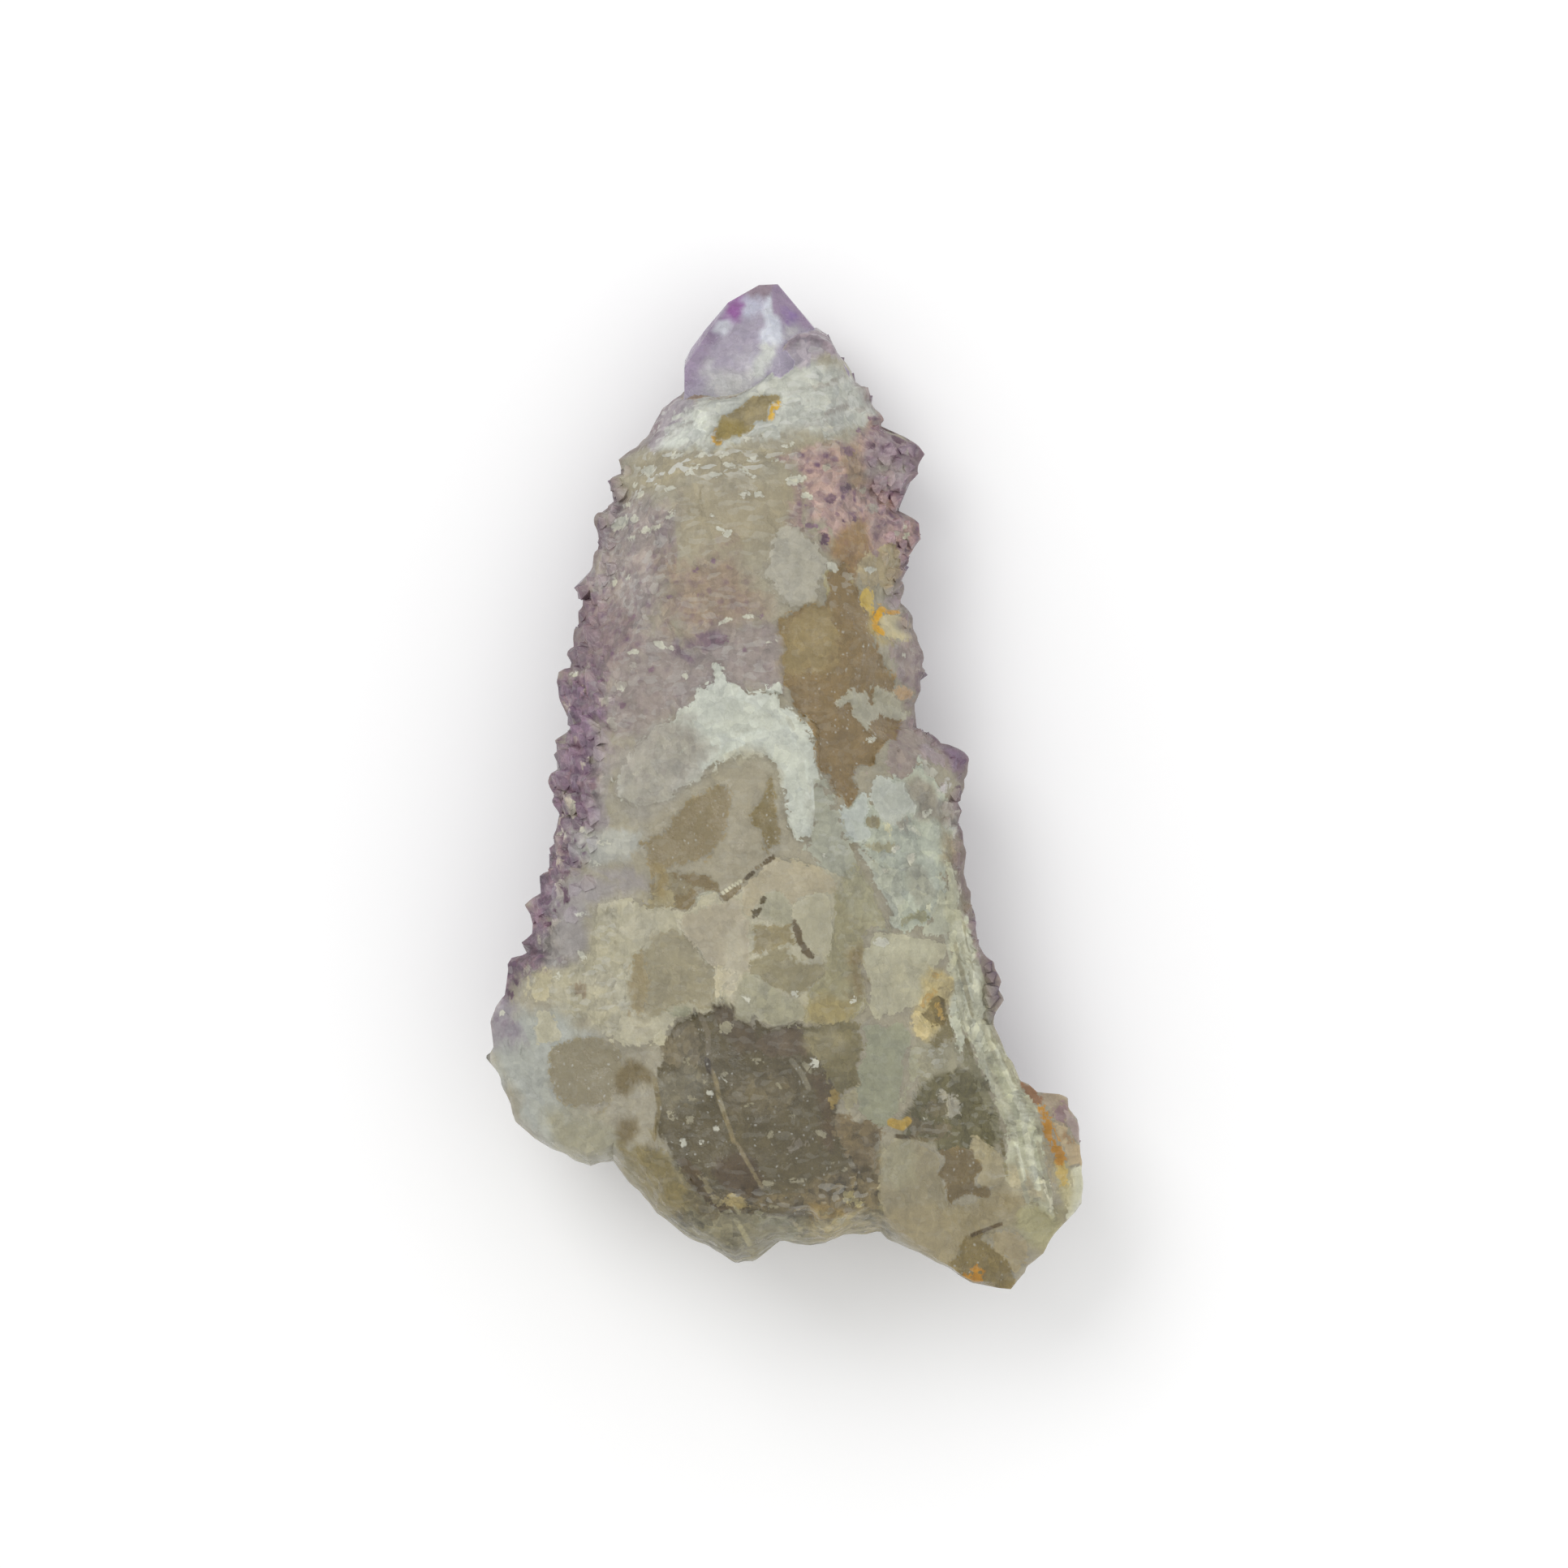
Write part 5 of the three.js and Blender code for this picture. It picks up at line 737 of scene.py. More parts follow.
        (17, -37.7), (14.9, -37.9), (13, -36.6)], edge=0.3, lift=-0.2, torn=0.15, smoky=1, mottle=0.8),
    patch("tail light", (156, 145, 120), [(15, -33.2), (16, -32.9), (17.4, -33), (18, -34), (18.3, -35),
        (17.2, -36), (16.4, -35), (15.4, -34.2)], edge=0.4, torn=0.3),
    patch("tail orange", (170, 124, 36), [(12.9, -36.1), (14, -35.9), (14.6, -36.7), (13.9, -37.3)],
        edge=0.5),
]

# The termination's own colours
TIP_PATCHES = [
    patch("left rim", (150, 135, 161), [(-8, 29.4), (-7.8, 31.4), (-7.4, 32.6), (-6.4, 33.8), (-5.2, 35),
        (-3.4, 36.6), (-3, 36.2), (-4.4, 34.7), (-5.2, 33.6), (-6, 32), (-6.3, 30.8), (-6.6, 29.8)],
        edge=1.2, torn=0.7),
    patch("rim spots", (140, 122, 150), [(-5.9, 33.6), (-5.4, 34.4), (-4.8, 34.6), (-5, 33.8),
        (-5.6, 33.3)], edge=0.6, torn=0.6),
    patch("top brown", (148, 130, 145), [(-3.3, 36.3), (-2.4, 37.3), (-2, 37.7), (-0.6, 37.7),
        (-0.9, 36.9), (-1.6, 36.6), (-2.4, 36.5), (-2.9, 36.1)], edge=0.5, torn=0.4),
    patch("hot spot", (142, 84, 152), [(-4.7, 35.1), (-4, 36), (-3.1, 36.4), (-2.9, 35.9), (-3.3, 35.2),
        (-3.8, 34.8), (-4.3, 34.9)], edge=0.6, torn=0.5),
    patch("foot", (188, 187, 188), [(-6.2, 29.2), (-5.8, 30.6), (-5.3, 31.4), (-4.2, 31.3), (-3, 31),
        (-2.2, 30.4), (-2.9, 29.4), (-5, 29)], edge=1.4, torn=0.8),
    patch("foot veil", (178, 173, 184), [(-4.8, 31.4), (-3.8, 32.4), (-2.4, 32.8), (-1.6, 32.2),
        (-2, 30.8), (-3.2, 30.8)], edge=1.2, torn=1),
    patch("upper veil", (186, 186, 202), [(-2.9, 35.2), (-2.8, 36.1), (-2, 36.3), (-1.6, 35.6),
        (-2.2, 35)], edge=0.7, torn=0.7),
    patch("pale blob", (190, 190, 200), [(-4.9, 34.2), (-4.7, 34.6), (-4.3, 34.5), (-4.4, 34.1)],
        edge=0.35),
    # Painted highlight along the termination's ridge; the ridge foot below carries it on down into the frost
    patch("tip ridge highlight", (203, 205, 215), [(-1.5, 36), (-1.1, 36.4), (-0.8, 36.2), (-0.8, 35.2),
        (-0.2, 34.6), (-0.1, 33.8), (-0.1, 33.2), (-0.5, 32.6), (-1.6, 32.9), (-1.9, 33.6), (-1.5, 34.3),
        (-1.6, 35.2)], edge=0.45, torn=0.4),
    patch("ridge foot", (201, 202, 197), [(-1.7, 33), (-0.4, 32.8), (-0.8, 31.9), (-1.3, 31.2),
        (-1.6, 30.5), (-2.2, 30.2), (-2.4, 31), (-2.2, 31.7), (-1.7, 32.1)], edge=0.5, torn=0.4),
    # The termination's right face: purple, and darker still by painted shade, as it faces away from the
    # light
    patch("shaded right face", (150, 132, 160), [(-0.9, 37.3), (-0.5, 37.8), (0.7, 36.6), (2.8, 34.3),
        (1.6, 33.9), (1.2, 34.3), (0.5, 34.5), (0.2, 34.2), (0, 33.9), (-0.1, 34.5), (-0.3, 35),
        (-0.8, 35.3)], edge=0.3, torn=0.2),
    patch("right purple", (132, 108, 160), [(0, 34.6), (0.1, 35.6), (0.6, 35.6), (1.1, 35.1), (0.9, 34.6),
        (0.3, 34.4)], edge=0.45, torn=0.5),
    patch("right pale", (180, 177, 182), [(0, 33.3), (0, 33.9), (0.3, 34.3), (0.9, 34.4), (1.5, 34.2),
        (1.1, 33.8), (0.5, 33.5)], edge=0.4, torn=0.4),
]

BASE_COLOUR = (160, 154, 139)
TIP_COLOUR = (163, 155, 173)
SIDE_COLOUR = (150, 134, 152)
SIDE_PALE = (172, 164, 168)
BROKEN_SIDE_COLOUR = (146, 140, 122)
DEEP_PURPLE = (92, 68, 108)
LAP_LIFT = np.array([0.27, 0.24, 0.3])
SPECK_COLOUR = (108, 80, 108)
# White flecks, which also serve as painted glints where small crystal faces catch the light
FLECK_AND_GLINT_COLOUR = (206, 206, 200)


def vein(name, colour, points, width, depth=0.0):
    """A thin line of colour along points, width millimetres to each side, cut in by depth."""
    return {"name": name, "colour": colour, "points": points, "width": width, "depth": depth}


VEINS = [
    vein("fork", (88, 76, 52), [(-2.8, -6.75), (-2.3, -6.35)], 0.17),
    vein("fork end", (100, 86, 60), [(-1.4, -5.6), (-0.8, -5.2)], 0.2),
    vein("fork edge", (200, 196, 174), [(-4.6, -7.9), (-3.8, -7.35), (-3.2, -6.95)], 0.15),
    vein("hollow vein", (140, 128, 99), [(-5.3, -21), (-5, -21.8), (-4.8, -23), (-4.4, -24.2),
        (-4, -25.2), (-3.7, -26.2)], 0.17, -0.15),
    vein("hollow vein pale", (158, 150, 128), [(-4.8, -22.9), (-4.5, -23.9)], 0.18),
    vein("hollow vein upper", (120, 112, 96), [(-6.2, -16.8), (-5.6, -18.2), (-5.6, -19.6)], 0.2),
    vein("hollow line low", (128, 117, 93), [(-3.4, -26.4), (-2.6, -27.8), (-1.6, -29.6)], 0.15),
    vein("ridge gap", (116, 108, 82), [(16.1, -26.2), (16.35, -27.4)], 0.15),
    vein("ridge crease", (148, 140, 110), [(16.3, -28), (16.6, -28.9)], 0.15),
    vein("ridge notch", (120, 113, 88), [(13.5, -18.8), (13.9, -19.9)], 0.17),
    vein("hollow vein shade", (72, 62, 44), [(-5.7, -20.1), (-5.5, -21)], 0.22),
    vein("hollow left", (134, 124, 98), [(-9.6, -21.4), (-9.2, -23.6), (-9.6, -26)], 0.18, -0.15),
    vein("stain arc", (194, 146, 40), [(7.7, 12.95), (8.1, 12.9), (8.5, 13)], 0.17),
    vein("tooth edge", (152, 147, 134), [(7.6, 26.5), (8.4, 26.3), (9.4, 25.8)], 0.16),
    vein("hollow streak", (134, 128, 112), [(0.5, -20.1), (1.2, -21), (1.8, -22.2)], 0.2),
    vein("hollow arc", (156, 150, 126), [(-3.6, -31.9), (-3, -32.9), (-2.5, -33.9)], 0.2),
    vein("base arc", (162, 154, 130), [(0.4, -31.9), (1.2, -32.6), (1.2, -33.2), (0.6, -33.6)], 0.16,
        -0.1),
    vein("shelf shadow", (92, 82, 60), [(8.2, -25.8), (8.8, -25.9), (9.5, -25.9)], 0.16),
    vein("shelf shadow end", (126, 116, 92), [(9.5, -25.95), (10.5, -26.2), (11.4, -26.1)], 0.15),
    vein("shelf stain", (172, 146, 78), [(7.9, -24.8), (8.7, -25.1), (9.1, -24.7)], 0.34),
    vein("tail seam", (98, 84, 60), [(13.9, -33.3), (15, -32.9), (16.1, -32.5)], 0.15),
    vein("brown seam and lip shadow light", (196, 190, 178), [(-4.8, 29.1), (-3.6, 29.2), (-2.6, 29.8)], 0.18),
]

# Bundles of fibres: a line, how far the fibres lie to each side, their number, and their light and dark
# colour
FIBRES = [
    ([(12.6, -9.5), (13.2, -12.5), (13.8, -15), (14.5, -17.5), (15.4, -20), (16.5, -22.3), (17.6, -24.6),
        (18.3, -27.4), (19.1, -30.6)], 1.1, 46, (199, 200, 185), (154, 151, 133)),
    ([(0.6, 27.2), (2.6, 28), (4.6, 28.8), (6, 29.6)], 1.9, 26, (198, 200, 194), (160, 156, 152)),
    ([(-9.6, 25.4), (-8, 26.2), (-5.8, 27)], 1.3, 12, (206, 208, 202), (174, 172, 168)),
    ([(-7.4, 1.8), (-5.4, 3.6), (-3.2, 4.6), (-0.8, 5)], 1.7, 14, (202, 206, 198), (180, 181, 171)),
    ([(0, 5.6), (1.1, 3.2), (1.4, 0.2), (1.6, -2.8)], 0.7, 10, (202, 206, 198), (180, 181, 171)),
]
VEIN_SOFTNESS = 0.1

# Small angular pieces of the broken side: x, y, length, width and the angle of the length in degrees
# The white pieces are partly painted glints, where small crystal faces on the upper broken side catch the
# light
WHITE_AND_GLINT_PIECES = [
    (-4, 23.8, 1.2, 0.55, -15), (-3.1, 23.4, 0.9, 0.3, -20), (-6.8, 23.4, 1.4, 0.5, 30),
    (-5.2, 23.1, 1, 0.25, 0), (-2.4, 23, 1.1, 0.25, -25), (-2.3, 24.3, 1, 0.35, 10),
    (-6.1, 24.6, 1.5, 0.35, 20), (-4.5, 24.5, 1, 0.3, 25), (-7.9, 24.6, 1.2, 0.4, 25),
    (-10, 23.5, 1.1, 0.7, 20), (-11.1, 22.4, 0.7, 0.35, 45), (-10.7, 21.7, 0.7, 0.3, 35),
    (-11.6, 21, 0.6, 0.25, 30), (-8.4, 22.1, 1, 0.3, 10), (-8.4, 20.1, 1, 0.35, 40),
    (-12.2, 19.6, 1.5, 0.9, 25), (-11.1, 19.9, 0.9, 0.4, 20), (-10.3, 19, 0.8, 0.3, 15),
    (-9.4, 19.2, 0.5, 0.25, 25), (-5.3, 20, 0.6, 0.4, 0), (-4.7, 19, 0.7, 0.25, -15),
    (-4.2, 18.7, 0.5, 0.3, 20), (-1.8, 21.6, 0.8, 0.35, -20), (-3, 21.6, 0.8, 0.3, 0),
    (0.9, 22.7, 1.6, 0.6, 10), (0.8, 23.4, 0.8, 0.3, 0), (-0.8, 24.2, 0.7, 0.25, 0),
    (1.7, 21.5, 1, 0.3, -10), (0.1, 25.2, 1.3, 0.4, 15), (-2.3, 25.9, 1.8, 0.4, 15),
    (3.4, 26.6, 1, 0.4, 15), (-12.7, 15.1, 0.4, 0.5, 0), (-11.6, 15.5, 0.5, 0.25, 60),
    (-11.4, 18.4, 0.6, 0.4, 0), (3.5, 16.2, 0.9, 0.5, -30), (8.9, 19.4, 0.4, 0.25, 0),
    (9.1, 18.6, 1, 0.3, 40), (-9.2, 10.5, 1.1, 0.3, -20), (-8.3, 10.2, 0.5, 0.3, 0),
    (-7.3, 8.2, 0.6, 0.5, 10), (-12.1, 7.3, 0.6, 0.4, 20), (-15.7, 8.4, 0.7, 0.25, 10),
    (-15.6, -1.7, 0.7, 0.3, 45), (-16.8, -3.6, 0.8, 0.3, 20), (-7.4, -26.2, 0.9, 0.8, -30),
    (-6.2, -26.2, 0.5, 0.3, 0), (-5.5, -22.6, 0.6, 0.3, -40), (-5.4, -23.7, 0.3, 0.2, 0),
    (-5, -25.2, 0.3, 0.3, 0), (2.2, -20.4, 0.6, 0.5, 0), (-4.3, -21.7, 0.3, 0.2, 0),
    (1.1, -30.1, 0.3, 0.2, 0), (10.3, -24.6, 0.4, 0.25, 10), (5.1, -15.7, 0.5, 0.3, 40),
    (0.7, -15.2, 0.5, 0.35, -20), (-2.8, -15.7, 0.8, 0.3, -45), (7.2, -11.5, 1.4, 0.7, 0),
    (12.9, -1.9, 0.5, 0.25, 0), (8.2, -4.6, 0.9, 0.5, 30), (7.4, -6.2, 0.8, 0.4, -30),
    (9.4, -5.4, 0.9, 0.5, 60), (8.6, -3.3, 1, 0.4, 10), (10.6, -2, 0.9, 0.6, 40),
    (-14.8, -3.2, 1.2, 0.5, 20), (3, -5.2, 0.7, 0.4, -30), (-1, 10.6, 0.9, 0.25, 15),
    (-4.4, 12.2, 1.2, 0.2, 20), (-2.6, 12.6, 1, 0.2, 5), (-11.2, 9.9, 1, 0.3, 10),
    (-16.7, -4.1, 0.35, 0.3, 0), (-15.2, -9.5, 1, 0.35, 15), (-15, -12.5, 1, 0.4, -50),
    (6.3, 16.1, 0.9, 0.6, 0), (6.1, 10.4, 0.9, 0.45, 0), (8.8, 9.7, 0.5, 0.35, 0),
    (6.4, 3.5, 0.6, 0.35, 20), (-20.9, -16.9, 0.35, 0.35, 0), (-16.8, -14.1, 0.5, 0.35, 30),
    (-13.4, -4.2, 1, 0.5, 0), (-14, -5.7, 1.1, 0.4, -20),
]
PURPLE_PIECES = [
    (4.7, 24.9, 1, 0.8, 0), (6.7, 27.4, 0.8, 0.5, 0), (7.8, 21.8, 0.7, 0.3, -10), (4.5, 22, 0.9, 0.6, 0),
    (3.3, 21.3, 1, 0.5, 30), (1.5, 20.7, 0.5, 0.3, 30), (8.5, 24.4, 0.7, 0.6, 0),
    (2.1, 19.3, 1.1, 0.3, 0), (3, 18.3, 0.5, 0.6, 0), (-11.2, 12.5, 0.6, 0.4, 60),
    (-14.4, 9.1, 1.6, 0.35, 10), (4.8, 20.1, 0.9, 0.3, 20), (7.4, 19.5, 0.6, 0.4, 0),
    (-6, 14.1, 0.8, 0.4, 0), (-5.2, 16.7, 0.5, 0.4, 0), (-6.5, 16, 0.6, 0.35, 0),
    (-8.5, 14, 0.8, 0.25, 20), (6.4, 25.4, 0.7, 0.5, 0), (5.5, 26.5, 0.5, 0.35, 0),
    (7.5, 22.8, 0.5, 0.4, 0), (-17, 3.5, 0.7, 0.5, 0), (-16.2, 0.7, 0.9, 0.6, 30),
    (-15.3, 0.1, 0.9, 0.5, 0), (-15, 3.1, 0.9, 0.5, 20), (-13.9, 2.6, 0.7, 0.5, 0),
    (-16.6, -1.1, 0.7, 0.5, 0), (-16.8, -4.4, 0.8, 0.6, 0), (-14.2, 0, 0.6, 0.35, 0),
    (-16.3, -6.4, 0.7, 0.5, 0), (-17.4, -9.4, 0.8, 0.5, 30), (-17.8, -10.4, 0.6, 0.5, 0),
    (-18.6, -13.4, 0.9, 0.5, 0), (-16.4, 6.6, 1, 0.7, -40), (-14.9, 6.8, 0.8, 0.6, 30),
    (-13.6, 7.9, 0.8, 0.5, 0), (-12, 6, 0.7, 0.5, 60), (13.1, -0.8, 0.5, 0.7, 0),
    (12.7, 1.6, 0.6, 0.6, 0), (11.2, 3.7, 0.6, 0.5, 0), (10.5, 8.5, 0.5, 0.6, 0),
    (-9.9, 8.6, 0.6, 0.4, 30), (-4.6, 10.8, 0.9, 0.4, 20), (-2.9, 10, 0.5, 0.4, 0),
    (-1.8, 12.6, 0.5, 0.3, 30),
]
DARK_PIECES = [
    (4.7, 24.9, 0.9, 0.6, 0), (6.6, 25.4, 0.9, 0.5, 10), (8.4, 25.9, 1.1, 0.5, -20),
    (9.4, 23.9, 0.7, 0.8, 0), (4.6, 22.1, 0.9, 0.6, 20), (3.4, 21.2, 0.9, 0.45, 20),
    (7.8, 21.7, 0.7, 0.35, 0), (3, 18.3, 0.5, 0.8, 0), (4.4, 19.6, 0.7, 0.35, -10),
    (5.3, 19.8, 0.6, 0.4, 0), (9.8, 18.6, 0.5, 0.9, 0), (9.3, 17.7, 0.9, 0.4, 20),
    (9.2, 16.6, 0.7, 0.5, 0), (-16.6, 3.4, 1.1, 0.5, 15), (-15.4, 3, 1.1, 0.7, 0),
    (-15, 9.1, 1.5, 0.4, 10), (-16.8, 0, 0.9, 0.6, 0), (-16.7, -1.1, 0.8, 0.5, 0),
    (-16.4, -1.7, 0.6, 0.5, 0), (-16, -0.9, 0.5, 0.45, 0), (-15.4, -0.1, 1.4, 0.5, 30),
    (-16.7, -4.1, 1.2, 0.6, 20), (-16.5, -4.8, 1.3, 0.45, 10), (-18, -6.8, 0.8, 0.5, 0),
    (-17.6, -6.2, 0.45, 0.6, 0), (-16.1, -7.8, 0.7, 0.4, 0), (-16.2, -8.4, 0.5, 0.9, 0),
    (-17.1, -9.3, 0.9, 0.4, 40), (-17.5, -10.2, 0.9, 0.4, 15), (-18.6, -11, 0.7, 0.45, 0),
    (-18.6, -12.3, 0.7, 0.8, 0), (-20, -14.5, 0.4, 0.6, 0), (-20.3, -15.4, 0.9, 0.7, 0),
    (-19.3, -12.9, 1.5, 0.45, 20), (12.6, 1.9, 0.8, 0.45, 20), (13, -0.4, 0.5, 1.1, 0),
    (9.4, 13.2, 0.4, 0.7, 0), (10.3, 8.4, 0.6, 0.6, 0),
]
PALE_PIECES = [
    (-16.2, 5.9, 1.6, 0.4, -62), (-15.6, 4.6, 1.2, 0.4, -45), (-14.5, 2, 0.6, 0.4, 50),
    (-14.9, 1.6, 0.7, 0.45, 0), (-16.5, -0.7, 0.7, 0.7, 0), (-16.4, -2.4, 1.6, 0.5, 40),
    (-15.6, -2, 0.9, 0.35, 40), (-17, -3.9, 0.7, 0.4, 0), (-12.7, 4.6, 1.2, 0.5, -60),
    (-12.1, 7.5, 0.9, 0.6, 0), (-17.9, -6.4, 0.9, 0.35, 0), (-16.8, -5.6, 0.8, 0.45, 0),
    (-16.6, -8.1, 0.8, 0.4, 45), (-16.5, -7.1, 0.8, 0.4, 0), (-19.1, -13.6, 1, 0.5, 40),
    (-18.2, -11.4, 0.5, 0.9, 0), (-17, -10, 0.8, 0.8, 0), (8.9, 23.6, 0.6, 0.6, 0),
    (9.3, 25, 0.5, 0.8, 0), (8.3, 10.4, 0.9, 0.4, -30), (9.7, 10.1, 0.9, 0.4, -35),
    (8.4, 18.9, 0.6, 0.4, 40), (13.2, -3.2, 0.4, 0.6, 0), (6.6, 20.7, 0.8, 0.5, 0),
    (5.9, 22, 0.9, 0.3, 0), (3.2, 23.7, 0.7, 0.4, 30), (7.2, 23.7, 0.8, 0.5, 0),
    (-14.6, 7.3, 0.7, 0.4, 0), (-13.2, 6.4, 0.9, 0.5, 20), (-11.2, 8.9, 0.9, 0.5, 0),
]
GREY_PIECES = [
    (-4.3, -17.8, 0.9, 0.8, 30), (-7.7, -18.5, 0.6, 0.25, 0), (-6.9, -24.6, 0.9, 0.7, 20),
    (-4.4, -21.2, 0.8, 0.35, 10), (-1, -25.5, 0.5, 0.4, 40), (-8.3, -24.3, 0.7, 0.4, -30),
    (-9, -26.3, 0.8, 0.4, 0), (2.6, -25.5, 0.9, 0.5, -20), (1.6, -20.6, 1.2, 0.3, -50),
    (-3.4, -20.7, 0.6, 0.25, 0), (-5.8, -21.7, 0.5, 0.3, 0), (-0.8, -30.9, 1, 0.4, 0),
    (-1.2, -29.2, 0.8, 0.5, 0), (1, -29, 1.4, 0.4, 10), (3.2, -27.9, 1.2, 0.3, 20),
    (-6.9, -22.9, 0.8, 0.4, 0), (-7.2, -20.2, 0.5, 0.5, 0), (-2.6, -23.4, 0.8, 0.2, 20),
    (-0.4, -22, 0.7, 0.25, -40), (-2, -20.2, 1, 0.3, 0), (0.4, -24.2, 0.6, 0.25, -20),
    (-6.4, -27.6, 0.8, 0.3, 0), (4.4, -28.2, 0.7, 0.6, 0), (1.8, -31.6, 0.5, 0.4, 0),
    (3.4, -31.4, 0.6, 0.3, 0), (5.8, -31.6, 0.6, 0.4, 0), (2.6, -32.6, 0.6, 0.25, -20),
    (4.2, -32, 0.5, 0.3, 30),
]
# White pieces' colour, partly painted glints
WHITE_AND_GLINT_COLOUR = (188, 187, 177)
GREY_COLOUR = (144, 139, 122)
DARK_COLOUR = (98, 75, 94)
PALE_COLOUR = (160, 154, 150)
RIM_COLOUR = (112, 92, 106)
RIM_WIDTH = 1.0
PURPLE_COLOUR = (126, 104, 120)
PIECE_CORNERS = 7

# The scene's light is stronger than the photograph's and its gloss lifts the dark colours, so the paint
# is scaled and its contrast raised about a middle tone
PAINT_SCALE = np.array([0.88, 0.87, 0.8])
PAINT_POWER = np.array([1.05, 1.07, 1.13])
MIDDLE_TONE = (152, 145, 129)
TIP_SCALE = 1.3
FAR = 3.0
OUTSIDE = 30.0
EMPTY_LAYER = [0.5, 0.5, 0.5, -OUTSIDE]  # a colour, and how deep the place lies inside the outline
START_MARKS = [0.0, 0.1, 0.5, 0.0]  # of the places that no patch covers, on the broken side
SIDE_MARKS = [0.8, 0.1, 0.8, 0.0]  # and on the flanks
RIM_STRENGTH = 0.55
APEX_PURPLE = 0.6  # how purple the crystals' points are
APEX_PURPLE_LESS = 0.4  # and how much less so where they lap over the rim
SMOOTH_ANGLE = 40
CRISP = 0.5  # the widest edge that the shaders draw by themselves
OVERLAP = 0.35
LIFT_SHARE = 0.5


def lattice_hash(i, j, k=0):
    wave = np.sin(i * 127.1 + j * 311.7 + k * 74.7) * 43758.5453
    return wave - np.floor(wave)


def mix(a, b, share):
    return a + (b - a) * share


def smoothstep(low, high, value):
    share = np.clip((value - low) / (high - low), 0, 1)
    return share * share * (3 - 2 * share)


def look(pairs, key):
    """The value at key in a list of (key, value), whose keys rise or fall."""
    ordered = sorted(pairs)
    return np.interp(key, [pair[0] for pair in ordered], [pair[1] for pair in ordered])


def along(line, fraction):
    """The x and y at a fraction of a line's length."""
    points = np.array(line, float)
    walked = np.concatenate([[0], np.cumsum(np.hypot(*np.diff(points, axis=0).T))])
    target = np.asarray(fraction) * walked[-1]
    return np.interp(target, walked, points[:, 0]), np.interp(target, walked, points[:, 1])


def box_of(line, x, y):
    """Which places are no more than FAR outside the box round a line."""
    xs, ys = zip(*line)
    return (x > min(xs) - FAR) & (x < max(xs) + FAR) & (y > min(ys) - FAR) & (y < max(ys) + FAR)


def distance_to(line, x, y):
    """Distance to an open line, given as FAR beyond the box round it."""
    near = box_of(line, x, y)
    near_x, near_y = x[near], y[near]
    nearest = np.full(near_x.shape, FAR)
    for (x1, y1), (x2, y2) in zip(line[:-1], line[1:]):
        share = ((near_x - x1) * (x2 - x1) + (near_y - y1) * (y2 - y1)) / ((x2 - x1) ** 2 + (y2 - y1) ** 2)
        share = np.clip(share, 0, 1)
        nearest = np.minimum(nearest, np.hypot(near_x - mix(x1, x2, share), near_y - mix(y1, y2, share)))
    distance = np.full(np.shape(x), FAR)
    distance[near] = nearest
    return distance


def inside(outline, x, y):
    """Signed distance to an outline, positive inside."""
    closed = outline + outline[:1]
    near = box_of(outline, x, y)
    near_x, near_y = x[near], y[near]
    crossed = np.zeros(near_x.shape, bool)
    for (x1, y1), (x2, y2) in zip(closed[:-1], closed[1:]):
        if y1 != y2:
            meets = near_x < x1 + (near_y - y1) * (x2 - x1) / (y2 - y1)
            crossed ^= ((y1 > near_y) != (y2 > near_y)) & meets
    within = np.zeros(np.shape(x), bool)
    within[near] = crossed
    distance = distance_to(closed, x, y)
    return np.where(within, distance, -distance)


def value_noise(x, y, seed):
    """Smooth noise from -1 to 1 on a lattice one unit wide."""
    i, j = np.floor(x), np.floor(y)
    u, v = x - i, y - j
    u, v = u * u * (3 - 2 * u), v * v * (3 - 2 * v)
    low = mix(lattice_hash(i, j, seed), lattice_hash(i + 1, j, seed), u)
    high = mix(lattice_hash(i, j + 1, seed), lattice_hash(i + 1, j + 1, seed), u)
    return 2 * mix(low, high, v) - 1


def cloud(x, y, size, seed, octaves=3):
    """Layers of noise whose largest lumps are size millimetres wide."""
    total = np.zeros(np.shape(x))
    for octave in range(octaves):
        scale = 2**octave / size
        total += value_noise(x * scale + 17.3 * octave, y * scale - 9.1 * octave, seed + octave) / 2**octave
    return total


def streaks(x, y, angle, length, width, seed):
    """Noise drawn out along an angle in degrees."""
    turn = math.radians(angle)
    run = x * math.cos(turn) + y * math.sin(turn)
    side = y * math.cos(turn) - x * math.sin(turn)
    fine = value_noise(2 * run / length, 2 * side / width, seed + 1)
    return value_noise(run / length, side / width, seed) + 0.5 * fine


def cells_round(x, y, size, seed, margin):
    """The lattice cells at and round each place: their columns, rows and middles, in cells."""
    i, j = np.floor(x / size), np.floor(y / size)
    for di in (-1, 0, 1):
        for dj in (-1, 0, 1):
            ci, cj = i + di, j + dj
            middle_x = ci + margin + (1 - 2 * margin) * lattice_hash(ci, cj, seed)
            middle_y = cj + margin + (1 - 2 * margin) * lattice_hash(ci, cj, seed + 1)
            yield ci, cj, middle_x, middle_y


def facets(x, y, size, seed, tilt=1.6):
    """Flat tilted cells with steps between them, from -1 to 1."""
    best = np.full(np.shape(x), np.inf)
    height = np.zeros(np.shape(x))
    for ci, cj, middle_x, middle_y in cells_round(x, y, size, seed, 0.15):
        run_x, run_y = x - middle_x * size, y - middle_y * size
        away = np.hypot(run_x, run_y)
        tilt_x = lattice_hash(ci, cj, seed + 2) - 0.5
        tilt_y = lattice_hash(ci, cj, seed + 3) - 0.5
        here = (lattice_hash(ci, cj, seed + 4) - 0.5) + (tilt_x * run_x + tilt_y * run_y) * tilt / size
        closer = away < best
        best = np.where(closer, away, best)
        height = np.where(closer, here, height)
    return height


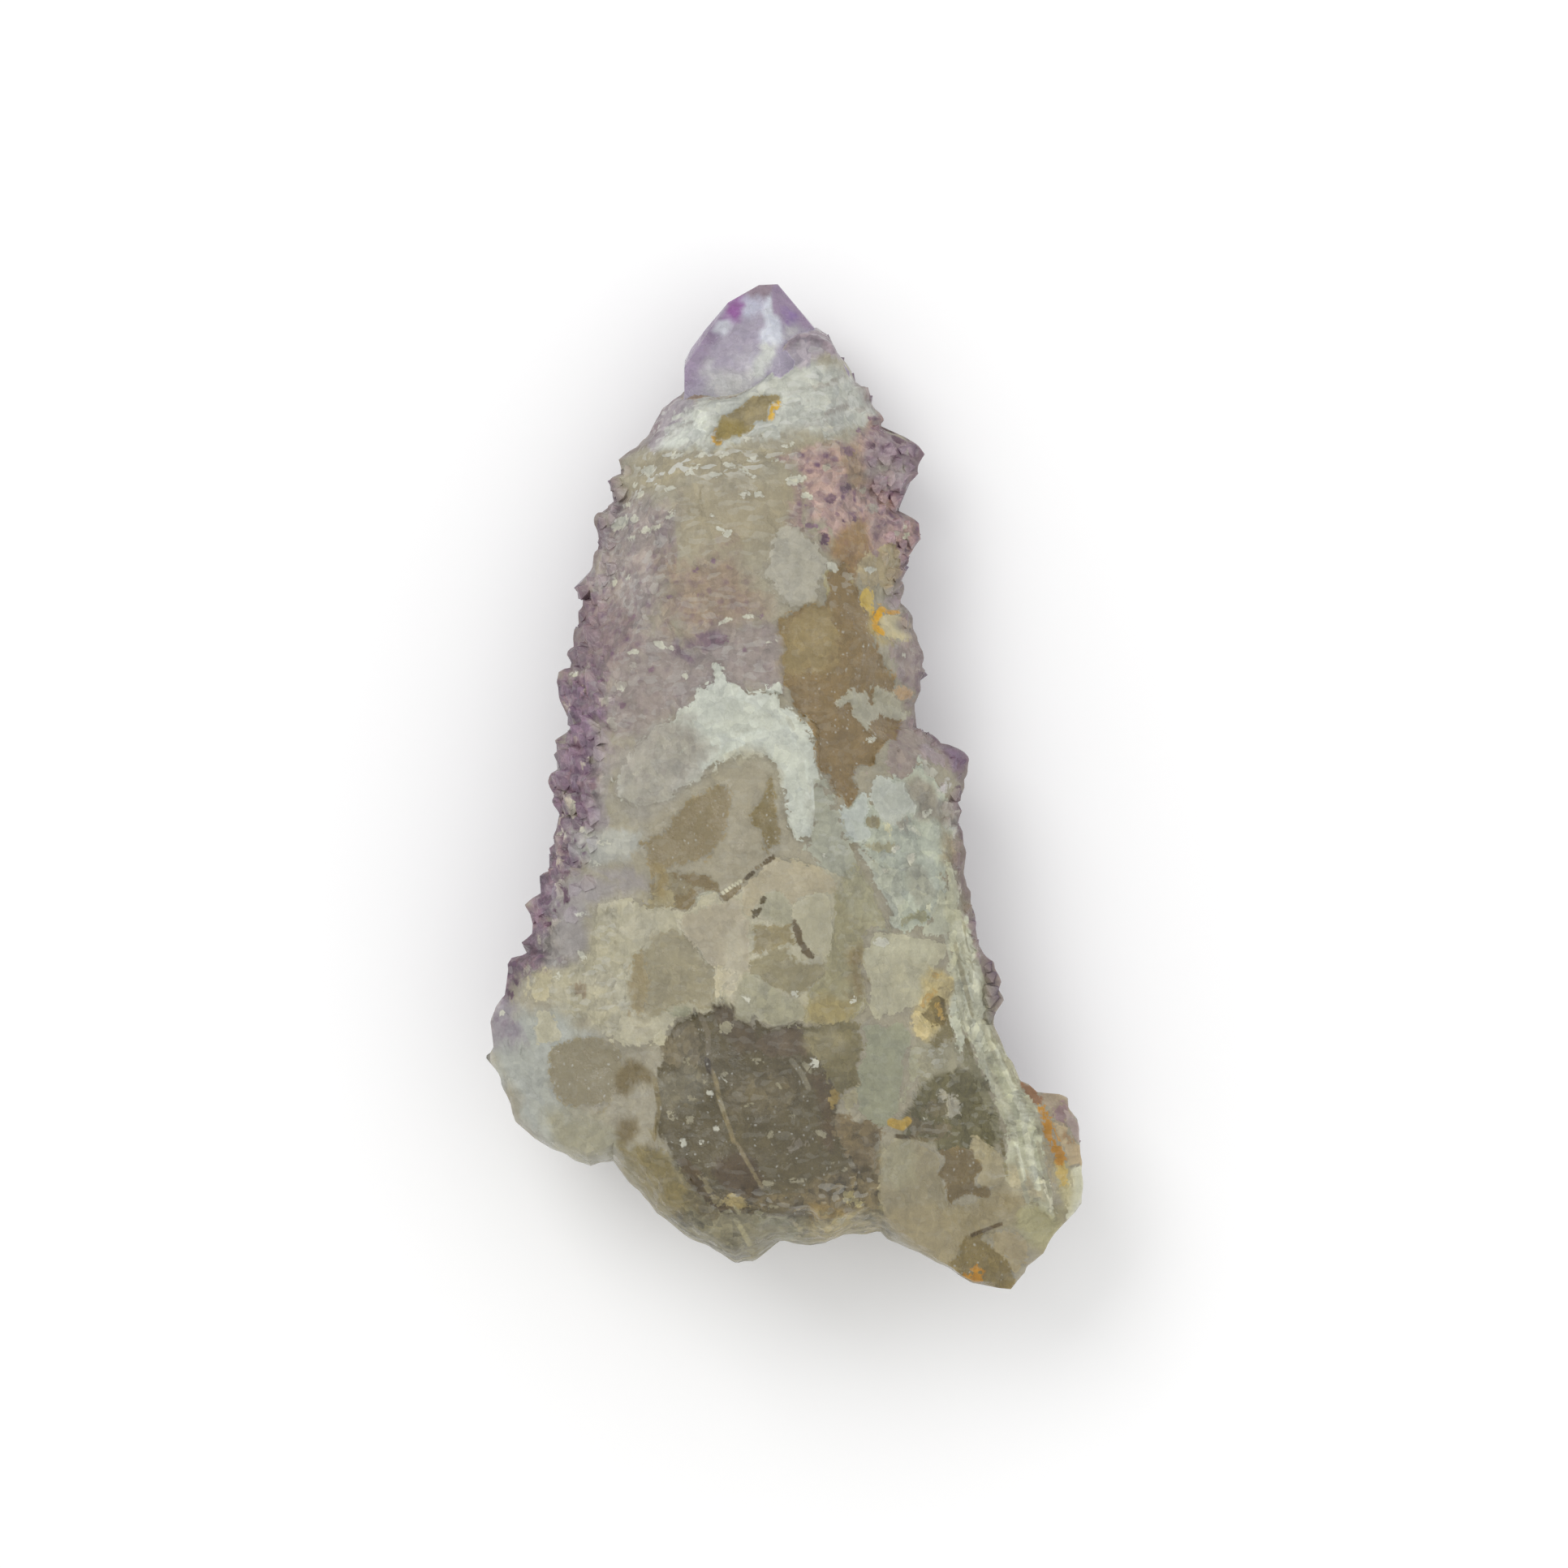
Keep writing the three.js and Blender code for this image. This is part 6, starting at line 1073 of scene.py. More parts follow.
def shoulder(distance, depth, power, rounded=False):
    """A rise from 0 at the edge to 1 at the depth."""
    share = 1 - (1 - np.clip(distance / depth, 0, 1)) ** power
    return np.sqrt(share) if rounded else share


def break_heights(breaks, x, y):
    """The height of each flat break at each place."""
    return [at[2] + rise[0] * (x - at[0]) + rise[1] * (y - at[1]) for at, rise in breaks]


def swell(x, y):
    """The slow rise and fall of the broken side: long waves and short ones, each crossed."""
    long = np.sin(0.33 * x + 1.9 * np.sin(0.13 * y + 0.6)) * np.sin(0.21 * y + 0.9)
    short = np.sin(0.74 * x - 0.52 * y + 2.1) + np.sin(0.95 * y + 0.61 * x + 0.4)
    return 0.45 * long + 0.16 * short


def studs(x, y, size, seed):
    """Blunt six-sided points close together: 1 at their tops, 0 between them."""
    nearest = np.full(np.shape(x), np.inf)
    for ci, cj, middle_x, middle_y in cells_round(x, y, size, seed, 0.2):
        across, up = x / size - middle_x, y / size - middle_y
        turn = lattice_hash(ci, cj, seed + 2) * math.pi / 3
        away = np.zeros(np.shape(x))
        for k in range(SIDES // 2):
            angle = turn + k * math.pi / 3
            away = np.maximum(away, np.abs(across * np.cos(angle) + up * np.sin(angle)))
        nearest = np.minimum(nearest, away * (0.8 + 0.4 * lattice_hash(ci, cj, seed + 3)))
    return np.clip(1 - 1.3 * nearest, 0, 1)


def tear(x, y):
    """How far a torn edge moves out at each place: angular pieces, small ones and a slow drift."""
    pieces = sum(reach * facets(x, y, size, seed, 0) for reach, size, seed in TORN_PIECES)
    reach, size, seed = TORN_DRIFT
    return pieces + reach * cloud(x, y, size, seed, 2)


def covers(spots, x, y):
    """Each spot with its signed distance to the torn outline."""
    torn = tear(x, y)
    for spot in spots:
        yield spot, inside(spot["outline"], x, y) + spot["torn"] * torn


def fibres():
    """Short thin veins side by side along each bundle's line."""
    found = []
    for row, (line, reach, count, light, dark) in enumerate(FIBRES):
        for k in range(count):
            start = 0.85 * lattice_hash(k, row, 3)
            places = np.linspace(start, min(start + 0.1 + 0.2 * lattice_hash(k, row, 5), 1), 4)
            xs, ys = along(line, places)
            run = np.hypot(xs[-1] - xs[0], ys[-1] - ys[0])
            aside = reach * (2 * lattice_hash(k, row, 7) - 1)
            points = list(zip(xs - aside * (ys[-1] - ys[0]) / run, ys + aside * (xs[-1] - xs[0]) / run))
            colour = mix(np.array(dark), np.array(light), lattice_hash(k, row, 9) ** 0.7)
            found.append(vein("fibre", colour, points, 0.08 + 0.1 * lattice_hash(k, row, 11)))
    return found


def piece_outline(x, y, length, width, angle):
    """The outline of a small angular piece."""
    turn = math.radians(angle)
    outline = []
    for k in range(PIECE_CORNERS):
        around = math.tau * (k + 0.6 * float(lattice_hash(x, y, k))) / PIECE_CORNERS
        run, side = 0.5 * length * math.cos(around), 0.5 * width * math.sin(around)
        along_x = run * math.cos(turn) - side * math.sin(turn)
        along_y = run * math.sin(turn) + side * math.cos(turn)
        outline.append((x + along_x, y + along_y))
    return outline


def near_each_other(one, other, gap=1.3):
    """Whether two outlines overlap or come closer than the gap."""
    for first, second in ((one, other), (other, one)):
        xs, ys = np.array(first["outline"], float).T
        if inside(second["outline"], xs, ys).max() > -gap:
            return True
    return False


def give_levels(spots):
    """Gives each crisp spot the lowest level above all that it covers and apart from all beside it."""
    crisp = [spot for spot in spots if spot["edge"] <= CRISP]
    for i, spot in enumerate(crisp):
        beside = [other for other in crisp[:i] if near_each_other(spot, other)]
        covered = [other["level"] for other in beside if near_each_other(spot, other, -OVERLAP)]
        level = max(covered, default=-1) + 1
        while level in [other["level"] for other in beside]:
            level += 1
        spot["level"] = level
    return 1 + max(spot["level"] for spot in crisp)


def plan(across, down):
    """The place seen from above, for shares across the host and down it, and the host's width there."""
    (left_x, left_y), (right_x, right_y) = along(LEFT_EDGE, down), along(RIGHT_EDGE, down)
    base_x = mix(LEFT_EDGE[-1][0], RIGHT_EDGE[-1][0], across)
    base_chord = mix(LEFT_EDGE[-1][1], RIGHT_EDGE[-1][1], across)
    base_pull = np.clip((down - PULL_FROM) / PULL_OVER, 0, 1) ** PULL_POWER
    top_x = mix(LEFT_EDGE[0][0], RIGHT_EDGE[0][0], across)
    top_pull = np.clip(1 - down / TOP_REACH, 0, 1)
    x = mix(left_x, right_x, across)
    y = mix(left_y, right_y, across)
    y = y + base_pull * (look(BASE_EDGE, base_x) - base_chord)
    y = y + top_pull * (look(TOP_EDGE, top_x) - LEFT_EDGE[0][1])
    return x, y, right_x - left_x


def edge_x(edge, y):
    """The x of an edge of (x, y) points at each y."""
    return look([(point[1], point[0]) for point in edge], y)


def teeth(y, to_left, to_right):
    """How far the rim's teeth move a place along X: all the way at the rim, fading inwards."""
    left = edge_x(LEFT_TEETH, y) - edge_x(LEFT_EDGE, y)
    right = edge_x(RIGHT_TEETH, y) - edge_x(RIGHT_EDGE, y)
    left_share = (1 - np.clip(to_left / TEETH_FADE, 0, 1)) ** 2
    right_share = (1 - np.clip(to_right / TEETH_FADE, 0, 1)) ** 2
    return left * left_share + right * right_share


def saw(x, length, shift):
    """A row of straight-sided teeth from 0 to 1, each of the length given."""
    return np.abs((x / length + shift) % 1 - 0.5) * 2


def chips(x, phase):
    """Large and small teeth broken out of the base."""
    return 0.6 * saw(x, 9.7, phase) + 0.4 * saw(x, 4.3, phase * 2.3 + 0.2)


def fine_relief(x, y):
    """What the solid is too coarse for: ledges with torn edges, flat fracture cells and fine roughness."""
    lift = np.zeros(np.shape(x))
    for spot, away in covers([spot for spot in PATCHES if spot["lift"]], x, y):
        lift = mix(lift, LIFT_SHARE * spot["lift"], smoothstep(-0.35, 0.35, away))
    for line in VEINS:
        if line["depth"]:
            lift -= line["depth"] * np.exp(-((distance_to(line["points"], x, y) / line["width"]) ** 2))
    drift_x, drift_y = DRIFT * cloud(x, y, DRIFT_SIZE, 41), DRIFT * cloud(x, y, DRIFT_SIZE, 47)
    for (height, size, seed), noise in (
        (SOFT_LUMPS, lambda size, seed: cloud(x, y, size, seed, 2)),
        (LARGE_CELLS, lambda size, seed: facets(x + drift_x, y + drift_y, size, seed)),
        (SMALL_CELLS, lambda size, seed: facets(x + drift_y, y + drift_x, size, seed)),
        (GRAIN, lambda size, seed: cloud(x, y, size, seed, 2)),
    ):
        lift += height * noise(size, seed)
    upper = smoothstep(20, 25, y)
    lift += STREAK_HEIGHT * upper * streaks(x, y, *UPPER_STREAKS)
    ridge = smoothstep(11, 12.5, x - 0.33 * (-12 - y)) * smoothstep(-6, -9, y)
    lift += STREAK_HEIGHT * ridge * streaks(x, y, *RIDGE_STREAKS)
    for spot, away in covers([spot for spot in ZONES if "studs" in spot["marks"]], x, y):
        points = studs(x + 0.4 * drift_x, y, STUD_SIZE, 91)
        lift += spot["marks"]["studs"] * smoothstep(-0.6, 0.6, away) * points
    return lift


def host_point(across, down, front, fine=False):
    """Arrays of x, y and z of the host's surface, on the broken side (front) or on the underside."""
    x, y, width = plan(across, down)
    x = x + teeth(y, across * width, (1 - across) * width)
    to_base = y - plan(across, 1.0)[1]
    in_wall = np.clip(to_base / BASE_WALL, 0, 1)
    notch = np.minimum(np.minimum(in_wall * 4, (1 - in_wall) * 1.4), 1)
    y = y + BASE_CHIPS * chips(x, CHIP_STARTS[front]) * notch
    from_tip = plan(across, 0.0)[1] - y
    ends = shoulder(to_base, BASE_WALL, 2, True) * shoulder(from_tip, TIP_SLOPE, 2)
    to_side = np.minimum(across, 1 - across) * width
    mid = look(MID_HEIGHT, y)
    if fine:
        x, y = x + WANDER * cloud(x, y, WANDER_SIZE, 91, 2), y + WANDER * cloud(x, y, WANDER_SIZE, 97, 2)
    if front:
        flank = shoulder(to_side, FLANK_SHARE * width, 2) * ends
        from_side, from_base, from_end = (
            np.clip(away / margin, 0, 1) for away, margin in zip((to_side, to_base, from_tip), SWELL_MARGINS)
        )
        inner = from_side * from_base * from_end
        top = mid + look(FRONT_RISE, y) * flank
        for height in break_heights(FRONT_BREAKS, x, y):
            top = np.minimum(top, height)
        top = np.maximum(mid, top)
        relief = fine_relief(x, y) * np.clip(to_side / RELIEF_MARGIN, 0, 1) if fine else 0
        return x, y, top + relief * np.clip(np.minimum(to_base, from_tip), 0, 1) + swell(x, y) * inner
    belly = mid - (mid - FLOOR_GAP) * shoulder(to_side, BELLY_SHARE * width, 2, True) * ends
    for height in break_heights(UNDER_BREAKS, x, y):
        belly = np.maximum(belly, height)
    return x, y, np.minimum(mid, belly)


def mesh_of(name, points, faces):
    """A mesh from points in millimetres in the outlines' own frame."""
    placed = (np.asarray(points, float) - np.array([*MIDDLE, 0])) * MM
    mesh = bpy.data.meshes.new(name)
    mesh.from_pydata(placed.tolist(), [], faces)
    mesh.validate()
    mesh.update()
    return mesh


def object_of(name, mesh):
    made = bpy.data.objects.new(name, mesh)
    bpy.context.scene.collection.objects.link(made)
    return made


def crowded(cells, share):
    """Numbers from 0 to 1 that lie closer together towards both ends."""
    even = np.linspace(0, 1, cells + 1)
    return mix(even, 0.5 - 0.5 * np.cos(np.pi * even), share)


def host_mesh():
    """The host as a closed pillow: the two sides meet along the outline."""
    across, down = crowded(CELLS_ACROSS, CROWDING_ACROSS), crowded(CELLS_ALONG, CROWDING_ALONG)
    grid_across, grid_down = np.meshgrid(across, down)
    top = np.stack(host_point(grid_across, grid_down, True, fine=True), -1)
    under = np.stack(host_point(grid_across, grid_down, False), -1)
    rows, columns = grid_across.shape
    size = rows * columns
    points = np.concatenate([top.reshape(-1, 3), under.reshape(-1, 3)])
    index = np.arange(size).reshape(rows, columns)
    below = index + size
    below[0], below[-1], below[:, 0], below[:, -1] = index[0], index[-1], index[:, 0], index[:, -1]
    quads = np.stack([index[:-1, :-1], index[1:, :-1], index[1:, 1:], index[:-1, 1:]], -1).reshape(-1, 4)
    faces = quads.tolist()
    step = UNDER_STEP
    for j in range(0, rows - 1, step):
        for i in range(0, columns - 1, step):
            top_row = below[j, i:i + step + 1] if j == 0 else below[j, i:i + step + 1:step]
            last_row = j + step == rows - 1
            low_row = below[j + step, i:i + step + 1] if last_row else below[j + step, i:i + step + 1:step]
            right = below[j + 1:j + step, i + step] if i + step == columns - 1 else []
            left = below[j + 1:j + step, i] if i == 0 else []
            border = [*top_row, *right, *low_row[::-1], *left[::-1]]
            faces.append([int(corner) for corner in border])
    used = np.unique(np.concatenate([np.ravel(face) for face in faces]))
    renumber = np.full(len(points), -1)
    renumber[used] = np.arange(len(used))
    faces = [[int(renumber[corner]) for corner in face] for face in faces]
    return mesh_of("host", points[used], faces)


def tip_points():
    """The corners of the host's own termination: its prism and its chisel-shaped point."""
    points = []
    for (x, z), shoulder_y in zip(TIP_SECTION, TIP_SHOULDERS):
        points.append((x, shoulder_y, z))
        points.append((x, TIP_FOOT, z))
    return points + TIP_APEXES


def hull_mesh(name, points, cuts=0):
    """The convex hull of points, its faces cut into smaller ones for the paint."""
    shape = bmesh.new()
    corners = [shape.verts.new([(p - m) * MM for p, m in zip(point, (*MIDDLE, 0))]) for point in points]
    made = bmesh.ops.convex_hull(shape, input=corners)
    left_over = made["geom_interior"] + made["geom_unused"]
    spare = {item for item in left_over if isinstance(item, bmesh.types.BMVert)}
    bmesh.ops.delete(shape, geom=list(spare), context="VERTS")
    bmesh.ops.recalc_face_normals(shape, faces=shape.faces)
    for _ in range(cuts):
        bmesh.ops.subdivide_edges(shape, edges=list(shape.edges), cuts=1, use_grid_fill=True)
    mesh = bpy.data.meshes.new(name)
    shape.to_mesh(mesh)
    shape.free()
    return mesh


def crystal(apex, direction, radius, seed, column=0.0):
    """Points and faces of a small six-sided crystal, its root a point or a column of the length given."""
    axis = Vector(direction).normalized()
    turn = Vector((0, 0, 1)).rotation_difference(axis)
    apex = Vector(apex)
    points = [apex[:]]
    rings = [(PYRAMID, 1.0)] + ([(PYRAMID + column, COLUMN_FOOT)] if column else [])
    for drop, size in rings:
        for k in range(SIDES):
            angle = math.tau * (k + lattice_hash(seed, 1)) / SIDES
            reach = radius * size * (CORNER_LEAST + CORNER_SPREAD * lattice_hash(seed, k, 2))
            corner = Vector((reach * math.cos(angle), reach * math.sin(angle), -drop * radius))
            points.append((turn @ corner + apex)[:])
    points.append((apex - axis * (PYRAMID + ROOT) * radius)[:])
    last = 1 + SIDES * (len(rings) - 1)
    foot = len(points) - 1
    faces = []
    for k in range(SIDES):
        after = (k + 1) % SIDES
        faces.append((0, 1 + k, 1 + after))
        if column:
            faces.append((1 + k, 1 + SIDES + k, 1 + SIDES + after, 1 + after))
        faces.append((last + k, foot, last + after))
    return {
        "apex": apex, "radius": radius, "centre": apex - axis * PYRAMID * radius, "reach": radius * REACH,
        "points": points, "faces": faces,
    }


def ring_point(place, down):
    """A point of the ring round the host: 0 to 1 crosses the underside, beyond them is the broken side."""
    if place < 0:
        return Vector([float(v) for v in host_point(-place, down, True)])
    if place > 1:
        return Vector([float(v) for v in host_point(2 - place, down, True)])
    return Vector([float(v) for v in host_point(place, down, False)])


def ring_normal(place, down):
    """The direction that the host's surface faces at a point of the ring."""
    step = 0.02
    sideways = ring_point(place + step, down) - ring_point(place - step, down)
    back = ring_point(place, max(down - step, 0)) - ring_point(place, min(down + step, 1))
    return back.cross(sideways).normalized()


def ring_line(down, low, high, steps=80):
    """Points of the ring at one level, worked out together."""
    places = np.array([mix(low, high, i / steps) for i in range(steps + 1)])
    levels = np.full(places.shape, down)
    under = np.stack(host_point(np.clip(places, 0, 1), levels, False), -1)
    over_left = np.stack(host_point(np.clip(-places, 0, 1), levels, True), -1)
    over_right = np.stack(host_point(np.clip(2 - places, 0, 1), levels, True), -1)
    line = np.where((places < 0)[:, None], over_left, np.where((places > 1)[:, None], over_right, under))
    return places, line


def ring_places(row, down, low, high, spacing, seed):
    """Where the crystals of one row stand on the ring, about as far apart as the spacing."""
    places, line = ring_line(down, low, high)
    walked = np.concatenate([[0], np.cumsum(np.linalg.norm(np.diff(line, axis=0), axis=1))])
    count = max(4, math.floor(walked[-1] / spacing + 0.5))
    targets = []
    for column in range(count):
        jitter = (lattice_hash(row, column, 5 + seed) - 0.5) * COLUMN_JITTER
        shift = (row % 2) * 0.5 + COLUMN_START + jitter
        targets.append(min(max((column + shift) / count, 0), 1) * walked[-1])
    return np.interp(targets, walked, places)


def shown_bare(point):
    """Whether a place is on the side lobe's pale face, which has no crystals."""
    seen = point.z > look(MID_HEIGHT, point.y) - BARE_LOBE_DEPTH
    return point.x > BARE_LOBE[0] and point.y < BARE_LOBE[1] and seen


def within_rim(point):
    """The point, moved inwards where it would stand out past the rim's teeth."""
    low, high = edge_x(LEFT_TEETH, point.y) + RIM_GAP, edge_x(RIGHT_TEETH, point.y) - RIM_GAP
    return Vector((min(max(point.x, low), high), point.y, point.z))


def crust(generation):
    """Rows of crystals round the host, leaning towards its termination."""
    found = []
    seed = generation["seed"]
    host_length = plan(0.5, 0.0)[1] - plan(0.5, 1.0)[1]
    from_tip = FIRST_ROW
    row = 0
    while from_tip < host_length:
        down = from_tip / host_length
        spacing = mix(*generation["spacing"], down)
        _, mid_y, width = plan(0.5, down)
        low, high = (
            (-lap if lap > generation["rim"] else generation["rim"]) / width
            for lap in (generation["over"] * look(laps, mid_y) for laps in (LAP_LEFT, LAP_RIGHT))
        )
        high = 1 - high
        for column, place in enumerate(ring_places(row, down, low, high, spacing, seed)):
            jitter = (lattice_hash(row, column, 6 + seed) - 0.5) * LEVEL_JITTER
            level = min(max(down + jitter * spacing / host_length, 0.01), 0.99)
            seat = ring_point(place, level)
            to_base = seat.y - float(plan(min(max(place, 0), 1), 1.0)[1])
            if to_base < BARE_BASE or seat.y < CRUST_END or shown_bare(seat):
                continue
            size = SIZE_LEAST + SIZE_SPREAD * lattice_hash(row, column, 7 + seed)
            radius = mix(*generation["radius"], down) * size
            direction = ring_normal(place, level)
            direction.y += LEAN
            direction.x += (lattice_hash(row, column, 8 + seed) - 0.5) * HEADING_JITTER
            direction.normalize()
            stand = STAND_LEAST + STAND_SPREAD * lattice_hash(row, column, 9 + seed)
            apex = seat + direction * radius * stand
            found.append(crystal(within_rim(apex), direction, radius, row * 100 + column + 1000 * seed))
        from_tip += spacing * ROW_SHARE
        row += 1
    return found


def edge_crystals():
    """The larger crystals that show on the outline."""
    found = []
    for i, (point, heading, radius, above) in enumerate(EDGE_CRYSTALS):
        angle = math.radians(heading)
        apex = (*point, float(look(MID_HEIGHT, point[1])) + above)
        direction = (math.cos(angle), math.sin(angle), EDGE_DIP)
        found.append(crystal(apex, direction, radius, EDGE_SEED + i, EDGE_COLUMN))
    return found


def apart(crystals):
    """The crystals in groups whose members don't touch each other, because a join needs that."""

    def clear(one, other):
        return (one["centre"] - other["centre"]).length > one["reach"] + other["reach"]

    groups = []
    for one in sorted(crystals, key=lambda item: -item["reach"]):
        for group in groups:
            if all(clear(one, other) for other in group):
                group.append(one)
                break
        else:
            groups.append([one])
    return groups


def joined(base, other, operation="UNION"):
    """Joins another object to the base object, or cuts it from it, and deletes the other."""
    join = base.modifiers.new("join", "BOOLEAN")
    join.operation = operation
    join.solver = "MANIFOLD"
    join.object = other
    mesh = bpy.data.meshes.new_from_object(base.evaluated_get(bpy.context.evaluated_depsgraph_get()))
    base.modifiers.clear()
    old, spare = base.data, other.data
    base.data = mesh
    bpy.data.objects.remove(other)
    bpy.data.meshes.remove(old)
    bpy.data.meshes.remove(spare)


def linear(colour):
    """An sRGB colour of 0 to 255 as a linear one of 0 to 1."""
    values = np.asarray(colour, float) / 255
    return np.where(values <= 0.04045, values / 12.92, ((values + 0.055) / 1.055) ** 2.4)


def toned(colour):
    """A linear colour as the paint has it."""
    middle = linear(MIDDLE_TONE)
    return PAINT_SCALE * middle * (np.maximum(colour, 0) / middle) ** PAINT_POWER


MARKS = ("specks", "flecks", "mottle", "smoky")
# How much a painted shadow darkens just outside a flake's edge, and a painted highlight lightens just inside
# it
EDGE_SHADOW = 0.87
EDGE_HIGHLIGHT = 1.1


def painted(x, y, ground, spots):
    """Linear colour at each place, the crisp layers over it, and how much it has of each mark.

    A layer is a colour and how deep the place lies inside its outline, in half edge widths.
    """
    colour = np.tile(linear(ground), (len(x), 1))
    marks = np.tile(START_MARKS, (len(x), 1))
    layers = [np.tile(EMPTY_LAYER, (len(x), 1)) for _ in range(LEVELS)]
    for spot, away in covers(spots, x, y):
        tint = linear(spot["colour"])
        share = smoothstep(-0.5, 0.5, away / spot["edge"]) * spot["cover"]
        for k, mark in enumerate(MARKS):
            if mark in spot["marks"] or mark == "smoky":
                marks[:, k] = mix(marks[:, k], spot["marks"].get(mark, 0), share)
        if spot["level"] is None:
            colour = mix(colour, tint, share[:, None])
            for layer in layers:
                layer[:, :3] = mix(layer[:, :3], tint, share[:, None])
            continue
        layer = layers[spot["level"]]
        depth = 2 * away / spot["edge"]
        deeper = depth > layer[:, 3]
        layer[deeper, :3] = tint
        layer[deeper, 3] = depth[deeper]
    return colour, layers, marks


def veined(x, y):
    """The veins as a layer: their colour, and how deep the place lies in them, in half their softness."""
    layer = np.tile(EMPTY_LAYER, (len(x), 1))
    for line in VEINS + fibres():
        depth = (line["width"] - distance_to(line["points"], x, y)) / VEIN_SOFTNESS
        deeper = depth > layer[:, 3]
        layer[deeper, :3] = linear(line["colour"])
        layer[deeper, 3] = depth[deeper]
    return layer


MILKY, DRUSE, TIP, SMOKY = range(4)


def give_slots(thing, materials, index):
    """Gives the thing all the materials, so that joins keep their order, and all its faces one of them."""
    for material in materials:
        thing.data.materials.append(material)
    thing.data.polygons.foreach_set("material_index", [index] * len(thing.data.polygons))


def rest_points():
    """The corners of the flat six-sided crystal that the cluster rests on."""
    points = []
    for k in range(SIDES):
        angle = math.tau * k / SIDES
        for z in (REST_CRYSTAL["bottom"], REST_CRYSTAL["top"]):
            x = REST_CRYSTAL["at"][0] + REST_CRYSTAL["radius"] * math.cos(angle)
            y = REST_CRYSTAL["at"][1] + REST_CRYSTAL["radius"] * REST_CRYSTAL["squash"] * math.sin(angle)
            points.append((x, y, z))
    return points


def build_cluster(materials):
    """The host with all its crystals as one mesh, and the list of the crystals."""
    cluster = object_of("quartz_body", host_mesh())
    give_slots(cluster, materials, MILKY)

    def add(name, mesh, index, operation="UNION"):
        thing = object_of(name, mesh)
        give_slots(thing, materials, index)
        joined(cluster, thing, operation)

    add("tip", hull_mesh("tip", tip_points(), TIP_CUTS), TIP)
    add("rest", hull_mesh("rest", rest_points()), DRUSE)
    crystals = edge_crystals()
    for generation in GENERATIONS:
        crystals += crust(generation)
    for group in apart(crystals):
        points, faces = [], []
        for one in group:
            start = len(points)
            points += one["points"]
            faces += [[start + corner for corner in face] for face in one["faces"]]
        add("druse", mesh_of("druse", points, faces), DRUSE)
    corners = [(x, y, z) for x in FLOOR_SLAB[0] for y in FLOOR_SLAB[1] for z in FLOOR_SLAB[2]]
    add("slab", hull_mesh("slab", corners), DRUSE, "DIFFERENCE")
    return cluster, crystals


def vertex_places(mesh):
    """The mesh's points in millimetres in the outlines' own frame."""
    places = np.empty(len(mesh.vertices) * 3)
    mesh.vertices.foreach_get("co", places)
    return places.reshape(-1, 3) / MM + np.array([*MIDDLE, 0])


def nearest_apex(places, crystals):
    """For each place, its distance to the nearest crystal's point in that crystal's radii."""
    tree = kdtree.KDTree(len(crystals))
    for i, one in enumerate(crystals):
        tree.insert(one["apex"], i)
    tree.balance()
    shares = np.empty(len(places))
    for i, place in enumerate(places):
        _, found, away = tree.find(place)
        shares[i] = away / crystals[found]["radius"]
    return shares


def rim_share(x, y):
    """How much of the rim's darker purple each place has."""
    to_right = 2 + edge_x(RIGHT_TEETH, y) - x - 2 * smoothstep(-18, -14, y)
    to_rim = np.minimum(x - edge_x(LEFT_TEETH, y), to_right)
    return smoothstep(RIM_WIDTH, 0.2, to_rim + 0.5 * cloud(x, y, 1.1, 131, 2)) * smoothstep(-16, -12, y)


def side_colour(x, y, z):
    """The flanks: lilac in soft lumps, and the bare break at the base."""
    lumps = 0.5 + 0.5 * cloud(x + 0.7 * z, y - 0.4 * z, 5, 121)
    side = mix(linear(SIDE_COLOUR), linear(SIDE_PALE), np.clip(lumps, 0, 1)[:, None])
    broken = smoothstep(6.5, 4, y - look(BASE_EDGE, x))[:, None]
    return mix(side, linear(BROKEN_SIDE_COLOUR), broken)


